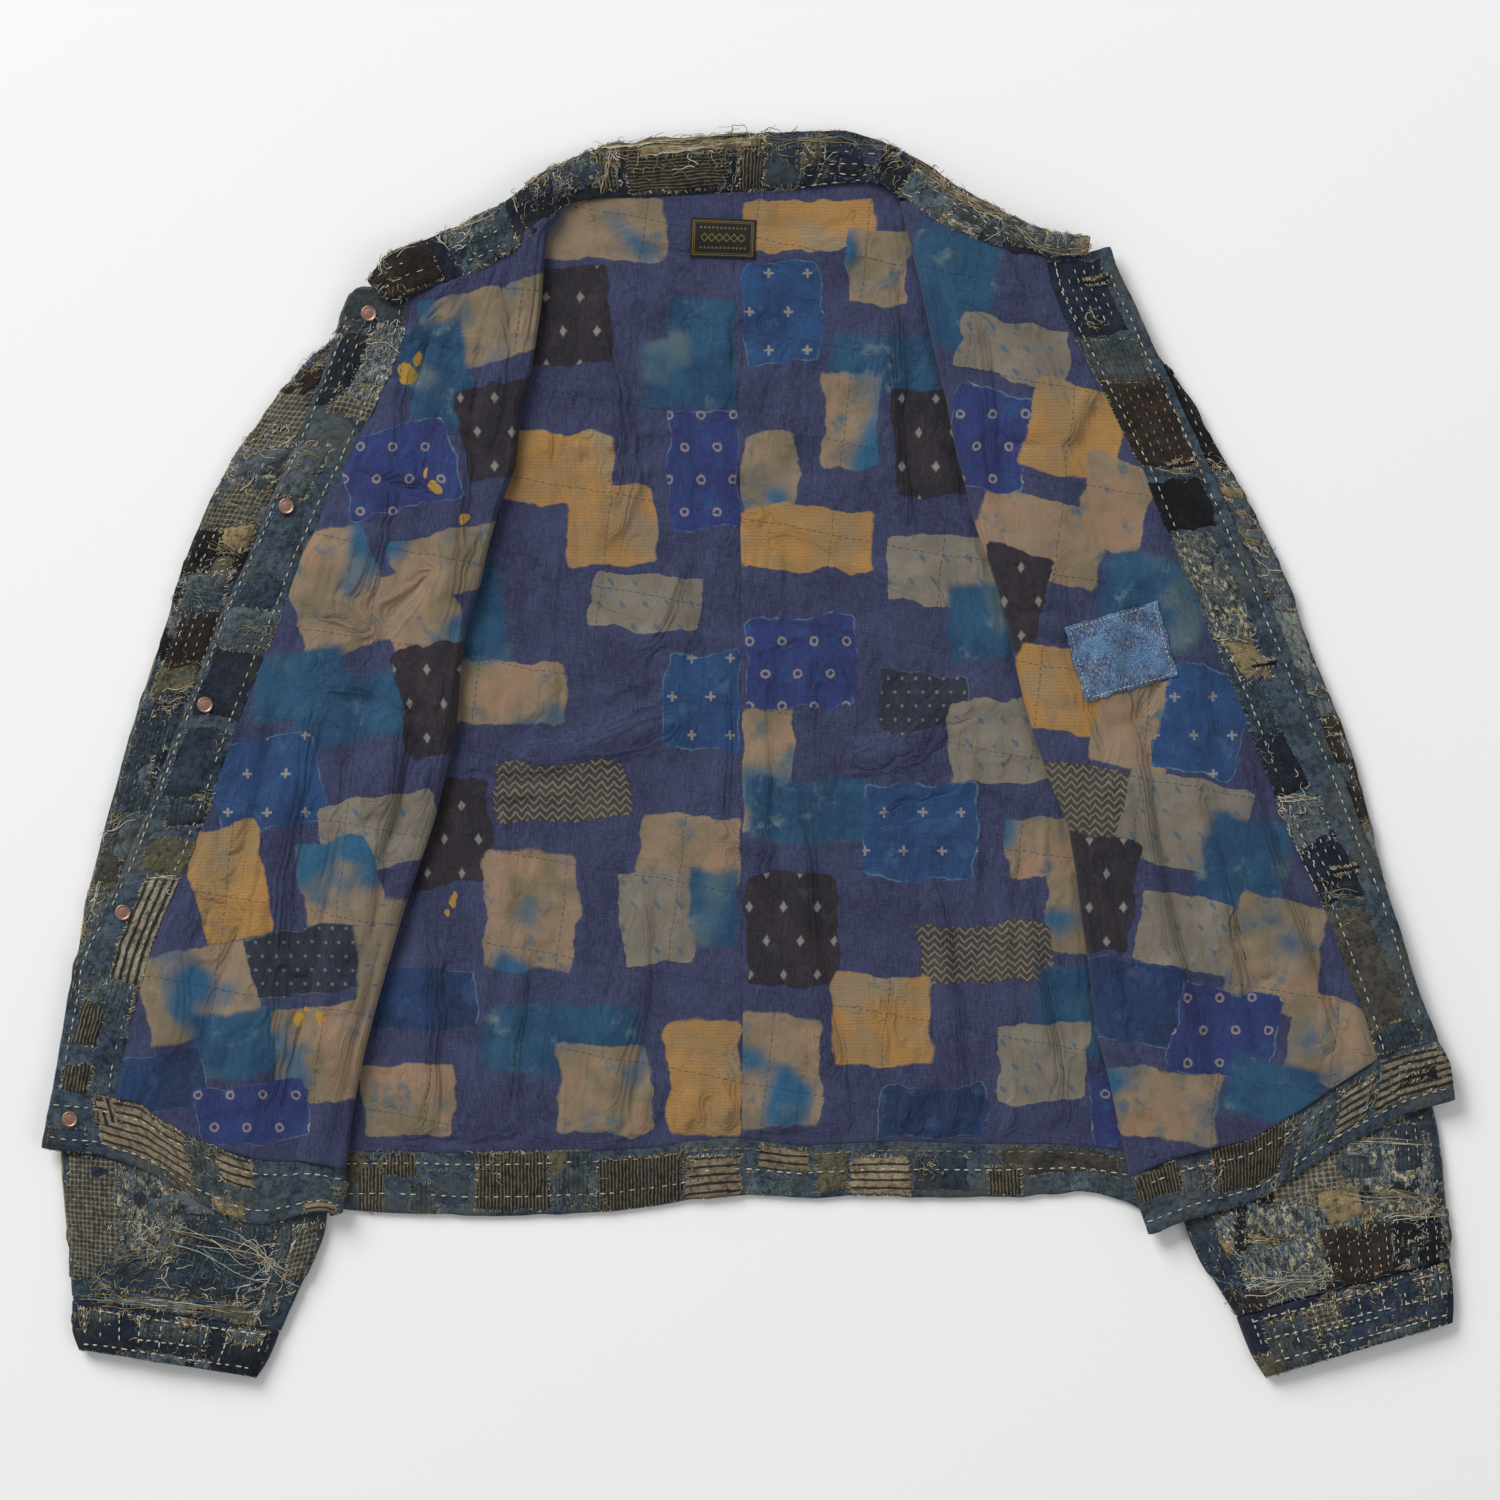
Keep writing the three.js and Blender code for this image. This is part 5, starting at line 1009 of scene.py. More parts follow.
UNDER = patched_under(under_back)
LINING = {k: printed(k, BLOCKS[k]) for k in BLOCKS}
sheet_piece("back_outer_cloth", S["back_outer"], T_OUTER - 0.2 * MM, [UNDER], "boro_cloth", ["back_outer"])
for side in ("right", "left"):
    sheet_piece("back_lining_cloth_" + side, S["back_lining_" + side], T_LINING, [LINING["back_" + side]], "lining_cloth", ["back_lining_" + side], back=False)
    base = S["front_lining_" + side]
    sheet_piece("front_outer_cloth_" + side, S["front_outer_" + side], T_OUTER, [MATS["indigo"]], "boro_cloth", ["front_outer_" + side])
    lining = Surf(base.p + base.n * (T_OUTER + GAP))
    S["lining_top_" + side] = Surf(lining.p[:, :base.cols] + lining.n[:, :base.cols] * T_LINING)
    sheet_piece("front_lining_cloth_" + side, lining, T_LINING, [LINING["front_" + side]], "lining_cloth", ["front_lining_" + side], back=False)
    sheet_piece("sleeve_under_cloth_" + side, S["sleeve_under_" + side], T_OUTER - 0.2 * MM, [UNDER], "boro_cloth", ["sleeve_under_" + side])
    sheet_piece("sleeve_top_cloth_" + side, S["sleeve_top_" + side], T_OUTER, BORO_LIST, "boro_cloth", ["sleeve_top_" + side], mat=KINDS.index("indigo"), back=False)
    sheet_piece("band_cloth_" + side, S["band_" + side], T_BAND, BORO_LIST, "trim_denim", ["band_" + side], mat=KINDS.index("denim"))
    sheet_piece("hem_front_cloth_" + side, S["hem_front_" + side], T_BAND, BORO_LIST, "trim_denim", ["hem_front_" + side], mat=KINDS.index("denim"))
    sheet_piece("cuff_cloth_" + side, S["cuff_" + side], 2.8 * MM, BORO_LIST, "trim_denim", ["cuff_" + side], mat=KINDS.index("sashiko"))
sheet_piece("hem_back_cloth", S["hem_back"], T_BAND, BORO_LIST, "trim_denim", ["hem_back"], mat=KINDS.index("denim"))
sheet_piece("collar_under_cloth", Surf(S["collar_under"].p[::3, ::2] if S["collar_under"].p.shape[1] % 2 else S["collar_under"].p[::3]), 2.0 * MM, BORO_LIST, "boro_cloth", ["collar_under"], mat=KINDS.index("indigo"))
sheet_piece("collar_facing_cloth", S["collar"], 2.0 * MM, BORO_LIST, "boro_cloth", ["collar_facing"], mat=KINDS.index("navy"))

# Faces that patches, stitches and frays lie on: the outer side of each piece's cloth.
def face(name, surf, thick):
    S["on_" + name] = Surf(surf.p + surf.n * thick)


for side in ("right", "left"):
    face("band_" + side, S["band_" + side], T_BAND)
    face("hem_" + side, S["hem_top_" + side], T_BAND)
    face("sleeve_" + side, S["sleeve_top_" + side], T_OUTER)
    face("cuff_" + side, S["cuff_top_" + side], 2.8 * MM)
face("hem_back", S["hem_back"], T_BAND)
face("collar", S["collar"], 2.0 * MM)


# ---------------------------------------------------------------- patches, frays and stitches
class Trim:
    """What is sewn on one piece: patches, the frays at their edges, and stitches."""

    def __init__(self, name, seed):
        self.name, self.surf, self.r = name, S["on_" + name], rng(seed)
        self.patches, self.frays, self.stitches = Build(), Build(), Build()

    def limit(self, u, v, past):
        """Keeps threads near the piece: past its outline they turn back softly."""
        u, v = np.asarray(u, float), np.asarray(v, float)
        if not hasattr(past, "__len__"):
            past = past * (0.25 + 1.5 * self.r.uniform(0, 1, u.shape[-1]) ** 2)
        pu = past / self.surf.span(np.clip(v, 0, 1))
        pv = past / self.surf.length
        u = np.where(u < 0, pu * np.tanh(u / pu), np.where(u > 1, 1 + pu * np.tanh((u - 1) / pu), u))
        v = np.where(v < 0, pv * np.tanh(v / pv), np.where(v > 1, 1 + pv * np.tanh((v - 1) / pv), v))
        return u, v, past

    def rooted(self, u, v, root):
        """Moves a thread so that it starts on the piece."""
        if root is None:
            root = (np.clip(u, 0.012, 0.988) - u, np.clip(v, 0.004, 0.996) - v)
        return u + root[0], v + root[1], root

    def place(self, uc, vc, a, b):
        return uc + a / self.surf.span(np.clip(vc + b / self.surf.length, 0, 1)), vc + b / self.surf.length

    def patch(self, px, py, w, h, turn, kind, lift=0.7, fray=1.0, colour="tan", keep=True):
        r, surf = self.r, self.surf
        uc, vc = surf.find(px, py)
        W, H, t = w * K, h * K, math.radians(turn)
        nx, ny = max(5, int(W / 0.0024)), max(5, int(H / 0.0024))
        a, b = np.meshgrid(np.linspace(-0.5, 0.5, nx), np.linspace(-0.5, 0.5, ny))
        o = r.uniform(0, 50)
        ja = noise(b * H + o, a * 0 + o, 0.009, 81) * 1.6 * MM + noise(b * H + o, a * 0 - o, 0.0028, 82) * 0.9 * MM
        jb = noise(a * W - o, b * 0 + o, 0.009, 83) * 1.6 * MM + noise(a * W - o, b * 0 - o, 0.0028, 84) * 0.9 * MM
        la, lb = a * W + ja * 2 * a, b * H + jb * 2 * b
        ra, rb = la * math.cos(t) - lb * math.sin(t), la * math.sin(t) + lb * math.cos(t)
        u, v = self.place(uc, vc, ra, rb)
        if keep:
            low, high = {"sleeve": (-0.013, 1.004), "collar": (-0.004, 1.03)}.get(self.name.split("_")[0], (-0.004, 1.004))
            u, v = np.clip(u, low, high), np.clip(v, -0.002, 1.002)
        rim = np.maximum(np.abs(a), np.abs(b)) > 0.499
        up = np.where(rim, 0.15, 1.35 * lift + 0.55 * noise(la + o, lb + o, 0.007, 85)) * MM
        p = surf.at(u, v, up)
        ca, cb = (lb, la) if kind.endswith("|") else (la, lb)
        c = np.stack([ca, cb, np.full_like(la, r.uniform(0.2, 40.0))], -1)
        self.patches.add(p, grid_faces(ny, nx, flip=not surf.up), c, KINDS.index(kind.rstrip("|")))
        # frays all round, along both thread directions
        if fray > 0:
            for (ea, eb, da, db, n) in ((la[0], lb[0], 0, -1, W), (la[-1], lb[-1], 0, 1, W), (la[:, 0], lb[:, 0], -1, 0, H), (la[:, -1], lb[:, -1], 1, 0, H)):
                amount = fray * r.uniform(0.15, 1.0)
                k = int(n / 0.0011 * min(1.2, amount + 0.2))
                if k < 2:
                    continue
                s = r.uniform(0, 1, k) * (len(ea) - 1)
                fa, fb = np.interp(s, np.arange(len(ea)), ea), np.interp(s, np.arange(len(ea)), eb)
                long = (0.8 + 3.6 * amount * r.beta(1.3, 4, k)) * MM
                self.fringe(uc, vc, t, fa, fb, da, db, long, lift, colour)

    def fringe(self, uc, vc, t, fa, fb, da, db, long, lift, colour):
        r, k = self.r, len(fa)
        lean, curl = r.normal(0, 0.45, k), r.normal(0, 0.7, k)
        pts, past, root = [], 3.0 * MM, None
        for i, g in enumerate(np.linspace(-0.25, 1, 4)):
            side = (lean * g + curl * g * g) * long
            a, b = fa + da * g * long + (db != 0) * side, fb + db * g * long + (da != 0) * side
            u, v = self.place(uc, vc, a * math.cos(t) - b * math.sin(t), a * math.sin(t) + b * math.cos(t))
            u, v, root = self.rooted(u, v, root)
            u, v, past = self.limit(u, v, past)
            up = (lift + 0.25 - 0.55 * g + 0.5 * np.sin(3.1 * max(g, 0)) * np.abs(curl)) * MM
            pts.append(self.surf.at(u, v, np.maximum(up, 0.15 * MM)))
        self.ribbons(np.array(pts), 0.24 * MM, colour)

    def ribbons(self, pts, half, colour, ridge=False):
        """Threads through pts (steps x threads x 3), as thin strips, the longer ones with a ridge."""
        r = self.r
        steps, k = pts.shape[:2]
        d = np.gradient(pts, axis=0)
        side = np.cross(d, [0, 0, 1.0])
        side /= np.maximum(np.linalg.norm(side, axis=-1, keepdims=True), 1e-9)
        taper = np.linspace(1.0, 0.45, steps)[:, None, None] * half * r.uniform(0.7, 1.35, (1, k, 1))
        left, right, top = pts - side * taper, pts + side * taper, pts + np.array([0, 0, 1.0]) * taper * 1.1
        v = np.stack([left, top, right] if ridge else [left, right], 2).transpose(1, 0, 2, 3)
        w = v.shape[2]
        base = self.frays.points(v)
        q = []
        for j in range(steps - 1):
            for e in range(w - 1):
                q.append([j * w + e, j * w + e + 1, (j + 1) * w + e + 1, (j + 1) * w + e])
        f = (np.array(q)[None] + (np.arange(k) * steps * w)[:, None, None]).reshape(-1, 4)
        names = {"tan": ["tan", "tan", "olive", "blue", "olive", "cream", "tan"], "cream": ["cream", "blue", "tan", "cream"], "olive": ["olive", "tan", "olive", "blue"], "blue": ["blue", "blue", "dark", "olive"],
                 "dark": ["dark", "blue"], "mixed": THREAD_NAMES}[colour]
        pick = np.array([THREAD_NAMES.index(x) for x in names])[r.integers(0, len(names), k)]
        self.frays.faces(f + base, np.repeat(pick, len(q)))

    def scraps(self, x0, y0, x1, y1, count, size, kinds, fray=1.2, colour="tan", lift=(0.5, 1.3), slant=0.0):
        """Small worn scraps scattered over a slanted plan box, some on others."""
        r = self.r
        for _ in range(count):
            g, h = r.uniform(0, 1), r.uniform(0, 1)
            x, y = x0 + (x1 - x0) * g + slant * h, y0 + (y1 - y0) * h
            w, l = size * r.uniform(0.5, 1.3), size * r.uniform(0.5, 1.3)
            self.patch(x, y, w, l, r.normal(0, 9), kinds[r.integers(0, len(kinds))], r.uniform(*lift), fray, colour if r.uniform() < 0.7 else "blue")

    def shag(self, u0, v0, u1, v1, count, long, colour="mixed", lift=0.9):
        """Short curled threads that stand up from rubbed cloth, in clumps."""
        r = self.r
        k = max(1, count // 16)
        cu, cv = r.uniform(u0, u1, k), r.uniform(v0, v1, k)
        pick = r.integers(0, k, count)
        uc, vc = cu[pick], cv[pick]
        spread = 2.4 * MM
        fa, fb = r.normal(0, spread, count), r.normal(0, spread, count)
        turn = r.uniform(0, 2 * math.pi, k)[pick] + r.normal(0, 0.45, count)
        bend, size = r.normal(0, 1.6, k)[pick] + r.normal(0, 0.8, count), long * MM * r.uniform(0.35, 1.0, count)
        pts, a, b, past, root = [], fa.copy(), fb.copy(), 1.3 * MM, None
        for g in np.linspace(0, 1, 5):
            u, v = self.place(uc, vc, a, b)
            u, v, root = self.rooted(u, v, root)
            u, v, past = self.limit(u, v, past)
            pts.append(self.surf.at(u, v, (lift * (0.3 + 1.5 * math.sin(math.pi * g * 0.8)) * MM) * np.ones(count)))
            ang = turn + bend * g
            a, b = a + np.cos(ang) * size / 4, b + np.sin(ang) * size / 4
        self.ribbons(np.array(pts), 0.22 * MM, colour)

    def loose(self, px, py, count, long, colour="mixed", spread=20, lift=1.2):
        """A tangle of longer curled threads about a plan point."""
        r = self.r
        uc, vc = self.surf.find(px, py)
        s = spread * K
        fa, fb = r.normal(0, s * 0.5, count), r.normal(0, s * 0.5, count)
        turn, bend, wave = r.uniform(0, 2 * math.pi, count), r.normal(0, 2.2, count), r.uniform(0, 6, count)
        size = long * MM * r.uniform(0.4, 1.0, count)
        pts, a, b, past, root = [], fa.copy(), fb.copy(), 5.0 * MM, None
        for g in np.linspace(0, 1, 8):
            u, v = self.place(uc, vc, a, b)
            u, v, root = self.rooted(u, v, root)
            u, v, past = self.limit(u, v, past)
            pts.append(self.surf.at(u, v, (lift + 0.9 * np.abs(np.sin(g * 5 + wave))) * MM))
            ang = turn + bend * g + 0.5 * np.sin(g * 7 + wave)
            a, b = a + np.cos(ang) * size / 7, b + np.sin(ang) * size / 7
        self.ribbons(np.array(pts), 0.27 * MM, colour, ridge=True)

    def strands(self, x0, y0, x1, y1, count, spread, colour="tan", lift=1.5):
        """A bundle of long pulled threads between two plan points, slack and wavy."""
        r, surf = self.r, self.surf
        (u0, v0), (u1, v1) = surf.find(x0, y0), surf.find(x1, y1)
        da, db = (u1 - u0) * float(surf.width.mean()), (v1 - v0) * float(surf.length)
        size = math.hypot(da, db)
        pa, pb = -db / size, da / size
        s = spread * K
        start, end = r.uniform(0.0, 0.5, count), r.uniform(0.5, 1.0, count)
        first, slope = r.normal(0, 0.4 * s, count), r.normal(0, 0.5 * s, count)
        phase, freq = r.uniform(0, 6.3, count), r.uniform(3, 9, count)
        pts, past = [], 0.5 * MM
        for g in np.linspace(0, 1, 10):
            t = start + (end - start) * g
            off = first + slope * (g - 0.5) + 0.25 * s * np.sin(freq * g + phase)
            u, v = self.place(u0 + (u1 - u0) * t, v0 + (v1 - v0) * t, pa * off, pb * off)
            u, v, past = self.limit(u, v, past)
            pts.append(surf.at(u, v, (lift + 0.7 * np.abs(np.sin(freq * 0.7 * g + phase))) * MM))
        self.ribbons(np.array(pts), 0.25 * MM, colour, ridge=True)

    def dashes(self, p0, p1, thick, colour):
        """Stitches from p0 to p1, each a small arched bundle of thread."""
        r, k = self.r, len(p0)
        if not k:
            return
        d = p1 - p0
        side = np.cross(d, [0, 0, 1.0])
        side /= np.maximum(np.linalg.norm(side, axis=-1, keepdims=True), 1e-9)
        w = thick * MM * r.uniform(0.8, 1.25, (k, 1))
        ring = []
        for g, size, rise in ((0.0, 0.35, -0.2), (0.22, 1.0, 0.5), (0.78, 1.0, 0.5), (1.0, 0.35, -0.2)):
            c = p0 + d * g + np.array([0, 0, 1.0]) * w * rise
            ring.append(np.stack([c - side * w * size, c + np.array([0, 0, 1.0]) * w * size, c + side * w * size], 1))
        v = np.stack(ring, 1)
        base = self.stitches.points(v)
        q = []
        for j in range(3):
            for e in range(2):
                q.append([j * 3 + e, j * 3 + e + 1, (j + 1) * 3 + e + 1, (j + 1) * 3 + e])
        f = (np.array(q)[None] + (np.arange(k) * 12)[:, None, None]).reshape(-1, 4)
        self.stitches.faces(f + base, THREAD_NAMES.index(colour))

    def run(self, u0, v0, u1, v1, pitch=6.0, share=0.52, thick=0.34, colour="cream", lift=1.0, wander=0.5):
        """A row of running stitch between two places on the piece, pitch in mm."""
        surf, r = self.surf, self.r
        n = 200
        g = np.linspace(0, 1, n)
        p = surf.at(lerp(u0, u1, g), lerp(v0, v1, g))
        s = np.concatenate([[0], np.cumsum(np.linalg.norm(np.diff(p, axis=0), axis=1))])
        k = int(s[-1] / (pitch * MM))
        if k < 1:
            return
        start = (np.arange(k) + r.uniform(-0.12, 0.12, k)) * pitch * MM + 0.2 * pitch * MM
        end = start + pitch * MM * share * r.uniform(0.75, 1.2, k)
        drift = wander * MM
        o = r.uniform(0, 9)

        def at(x):
            t = np.clip(np.interp(x, s, g), 0, 1)
            off = drift * noise(x, x * 0 + o, 0.02, 87)
            if abs(u1 - u0) * surf.width.mean() > abs(v1 - v0) * surf.length:
                return surf.at(lerp(u0, u1, t), lerp(v0, v1, t) + off / surf.length, lift * MM)
            return surf.at(lerp(u0, u1, t) + off / surf.span(np.clip(lerp(v0, v1, t), 0, 1)), lerp(v0, v1, t), lift * MM)
        ok = r.uniform(0, 1, k) > 0.05
        self.dashes(at(start)[ok], at(end)[ok], thick, colour)

    def rows(self, px, py, w, h, turn, gap=6.2, pitch=6.8, share=0.44, thick=0.28, colour="cream", lift=1.3, across=False):
        """A field of sashiko rows on a patch: along its height, or across it."""
        r = self.r
        uc, vc = self.surf.find(px, py)
        W, H, t = w * K, h * K, math.radians(turn)
        if across:
            W, H, t = H, W, t + math.pi / 2
        p0, p1 = [], []
        for a in np.arange(-W / 2 + 0.6 * gap * MM, W / 2 - 0.3 * gap * MM, gap * MM):
            k = max(1, int(H / (pitch * MM)))
            b0 = -H / 2 + (np.arange(k) + r.uniform(0.0, 0.5)) * pitch * MM + r.normal(0, 0.25, k) * MM
            b1 = b0 + share * pitch * MM * r.uniform(0.7, 1.15, k)
            aa = a + 0.35 * MM * noise(b0, b0 * 0 + a, 0.015, 88)
            keep = (r.uniform(0, 1, k) > 0.08) & (b1 < H / 2)
            for out, bb in ((p0, b0), (p1, b1)):
                u, v = self.place(uc, vc, (aa * math.cos(t) - bb * math.sin(t))[keep], (aa * math.sin(t) + bb * math.cos(t))[keep])
                out.append(self.surf.at(np.clip(u, 0, 1), np.clip(v, 0, 1), lift * MM))
        if p0:
            self.dashes(np.concatenate(p0), np.concatenate(p1), thick, colour)

    def done(self, slot="boro_cloth"):
        for what, build, mats in (("patches", self.patches, BORO_LIST), ("frays", self.frays, THREAD_LIST), ("stitches", self.stitches, THREAD_LIST)):
            if build.n:
                finish_piece(build.mesh(what + "_" + self.name, mats), slot)


# Bundles of long pulled threads: from x, y to x, y in plan units, how many, how wide a bundle, colour.
STRANDS = {
    "collar": [[596, 152, 756, 138, 23, 6, "tan", 2.4], [640, 156, 752, 148, 9, 5, "cream", 2.4], [528, 192, 592, 150, 10, 6, "tan", 1.9], [436, 244, 504, 204, 7, 10, "cream", 1.8], [372, 262, 432, 240, 5, 9, "mixed", 1.8],
               [768, 142, 884, 150, 9, 5, "olive", 2.0], [900, 162, 1064, 226, 17, 9, "tan", 1.9], [1000, 214, 1108, 262, 11, 7, "tan", 1.9], [612, 150, 600, 196, 5, 5, "tan", 2.6], [740, 150, 734, 192, 5, 5, "tan", 2.6]],
    "sleeve_right": [[222, 440, 284, 454, 8, 7, "cream", 2.2], [225, 500, 266, 512, 5, 6, "tan", 2.2], [206, 540, 248, 556, 6, 5, "tan", 2.8], [176, 578, 226, 608, 11, 12, "blue", 2.2], [168, 692, 218, 684, 7, 6, "tan", 2.2],
                     [148, 704, 190, 700, 6, 6, "tan", 2.0], [98, 822, 138, 816, 6, 6, "tan", 1.8], [82, 900, 112, 932, 6, 7, "mixed", 1.8], [70, 942, 100, 946, 5, 6, "tan", 1.8], [284, 350, 322, 372, 6, 7, "tan", 2.0],
                     [80, 1296, 270, 1306, 22, 7, "tan", 1.8], [160, 1226, 306, 1296, 15, 16, "cream", 2.0], [86, 1150, 200, 1160, 11, 9, "tan", 1.6], [120, 1262, 196, 1240, 10, 10, "olive", 2.0]],
    "sleeve_left": [[1212, 468, 1266, 482, 7, 6, "cream", 2.0], [1226, 528, 1294, 544, 10, 10, "tan", 2.0], [1276, 690, 1336, 692, 9, 6, "cream", 2.2], [1298, 738, 1350, 722, 7, 7, "mixed", 2.0], [1352, 824, 1398, 822, 5, 4, "tan", 2.0],
                    [1230, 1134, 1444, 1142, 17, 7, "tan", 1.8], [1336, 1190, 1450, 1196, 14, 7, "tan", 2.0], [1228, 1290, 1352, 1270, 14, 10, "cream", 2.2], [1388, 1216, 1452, 1212, 8, 6, "cream", 2.2], [1236, 1242, 1304, 1236, 6, 6, "tan", 2.0],
                    [1372, 886, 1410, 892, 5, 6, "mixed", 1.8]],
    "band_right": [[280, 452, 324, 460, 5, 4, "tan", 2.0], [352, 344, 400, 352, 8, 9, "cream", 2.0], [238, 628, 286, 638, 6, 6, "olive", 2.0], [188, 800, 238, 808, 6, 6, "tan", 2.0], [148, 876, 190, 884, 5, 4, "tan", 1.8]],
    "band_left": [[1150, 470, 1212, 474, 5, 4, "tan", 2.0], [1204, 640, 1260, 640, 8, 6, "cream", 2.0], [1260, 800, 1328, 798, 10, 7, "cream", 2.0], [1298, 902, 1372, 898, 7, 6, "olive", 2.0]]}


def sew(name, seed, patches, frays=(), fields=(), lines=(), scraps=(), shags=()):
    """Sews one piece from its tables."""
    t = Trim(name, seed)
    for row in scraps:
        t.scraps(*row)
    for row in patches:
        t.patch(*row)
    for row in shags:
        t.shag(*row)
    for row in STRANDS.get(name, ()):
        t.strands(*row)
    for row in frays:
        t.loose(*row)
    for row in fields:
        t.rows(*row[:5], **row[5])
    for row in lines:
        t.run(*row[:4], **row[4])
    t.done()
    return t


# Patch tables: x, y, width, height in plan units (width across the piece), turn, cloth, lift in mm, fray, fray colour.
sew("band_right", 101, [
    [372, 312, 62, 44, 0, "indigo", 0.5, 0.4, "blue"], [383, 366, 42, 84, 2, "abraded", 0.9, 1.4, "cream"], [344, 370, 32, 74, 4, "navy", 0.8, 0.8, "blue"], [360, 408, 58, 20, 0, "check", 1.1, 1.0, "tan"],
    [301, 470, 36, 58, 6, "greyblue", 1.2, 1.4, "tan"], [286, 550, 52, 90, 0, "denim", 0.4, 0.2, "blue"], [262, 592, 40, 40, 8, "indigo", 0.8, 0.7, "blue"],
    [250, 628, 54, 42, -4, "washed", 1.0, 1.4, "tan"], [236, 686, 62, 72, 0, "navy", 0.8, 0.6, "dark"], [205, 765, 54, 74, 3, "indigo", 0.6, 0.9, "blue"],
    [190, 810, 40, 30, -10, "slate", 1.1, 1.2, "tan"], [176, 856, 60, 36, 3, "olive", 0.9, 0.9, "olive"], [150, 930, 46, 112, 0, "hickory", 0.9, 0.9, "tan"],
    [112, 1000, 40, 44, 6, "ends", 1.1, 1.1, "tan"], [92, 1022, 26, 46, 4, "pin", 1.4, 0.9, "tan"], [116, 1052, 40, 38, -8, "indigo", 0.7, 0.6, "blue"], [80, 1078, 26, 30, 0, "pin", 1.2, 1.0, "tan"]],
    [[300, 455, 16, 8, "tan", 14], [378, 350, 40, 9, "cream", 26], [366, 385, 30, 9, "tan", 20], [335, 330, 24, 8, "mixed", 16], [262, 628, 22, 9, "olive", 22], [214, 800, 16, 10, "tan", 20], [168, 880, 14, 8, "tan", 16], [240, 735, 12, 8, "blue", 20], [90, 985, 18, 8, "tan", 18]],
    [[344, 370, 26, 66, 4, dict(gap=6.2, pitch=6.5, lift=1.4)]],
    [[0.86, 0.005, 0.86, 0.995, dict(pitch=6.4, lift=1.2)], [0.13, 0.03, 0.13, 0.97, dict(pitch=6.2, lift=1.2)], [0.05, 0.2, 0.05, 0.9, dict(pitch=7.0, lift=1.1, colour="tan", thick=0.3)]])
sew("band_left", 102, [
    [1082, 300, 58, 78, 0, "sashiko", 0.6, 0.5, "blue"], [1112, 362, 56, 44, -6, "ends", 0.9, 1.0, "tan"], [1145, 425, 60, 96, -4, "brown", 1.1, 0.7, "tan"],
    [1178, 505, 58, 52, 0, "black", 0.8, 0.5, "dark"], [1204, 585, 62, 110, 2, "abraded", 0.6, 0.9, "blue"], [1246, 660, 30, 44, 6, "tan", 1.1, 1.2, "cream"],
    [1236, 700, 56, 82, -2, "slate", 0.7, 0.6, "blue"], [1268, 768, 58, 62, 4, "navy", 1.0, 1.1, "dark"], [1296, 826, 58, 50, -4, "greyblue", 1.0, 1.3, "cream"],
    [1318, 868, 62, 70, 2, "sashiko", 0.8, 0.6, "blue"], [1356, 975, 62, 134, 0, "wool", 0.7, 0.5, "olive"], [1392, 1036, 46, 26, 8, "slate", 1.0, 1.0, "tan"]],
    [[1092, 325, 18, 8, "tan", 18], [1180, 470, 16, 8, "tan", 16], [1230, 640, 26, 8, "cream", 22], [1290, 800, 26, 12, "cream", 24], [1333, 902, 24, 9, "olive", 22], [1262, 745, 16, 10, "blue", 20]],
    [[1082, 300, 52, 70, 0, dict(gap=5.9, pitch=6.5, lift=1.4)], [1145, 425, 52, 88, -4, dict(gap=5.9, pitch=6.5, colour="tan", lift=1.8)], [1236, 700, 50, 76, -2, dict(gap=5.7, pitch=5.5, thick=0.26, lift=1.4, colour="blue")],
     [1318, 868, 56, 62, 2, dict(gap=5.9, pitch=6.8, lift=1.6)]],
    [[0.86, 0.005, 0.86, 0.995, dict(pitch=6.4, lift=1.3)], [0.14, 0.03, 0.14, 0.97, dict(pitch=6.0, lift=1.3)]])

WORN = ["abraded", "washed", "abraded", "ends", "greyblue", "indigo", "slate"]
ROUGH = ["washed", "olive", "greyblue", "tan", "slate", "navy", "brown", "ends"]
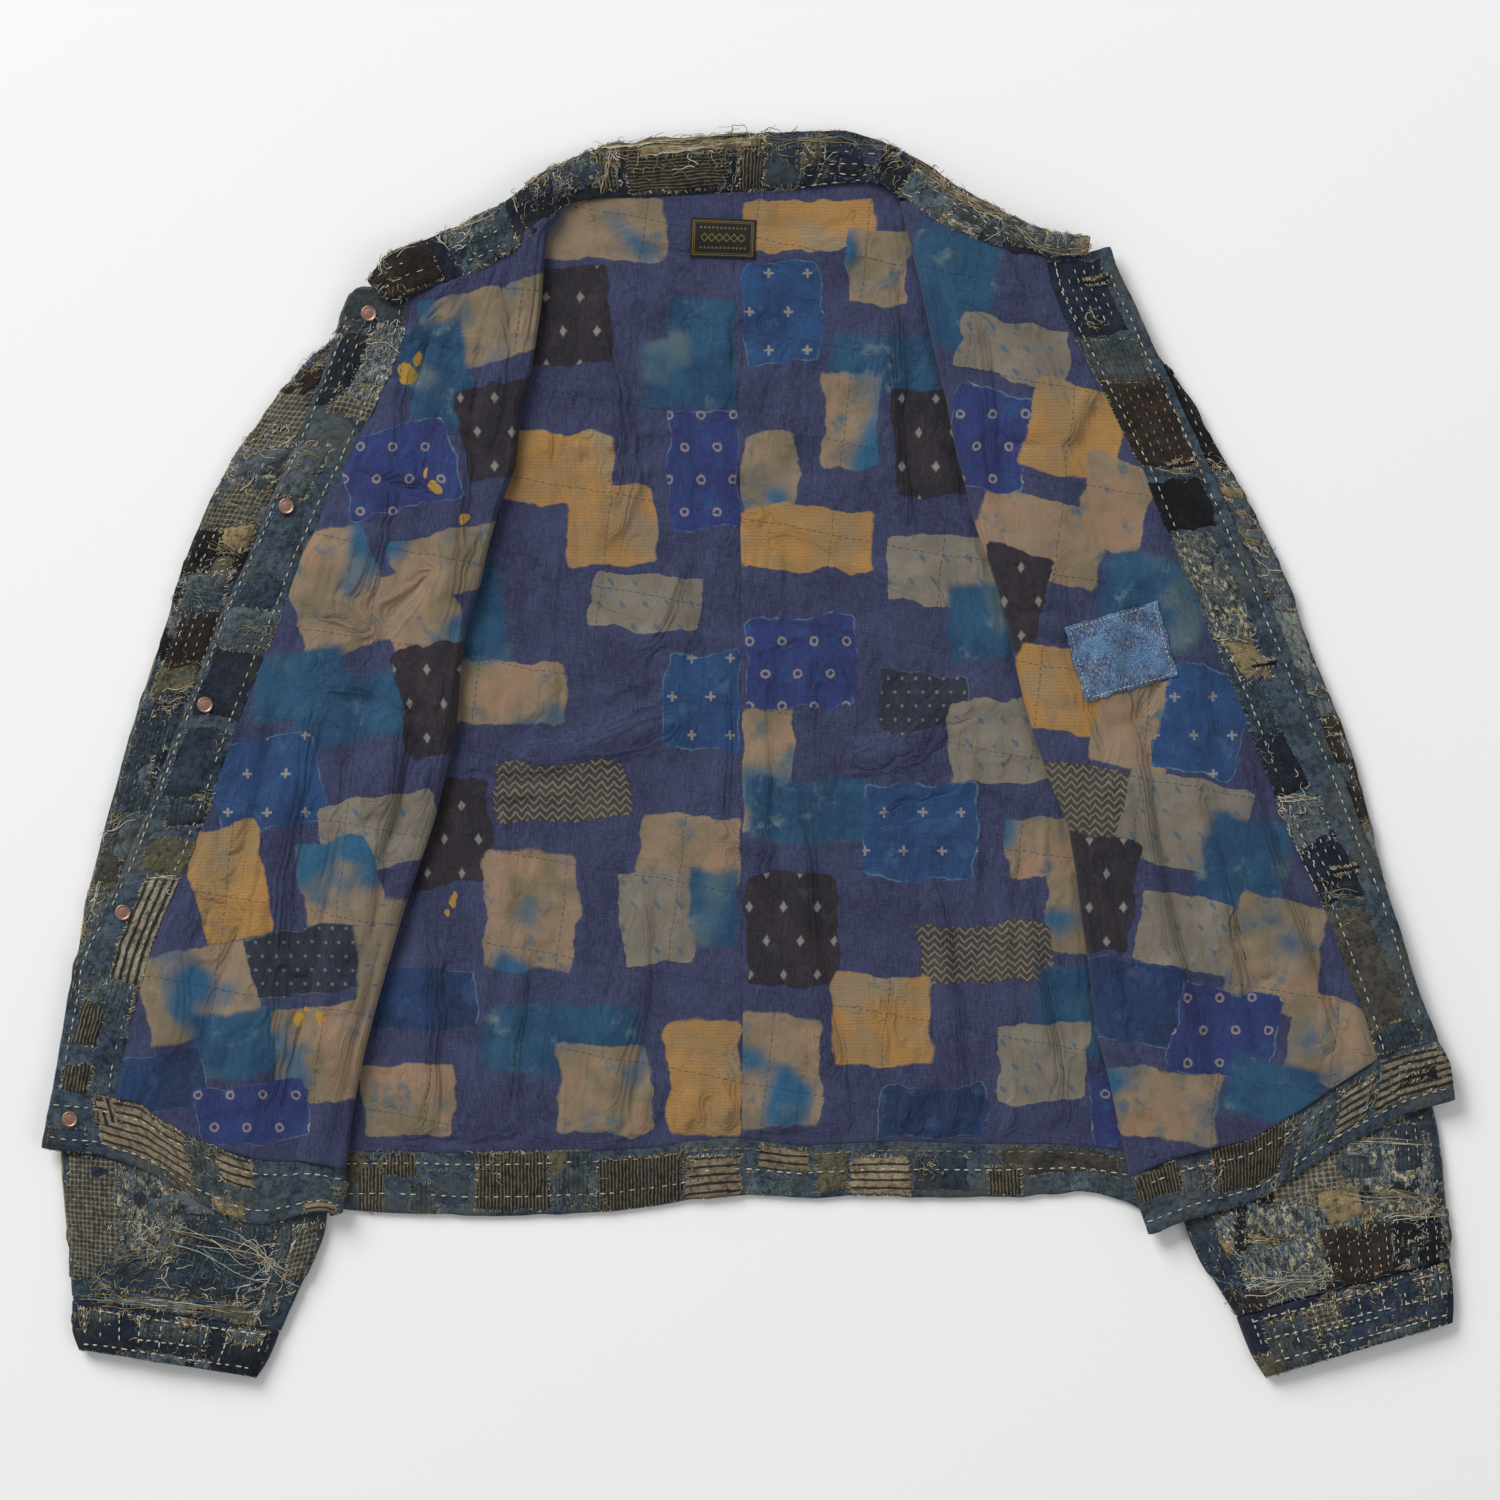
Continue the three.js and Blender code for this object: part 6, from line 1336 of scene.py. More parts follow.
# outer strip and lower sleeve, wearer's right
sew("sleeve_right", 111, [
    [308, 380, 34, 40, 8, "brown", 1.2, 1.3, "tan"], [282, 420, 60, 74, 6, "check", 0.9, 1.0, "tan"], [264, 462, 74, 34, -6, "greyblue", 1.4, 1.6, "cream"],
    [236, 502, 62, 60, 4, "check", 1.0, 1.0, "tan"], [238, 540, 30, 26, -10, "tan", 1.8, 1.3, "tan"], [208, 556, 46, 52, 3, "black", 0.9, 0.7, "dark"],
    [204, 592, 48, 40, -4, "greyblue", 1.4, 1.6, "cream"], [193, 642, 54, 66, 2, "brown", 0.9, 0.7, "tan"], [176, 682, 48, 34, -5, "olive", 1.5, 1.6, "tan"],
    [152, 758, 64, 120, 0, "slate", 0.7, 0.9, "tan"], [162, 772, 20, 46, 2, "navy", 1.1, 1.0, "tan"], [112, 855, 30, 66, 0, "wool", 0.9, 1.0, "blue"],
    [100, 914, 36, 54, 3, "greyblue", 1.2, 1.1, "tan"], [82, 970, 22, 60, 0, "olive", 0.9, 1.0, "tan"], [128, 835, 28, 50, 4, "washed", 1.1, 1.0, "blue"],
    [92, 1222, 62, 136, 3, "check", 0.9, 0.8, "tan"], [152, 1214, 70, 100, 2, "abraded", 0.8, 0.9, "tan"], [222, 1262, 92, 96, 3, "slate", 0.9, 0.9, "blue"],
    [302, 1250, 34, 50, -14, "check", 1.0, 0.8, "tan"], [140, 1282, 88, 40, 3, "indigo", 1.1, 1.0, "blue"], [278, 1268, 20, 84, -10, "ends", 1.5, 1.5, "cream"], [160, 1300, 60, 16, 6, "ends", 1.6, 1.6, "tan"], [236, 1312, 44, 14, 6, "olive", 1.6, 1.6, "tan"]],
    frays=[[300, 355, 30, 10, "tan", 24], [262, 450, 40, 14, "cream", 32], [232, 478, 30, 12, "mixed", 26], [234, 548, 12, 16, "tan", 12], [200, 585, 46, 10, "mixed", 26], [180, 600, 24, 9, "blue", 18],
        [192, 688, 26, 14, "tan", 24], [166, 700, 26, 9, "tan", 20], [160, 775, 24, 9, "tan", 18], [112, 822, 24, 10, "tan", 18], [92, 905, 22, 18, "mixed", 16], [80, 940, 20, 8, "tan", 14],
        [150, 1240, 26, 14, "cream", 26], [178, 1248, 16, 16, "cream", 16], [110, 1280, 26, 16, "tan", 20], [270, 1262, 30, 26, "cream", 20], [236, 1312, 40, 14, "mixed", 34], [120, 1300, 44, 9, "tan", 40], [190, 1300, 44, 9, "tan", 46]],
    fields=[[208, 556, 40, 46, 3, dict(gap=7.3, pitch=6.5, lift=1.5)], [193, 642, 48, 60, 2, dict(gap=7.3, pitch=6.5, lift=1.5)], [152, 758, 58, 114, 0, dict(gap=7.0, pitch=5.5, thick=0.26, lift=1.3, colour="blue")],
        [150, 1206, 66, 86, 2, dict(gap=7.3, pitch=6.0, thick=0.42, lift=1.6, colour="tan")], [222, 1262, 86, 90, 3, dict(gap=7.7, pitch=5.2, thick=0.26, lift=1.5, colour="blue")]],
    scraps=[[285, 345, 345, 400, 10, 26, ["brown", "olive", "indigo", "ends"], 1.3, "tan", (0.5, 1.2), -30], [225, 430, 300, 520, 14, 30, ["check", "ends", "greyblue", "olive"], 1.3, "tan", (0.5, 1.2), -30], [170, 540, 240, 660, 12, 30, ["black", "brown", "greyblue", "olive"], 1.2, "tan", (0.5, 1.2), -30],
        [115, 690, 190, 830, 12, 34, ["slate", "washed", "indigo", "ends"], 1.0, "blue", (0.4, 0.9), -30], [75, 830, 125, 1000, 14, 24, ["wool", "washed", "greyblue", "olive"], 1.2, "tan", (0.5, 1.1), -20],
        [70, 1160, 290, 1290, 26, 40, ["washed", "indigo", "slate", "greyblue", "ends"], 1.0, "tan", (0.4, 0.9), 20]],
    shags=[[0.03, 0.0, 0.5, 0.45, 260, 6], [0.03, 0.45, 0.35, 0.8, 200, 5], [0.02, 0.84, 0.98, 0.995, 640, 5]])
# outer strip and lower sleeve, wearer's left
sew("sleeve_left", 112, [
    [1192, 420, 44, 110, -6, "black", 0.9, 0.5, "dark"], [1230, 500, 50, 60, -5, "washed", 1.0, 1.2, "tan"], [1228, 494, 40, 16, -4, "tan", 1.6, 1.3, "tan"], [1256, 572, 72, 100, -4, "washed", 0.8, 1.1, "cream"],
    [1290, 640, 44, 70, -5, "pale", 1.2, 1.2, "tan"], [1312, 692, 44, 56, -4, "greyblue", 1.3, 1.4, "cream"], [1344, 770, 44, 118, -4, "brown", 1.0, 0.7, "tan"], [1374, 856, 30, 66, -3, "pale", 1.1, 1.2, "tan"],
    [1396, 940, 44, 90, -3, "wool", 0.8, 0.7, "olive"], [1418, 1010, 40, 60, -3, "wool", 0.9, 0.7, "olive"],
    [1250, 1222, 56, 56, -6, "black", 0.8, 0.8, "dark"], [1310, 1178, 84, 58, -4, "check", 0.9, 1.2, "olive"], [1394, 1172, 92, 84, -3, "abraded", 0.9, 1.4, "tan"], [1406, 1148, 36, 52, -4, "slate", 1.4, 0.7, "cream"],
    [1300, 1222, 106, 40, -14, "abraded", 1.3, 1.7, "tan"], [1284, 1268, 84, 56, -8, "abraded", 1.1, 1.6, "cream"], [1358, 1250, 68, 62, -8, "brown", 1.3, 0.9, "tan"], [1416, 1240, 60, 56, -8, "black", 1.1, 0.9, "blue"],
    [1344, 1284, 60, 32, -8, "brown", 1.2, 0.8, "tan"], [1254, 1316, 42, 50, -10, "brown", 1.3, 0.9, "blue"], [1206, 1246, 40, 60, -10, "indigo", 0.8, 1.0, "olive"], [1340, 1204, 40, 40, 8, "tan", 1.5, 1.5, "tan"]],
    frays=[[1216, 470, 26, 12, "cream", 18], [1240, 530, 40, 16, "tan", 26], [1256, 590, 30, 20, "cream", 20], [1300, 690, 34, 9, "cream", 26], [1316, 730, 24, 9, "mixed", 18], [1372, 822, 14, 7, "tan", 8], [1386, 884, 26, 8, "mixed", 18],
        [1370, 1140, 34, 10, "cream", 24], [1390, 1200, 40, 10, "tan", 30], [1330, 1190, 34, 10, "tan", 26], [1262, 1240, 24, 12, "tan", 20], [1290, 1280, 44, 12, "cream", 26], [1320, 1270, 30, 12, "mixed", 16], [1420, 1215, 36, 9, "cream", 26],
        [1240, 1290, 30, 11, "blue", 20], [1366, 1216, 26, 9, "tan", 20]],
    fields=[[1344, 770, 30, 112, -4, dict(gap=8.8, pitch=7.3, lift=1.7)], [1192, 420, 22, 100, -6, dict(gap=9.9, pitch=7.8, lift=1.6)], [1256, 572, 60, 90, -4, dict(gap=6.2, pitch=5.2, thick=0.26, colour="tan", lift=1.5)],
        [1250, 1222, 50, 50, -6, dict(gap=6.8, pitch=6.0, lift=1.5, thick=0.3)], [1358, 1250, 62, 56, -8, dict(gap=5.7, pitch=5.5, lift=2.0)], 
        [1416, 1240, 54, 50, -8, dict(gap=7.0, pitch=6.5, lift=1.8)], [1254, 1316, 36, 44, -10, dict(gap=7.3, pitch=6.5, lift=1.9)], [1406, 1148, 32, 46, -4, dict(gap=7.0, pitch=6.5, lift=2.0)], [1344, 1284, 54, 26, -8, dict(gap=6.8, pitch=6.5, lift=1.9)]],
    scraps=[[1165, 380, 1210, 500, 8, 24, ["black", "indigo", "greyblue"], 1.0, "blue", (0.5, 1.0), 30], [1215, 500, 1290, 660, 14, 32, WORN, 1.3, "tan", (0.5, 1.2), 40], [1290, 660, 1350, 820, 12, 30, ["greyblue", "washed", "pale", "indigo"], 1.3, "cream", (0.5, 1.2), 40],
        [1360, 820, 1400, 960, 8, 26, ["pale", "wool", "washed"], 1.1, "tan", (0.4, 1.0), 30], [1215, 1130, 1420, 1280, 40, 38, ["abraded", "ends", "abraded", "olive", "tan", "greyblue", "navy", "abraded"], 1.5, "tan", (0.5, 1.2), 20]],
    shags=[[0.03, 0.0, 0.5, 0.5, 280, 6], [0.03, 0.5, 0.35, 0.8, 190, 5], [0.02, 0.82, 0.98, 0.995, 1150, 5.5]])
EDGES = [[0.004, 0.24, 0.996, 0.22, dict(pitch=6.6, lift=1.1)], [0.01, 0.80, 0.99, 0.80, dict(pitch=6.8, lift=1.1)]]
sew("hem_right", 121, [
    [66, 1140, 40, 30, 0, "indigo", 0.4, 0.8, "olive"], [146, 1132, 96, 50, 0, "beige|", 0.9, 1.3, "tan"], [108, 1110, 24, 40, 0, "hickory", 1.1, 1.2, "tan"], [238, 1168, 36, 30, 0, "beige|", 0.9, 1.0, "tan"],
    [230, 1208, 36, 20, 0, "tan", 1.0, 1.2, "tan"], [322, 1216, 42, 28, 0, "beige|", 0.9, 1.1, "tan"], [200, 1156, 26, 34, 0, "ends", 0.8, 1.2, "olive"], [184, 1178, 40, 16, 0, "olive", 0.9, 1.0, "olive"]],
    lines=EDGES, frays=[[200, 1150, 30, 9, "olive", 22], [160, 1110, 26, 8, "tan", 30], [232, 1196, 26, 9, "tan", 20], [340, 1190, 26, 9, "olive", 12], [215, 1140, 20, 8, "tan", 16]])
sew("hem_left", 122, [
    [1156, 1182, 50, 26, 0, "pin", 0.9, 1.0, "tan"], [1192, 1176, 26, 26, 0, "ends", 0.8, 0.9, "olive"], [1250, 1158, 70, 56, 0, "pin", 0.9, 1.2, "tan"], [1316, 1120, 44, 34, 0, "washed", 0.7, 1.2, "tan"],
    [1354, 1104, 36, 38, 0, "hickory|", 1.0, 1.0, "tan"], [1412, 1072, 76, 46, 0, "hickory|", 1.0, 1.2, "tan"], [1414, 1074, 46, 18, 0, "black", 1.4, 0.9, "tan"], [1284, 1160, 20, 40, 0, "ends", 1.1, 1.2, "tan"]],
    lines=EDGES, frays=[[1290, 1130, 26, 9, "tan", 20], [1215, 1170, 26, 8, "tan", 18], [1372, 1090, 26, 9, "tan", 16], [1440, 1046, 26, 8, "tan", 16], [1270, 1188, 20, 8, "tan", 20]])
sew("hem_back", 123, [
    [372, 1190, 24, 44, 0, "pin", 0.8, 1.0, "olive"], [398, 1164, 34, 20, 0, "pin", 0.9, 1.1, "olive"], [356, 1166, 20, 26, 0, "olive", 0.7, 0.9, "olive"], [514, 1182, 72, 50, 0, "pin", 0.8, 1.0, "tan"], [450, 1188, 40, 30, 0, "indigo", 0.5, 0.7, "olive"],
    [572, 1176, 36, 50, 0, "ends", 0.7, 1.0, "olive"], [640, 1184, 84, 48, 0, "pin", 0.8, 1.0, "tan"], [712, 1178, 54, 44, 0, "beige|", 0.9, 1.0, "tan"], [784, 1160, 52, 22, 0, "beige|", 0.9, 0.9, "tan"], [768, 1186, 44, 24, 0, "washed", 0.6, 1.0, "olive"],
    [832, 1172, 30, 44, 0, "olive", 0.7, 1.0, "olive"], [880, 1176, 58, 40, 0, "beige|", 0.9, 1.0, "tan"], [940, 1174, 52, 34, 0, "indigo", 0.5, 0.7, "olive"], [1004, 1180, 36, 30, 0, "pin", 0.8, 0.9, "tan"], [1060, 1160, 116, 28, 0, "wool", 0.7, 0.6, "olive"],
    [1094, 1182, 40, 24, 0, "washed", 0.7, 1.0, "olive"], [424, 1196, 26, 26, 0, "ends", 0.6, 0.9, "olive"], [560, 1160, 22, 26, 0, "olive", 0.8, 0.8, "olive"]],
    lines=[[0.004, 0.20, 0.3, 0.18, dict(pitch=6.6, lift=1.0)], [0.3, 0.18, 0.996, 0.16, dict(pitch=6.6, lift=1.0, colour="tan", thick=0.36)], [0.01, 0.72, 0.45, 0.70, dict(pitch=6.8, lift=1.0)], [0.45, 0.55, 0.99, 0.48, dict(pitch=6.8, lift=1.0, thick=0.36)]],
    frays=[[400, 1152, 24, 8, "olive", 20], [490, 1158, 20, 8, "tan", 18], [690, 1160, 24, 8, "tan", 18], [850, 1160, 24, 8, "olive", 18], [930, 1166, 20, 8, "tan", 14], [590, 1200, 16, 8, "olive", 16]])
# cuffs: white columns and rows of stitches, and a worn upper edge
for side, seed, sign in (("right", 131, 1), ("left", 132, -1)):
    t = Trim("cuff_" + side, seed)
    if side == "right":
        for row in ([120, 1342, 110, 52, 0, "navy", 0.5, 0.5, "blue"], [222, 1352, 92, 50, 0, "navy", 0.6, 0.6, "blue"], [176, 1330, 60, 22, 0, "ends", 1.0, 1.4, "tan"], [104, 1316, 34, 12, 0, "ends", 1.1, 1.5, "tan"], [246, 1334, 30, 14, 0, "washed", 1.1, 1.5, "tan"], [150, 1366, 60, 10, 0, "ends", 0.8, 1.0, "olive"], [180, 1362, 56, 20, 0, "washed", 0.9, 0.9, "olive"]):
            t.patch(*row)
    else:
        for row in ([1420, 1300, 60, 60, 0, "indigo", 0.6, 0.8, "tan"], [1360, 1318, 70, 56, 0, "indigo", 0.6, 0.9, "tan"], [1322, 1318, 34, 30, 0, "check", 1.1, 1.2, "tan"], [1290, 1340, 50, 50, 0, "ends", 0.7, 1.2, "tan"], [1270, 1362, 36, 18, 0, "olive", 1.0, 1.1, "tan"], [1440, 1280, 24, 26, 0, "ends", 1.1, 1.2, "tan"], [1400, 1330, 60, 16, 0, "ends", 1.0, 1.1, "tan"]):
            t.patch(*row)
    for i in range(10):
        u = 0.07 + i * 0.096
        low = t.r.uniform(0.55, 0.9)
        t.run(u, 0.04, u, low, 5.0, 0.58, 0.42, "cream", 1.5, 0.4)
    for v in ((0.12, 0.86) if side == "right" else (0.14, 0.48, 0.84)):
        t.run(0.03, v, 0.97, v - 0.02, 6.2, 0.56, 0.42, "cream", 1.5, 0.6)
    t.run(0.35, 0.58, 0.62, 0.56, 5.2, 0.6, 0.48, "cream", 1.5, 0.4)
    t.shag(0.02, 0.0, 0.98, 0.25, 320, 5, "tan")
    t.shag(0.02, 0.1, 0.98, 0.95, 120, 4, "mixed")
    t.done()
# collar: across the facing first, along it second
sew("collar", 141, [
    [406, 270, 44, 62, 0, "brown", 0.9, 0.6, "tan"], [484, 244, 50, 66, 0, "washed", 0.9, 1.3, "tan"], [542, 208, 44, 46, 0, "navy", 1.0, 0.9, "tan"], [566, 174, 40, 60, 0, "ends", 1.0, 1.5, "tan"],
    [606, 172, 42, 22, 0, "pin|", 1.3, 1.2, "tan"], [678, 172, 40, 104, 0, "pin", 0.9, 0.9, "tan"], [700, 148, 14, 120, 0, "tan", 1.8, 1.7, "tan"], [753, 166, 52, 28, 0, "pin|", 1.4, 1.1, "tan"],
    [784, 160, 52, 40, 0, "indigo", 1.0, 1.2, "olive"], [840, 170, 50, 84, 0, "sashiko", 0.9, 0.8, "blue"], [890, 176, 44, 36, 0, "navy", 1.0, 1.0, "olive"], [930, 196, 40, 52, 0, "washed", 1.0, 1.3, "tan"],
    [980, 212, 38, 60, 0, "slate", 0.9, 1.2, "tan"], [1030, 232, 38, 56, 0, "ends", 1.0, 1.4, "tan"], [1066, 244, 36, 34, 0, "washed", 1.1, 1.4, "tan"], [1100, 264, 42, 36, 0, "tan", 1.3, 1.6, "tan"], [640, 144, 12, 80, 0, "olive", 1.6, 1.6, "olive"]],
    frays=[[380, 262, 24, 8, "mixed", 16], [395, 290, 22, 7, "tan", 18], [456, 240, 20, 12, "cream", 16], [530, 160, 40, 12, "tan", 26], [620, 146, 60, 16, "tan", 36], [700, 142, 60, 18, "tan", 44], [560, 190, 26, 10, "mixed", 16],
        [775, 150, 44, 12, "mixed", 24], [815, 150, 30, 12, "mixed", 16], [900, 160, 36, 12, "tan", 22], [930, 185, 36, 9, "tan", 20], [1000, 215, 40, 9, "mixed", 34], [1060, 232, 40, 9, "tan", 26], [1100, 260, 40, 11, "tan", 20]],
    fields=[[406, 270, 30, 56, 0, dict(gap=8.8, pitch=7.8, lift=1.6)], [484, 244, 40, 50, 0, dict(gap=9.9, pitch=7.3, lift=1.7)], [840, 170, 44, 80, 0, dict(gap=7.3, pitch=7.8, lift=1.7)], [980, 212, 32, 100, 0, dict(gap=8.8, pitch=7.8, lift=1.7)],
        [1050, 238, 32, 60, 0, dict(gap=8.8, pitch=7.8, lift=1.9)]],
    scraps=[[440, 200, 520, 262, 8, 26, WORN, 1.4, "tan", (0.6, 1.3), 20], [540, 150, 600, 190, 7, 26, WORN, 1.4, "tan", (0.6, 1.3), 10], [780, 145, 900, 180, 10, 24, ["navy", "indigo", "olive", "ends"], 1.3, "olive", (0.6, 1.3), 10], [910, 180, 1090, 250, 18, 26, WORN, 1.4, "tan", (0.6, 1.3), 20]],
    shags=[[0.25, 0.02, 0.93, 0.98, 190, 5]])


# ---------------------------------------------------------------- studs, buttonholes and labels
stud = Nodes("stud_metal", 0.42, 0.0, 1.0)
spot = stud.noise(stud.plan(), 1.4, 3, 0.6)
stud.put(stud.bsdf.inputs["Base Color"], stud.mix(stud.step(spot, 0.35, 0.65), rgb("a47a68"), rgb("d0aa9b")))


def disc(centre, normal, profile, n=40):
    """A turned disc: profile is pairs of radius and height in mm."""
    z = np.asarray(normal, float) / np.linalg.norm(normal)
    x = np.cross([0, 1.0, 0], z)
    x /= np.linalg.norm(x)
    y = np.cross(z, x)
    a = np.linspace(0, 2 * math.pi, n, endpoint=False)
    ring = [centre + MM * (r * (np.cos(a)[:, None] * x + np.sin(a)[:, None] * y) + h * z) for r, h in profile]
    v = np.concatenate(ring + [[centre + z * MM * profile[-1][1]], [centre + z * MM * profile[0][1]]])
    f = []
    m = len(profile)
    for j in range(m - 1):
        for i in range(n):
            f.append([j * n + i, j * n + (i + 1) % n, (j + 1) * n + (i + 1) % n, (j + 1) * n + i])
    t = [[(m - 1) * n + i, (m - 1) * n + (i + 1) % n, m * n] for i in range(n)] + [[(i + 1) % n, i, m * n + 1] for i in range(n)]
    return v, f, t


def plain_mesh(name, v, faces, mat):
    me = bpy.data.meshes.new(name)
    me.from_pydata([list(map(float, p)) for p in v], [], faces)
    me.materials.append(mat)
    me.polygons.foreach_set("use_smooth", [True] * len(me.polygons))
    ob = bpy.data.objects.new(name, me)
    bpy.context.scene.collection.objects.link(ob)
    return ob


for i, row in enumerate(BUTTONS):
    px, py = row[0], row[1]
    surf = S["on_hem_right"] if i == 4 else S["on_band_right"]
    u, v = surf.find(px, py)
    p0 = surf.at(u, v, 0.9 * MM)
    pa, pb = surf.at(u + 0.002, v), surf.at(u, v + 0.002)
    centre = np.array([*to_m([px, py]), float(p0[2])])
    vv_, ff_, tt_ = disc(centre, [0.03, 0.02, 1], [(4.7, -1.4), (4.9, 0.2), (5.15, 0.7), (5.1, 1.15), (4.7, 1.45), (4.2, 1.35), (3.9, 1.05), (3.0, 1.2), (1.5, 1.35), (0.35, 1.4)])
    ob = plain_mesh("stud_%d" % (i + 1), vv_, ff_ + tt_, stud.mat)
    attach(ob, "root")
    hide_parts("button_%d" % (i + 1))

t = None
for i, row in enumerate(BUTTONHOLES):
    px, py, turn = row[0], row[1], row[2]
    where = "hem_left" if i == 4 else "band_left"
    t = Trim(where, 150 + i)
    t.patch(px, py, 27 if i < 4 else 20, 5, 0, "black", 2.0, 0.0, "dark")
    for d in (-1, 1):
        t.fringe(*t.surf.find(px, py), 0.0, t.r.uniform(-8.6, 8.6, 34) * MM, t.r.normal(0, 0.3, 34) * MM + d * 1.7 * MM, 0, d, t.r.uniform(1.0, 2.4, 34) * MM, 2.2, "tan")
    for build, mats, what in ((t.patches, BORO_LIST, "slit"), (t.frays, THREAD_LIST, "slit_thread")):
        finish_piece(build.mesh("%s_%d" % (what, i + 1), mats), "trim_denim")


def label(name, cx, cy, w, h, turn, mat, slot, node, height, nx=44, ny=28, thick=0.7, ragged=0.0):
    """A label on the lining: w and h in mm, height(xy) gives the lining's surface."""
    a, b = np.meshgrid(np.linspace(-0.5, 0.5, nx), np.linspace(0.5, -0.5, ny))
    t_ = math.radians(turn)
    la, lb = a * w * MM, b * h * MM
    if ragged:
        la = la + ragged * MM * noise(lb, la * 0 + 3, 0.004, 91) * (np.abs(a) > 0.49) * np.sign(a)
        lb = lb + ragged * MM * noise(la, lb * 0 + 5, 0.004, 92) * (np.abs(b) > 0.49) * np.sign(b)
    c = to_m([cx, cy])
    xy = np.stack([c[0] + la * math.cos(t_) - lb * math.sin(t_), c[1] + la * math.sin(t_) + lb * math.cos(t_)], -1)
    z = height(xy) + 0.35 * MM
    surf = Surf(np.concatenate([xy, z[..., None]], -1))
    build = Build()
    coords = np.stack([la, lb, np.zeros_like(la)], -1)
    shell(build, surf, thick * MM, 0, 0.0, coords=coords, back=True)
    ob = finish_piece(build.mesh(name, [mat]), slot, node)
    return surf, xy, z


def height_on(surfs):
    """Height of the highest of some surfaces over plan points, read from their nearest points."""
    pts = np.concatenate([s_.p[:, :getattr(s_, "cols", s_.p.shape[1])].reshape(-1, 3) for s_ in surfs])
    def f(xy):
        flat = xy.reshape(-1, 2)
        out = np.empty(len(flat))
        lo, hi = flat.min(0) - 0.01, flat.max(0) + 0.01
        near = pts[((pts[:, :2] > lo) & (pts[:, :2] < hi)).all(1)]
        for i, q in enumerate(flat):
            d = ((near[:, :2] - q) ** 2).sum(1)
            k = np.argsort(d)[:4]
            wgt = 1 / (d[k] + 1e-8)
            out[i] = (near[k, 2] * wgt).sum() / wgt.sum()
        return out.reshape(xy.shape[:2])
    return f


back_top = [Surf(S["back_lining_" + side_].p + S["back_lining_" + side_].n * T_LINING) for side_ in ("right", "left")]
woven = Nodes("woven_label", 0.75, 0.15)
p = woven.cloth()
x, y, _ = woven.split(p)
ax, ay = woven.math("ABSOLUTE", x), woven.math("ABSOLUTE", y)
frame_d = woven.math("MINIMUM", woven.math("SUBTRACT", 21.0, ax), woven.math("SUBTRACT", 12.5, ay))
gold = woven.math("MAXIMUM", woven.math("MULTIPLY", woven.step(frame_d, 1.1, 1.3), woven.step(frame_d, 1.7, 1.9, 1.0, 0.0)), woven.math("MULTIPLY", woven.step(frame_d, 2.3, 2.5), woven.step(frame_d, 2.7, 2.9, 1.0, 0.0)))
zig = woven.math("PINGPONG", x, 2.4)
middle = woven.math("MULTIPLY", woven.step(woven.math("ABSOLUTE", woven.math("SUBTRACT", ay, zig)), 0.3, 0.6, 1.0, 0.0), woven.step(ax, 14.2, 14.4, 1.0, 0.0))
bars = woven.math("MULTIPLY", woven.math("MULTIPLY", woven.stripe(x, 2.6, 0.5, 0.1), woven.step(woven.math("ABSOLUTE", woven.math("SUBTRACT", ay, 6.4)), 0.5, 0.7, 1.0, 0.0)), woven.step(ax, 15.6, 15.8, 1.0, 0.0))
gold = woven.math("MAXIMUM", gold, woven.math("MAXIMUM", middle, bars))
weft_ = woven.stripe(y, 0.42, 0.5, 0.3)
colour_ = woven.mix(woven.math("MULTIPLY", gold, 0.85), rgb("1d1a19"), rgb("8d7431"))
woven.finish(woven.mix(woven.math("MULTIPLY", weft_, 0.25), colour_, rgb("0c0b0b")), woven.math("ADD", gold, weft_), 0.4, 0.0002)
surf_l, _, _ = label("neck_label_cloth", 723, 239, 42, 25, -2, woven.mat, "neck_label", "neck_label", height_on(back_top))

patchy = Nodes("side_patch", 0.85, 0.2)
p = patchy.cloth()
x, y, _ = patchy.split(p)
run1 = patchy.noise(patchy.vec("MULTIPLY", p, (2.2, 0.35, 1.0)), 1.0, 3, 0.7)
run2 = patchy.noise(patchy.vec("MULTIPLY", p, (0.35, 2.2, 1.0)), 1.0, 3, 0.7)
pick = patchy.step(patchy.noise(p, 0.09, 2), 0.47, 0.53)
white = patchy.mix(pick, patchy.step(run1, 0.46, 0.60), patchy.step(run2, 0.48, 0.62))
tone = patchy.mix(patchy.step(patchy.noise(p, 0.07, 3), 0.42, 0.58), rgb("1d3f6c"), rgb("3f6f9d"))
patchy.finish(patchy.mix(patchy.math("MULTIPLY", white, 0.62), tone, rgb("b9c8d6")), white, 0.4, 0.0003)
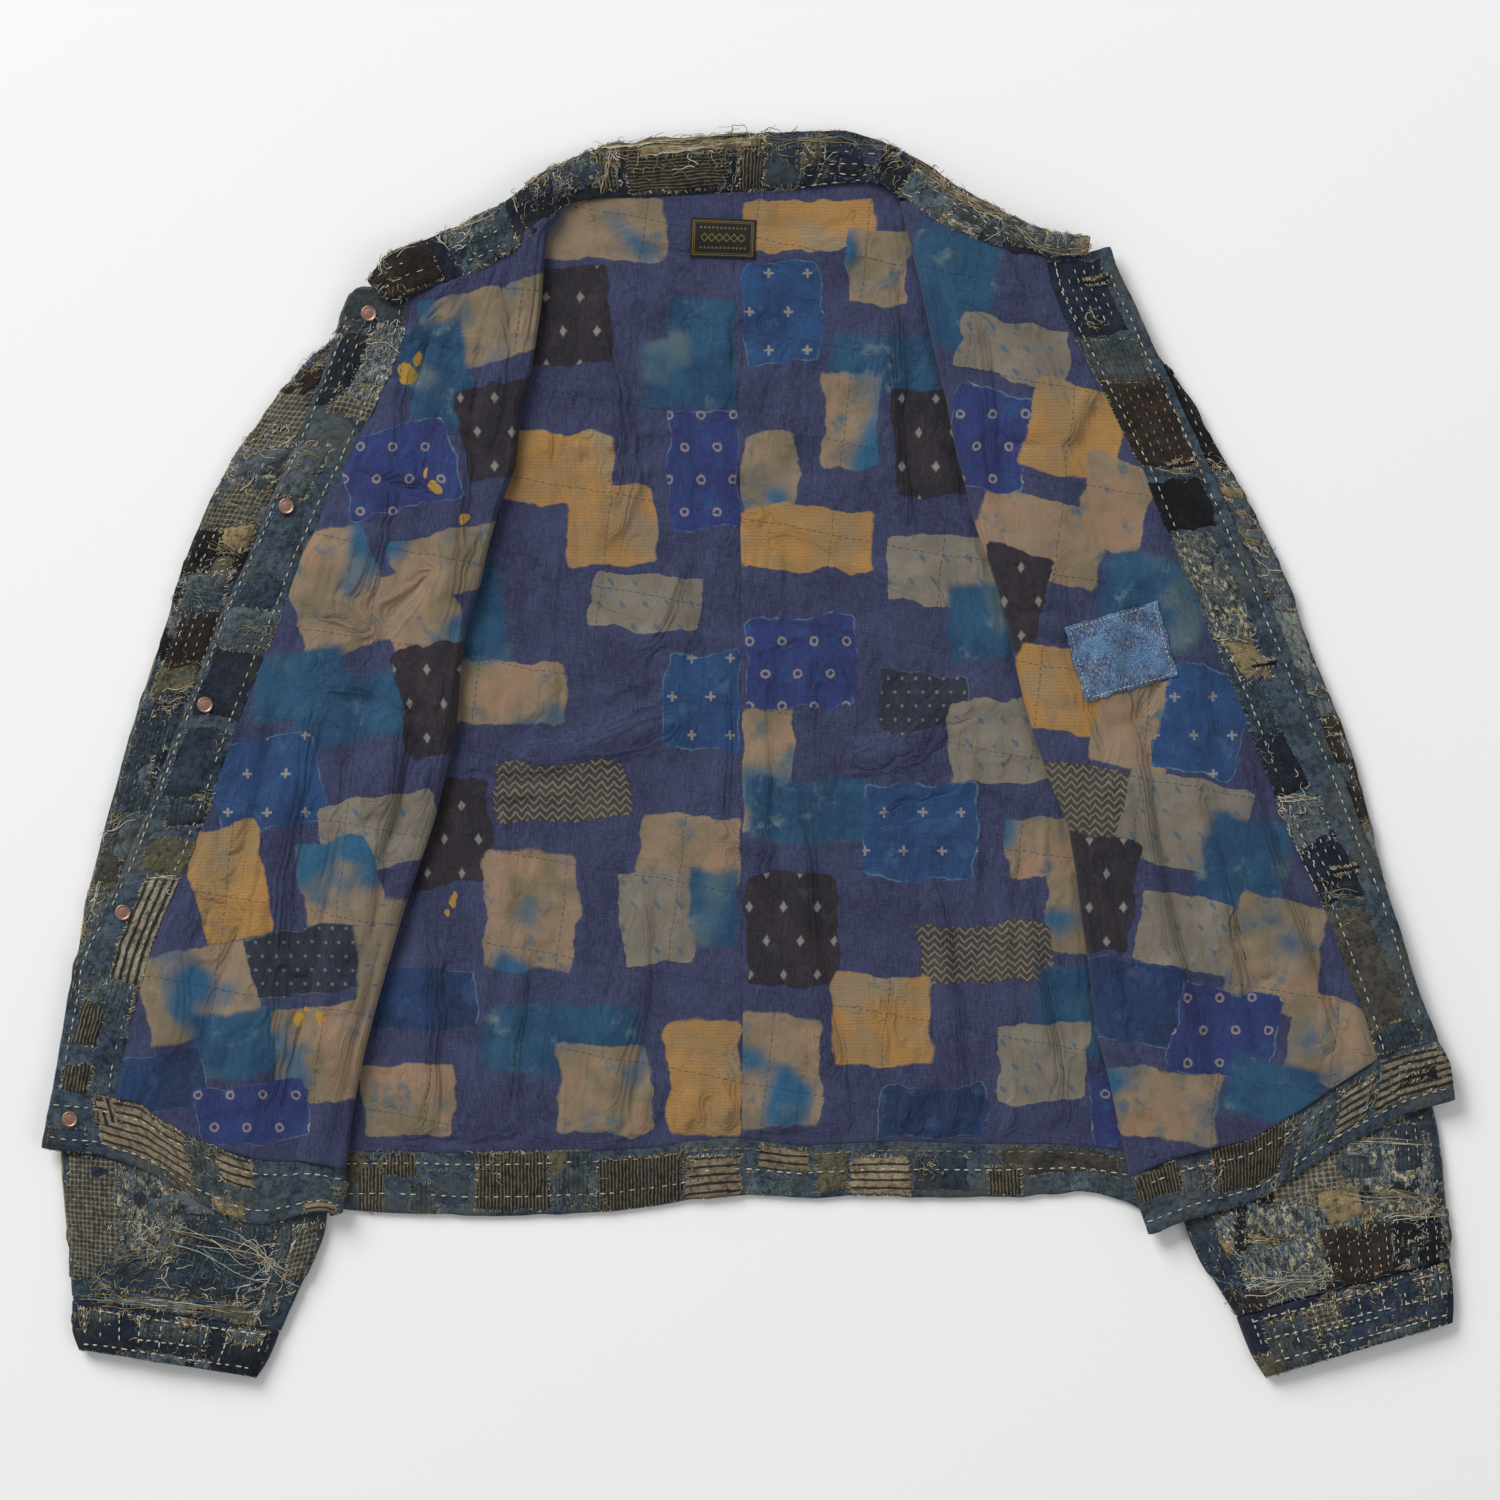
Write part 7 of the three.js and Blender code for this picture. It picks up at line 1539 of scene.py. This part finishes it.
S["on_side_label"], _, _ = label("side_label_cloth", 1120, 652, 62, 50, 16, patchy.mat, "side_label", "side_label", height_on([S["lining_top_left"]]), 44, 36, 1.0, 1.0)
t = Trim("side_label", 160)
for a0, b0, a1, b1 in ((0.04, 0.04, 0.96, 0.04), (0.96, 0.04, 0.96, 0.96), (0.96, 0.96, 0.04, 0.96), (0.04, 0.96, 0.04, 0.04)):
    t.run(a0, b0, a1, b1, 3.0, 0.6, 0.28, "cream", 1.15, 0.1)
t.done("side_label")


# ---------------------------------------------------------------- floor, light and camera
bpy.ops.mesh.primitive_plane_add(size=8, location=(0, 0, -0.0004))
floor = bpy.context.object
floor.name = "floor"
fm = Nodes("floor_paper", 0.95, 0.0)
fm.bsdf.inputs["Base Color"].default_value = (0.872, 0.872, 0.872, 1)
floor.data.materials.append(fm.mat)

scene = bpy.context.scene
world = bpy.data.worlds.new("soft")
scene.world = world
world.use_nodes = True
world.node_tree.nodes["Background"].inputs[0].default_value = (0.975, 0.98, 0.985, 1)
world.node_tree.nodes["Background"].inputs[1].default_value = 0.40


def lamp(name, at, to, size, energy, colour=(1, 1, 1)):
    light = bpy.data.lights.new(name, "AREA")
    light.size, light.energy, light.color = size, energy, colour
    ob = bpy.data.objects.new(name, light)
    scene.collection.objects.link(ob)
    ob.location = at
    d = np.array(to, float) - np.array(at, float)
    import mathutils
    ob.rotation_euler = mathutils.Vector(d).to_track_quat("-Z", "Y").to_euler()
    return ob


lamp("key", (-4.1, 5.1, 4.6), (0, 0, 0), 4.2, 620)
lamp("fill", (5.0, -2.0, 6.0), (0, 0, 0), 4.0, 70)
cam = bpy.data.cameras.new("camera")
cam.sensor_width = 36
cam.lens = 36 * 4.0 / (1500 * K)
cam.clip_end = 50
camera = bpy.data.objects.new("camera", cam)
scene.collection.objects.link(camera)
centre = to_m([750, 750])
camera.location = (centre[0], centre[1], 4.0)
camera.rotation_euler = (0, 0, 0)
scene.camera = camera
scene.view_settings.view_transform = "Standard"
scene.view_settings.look = "None"
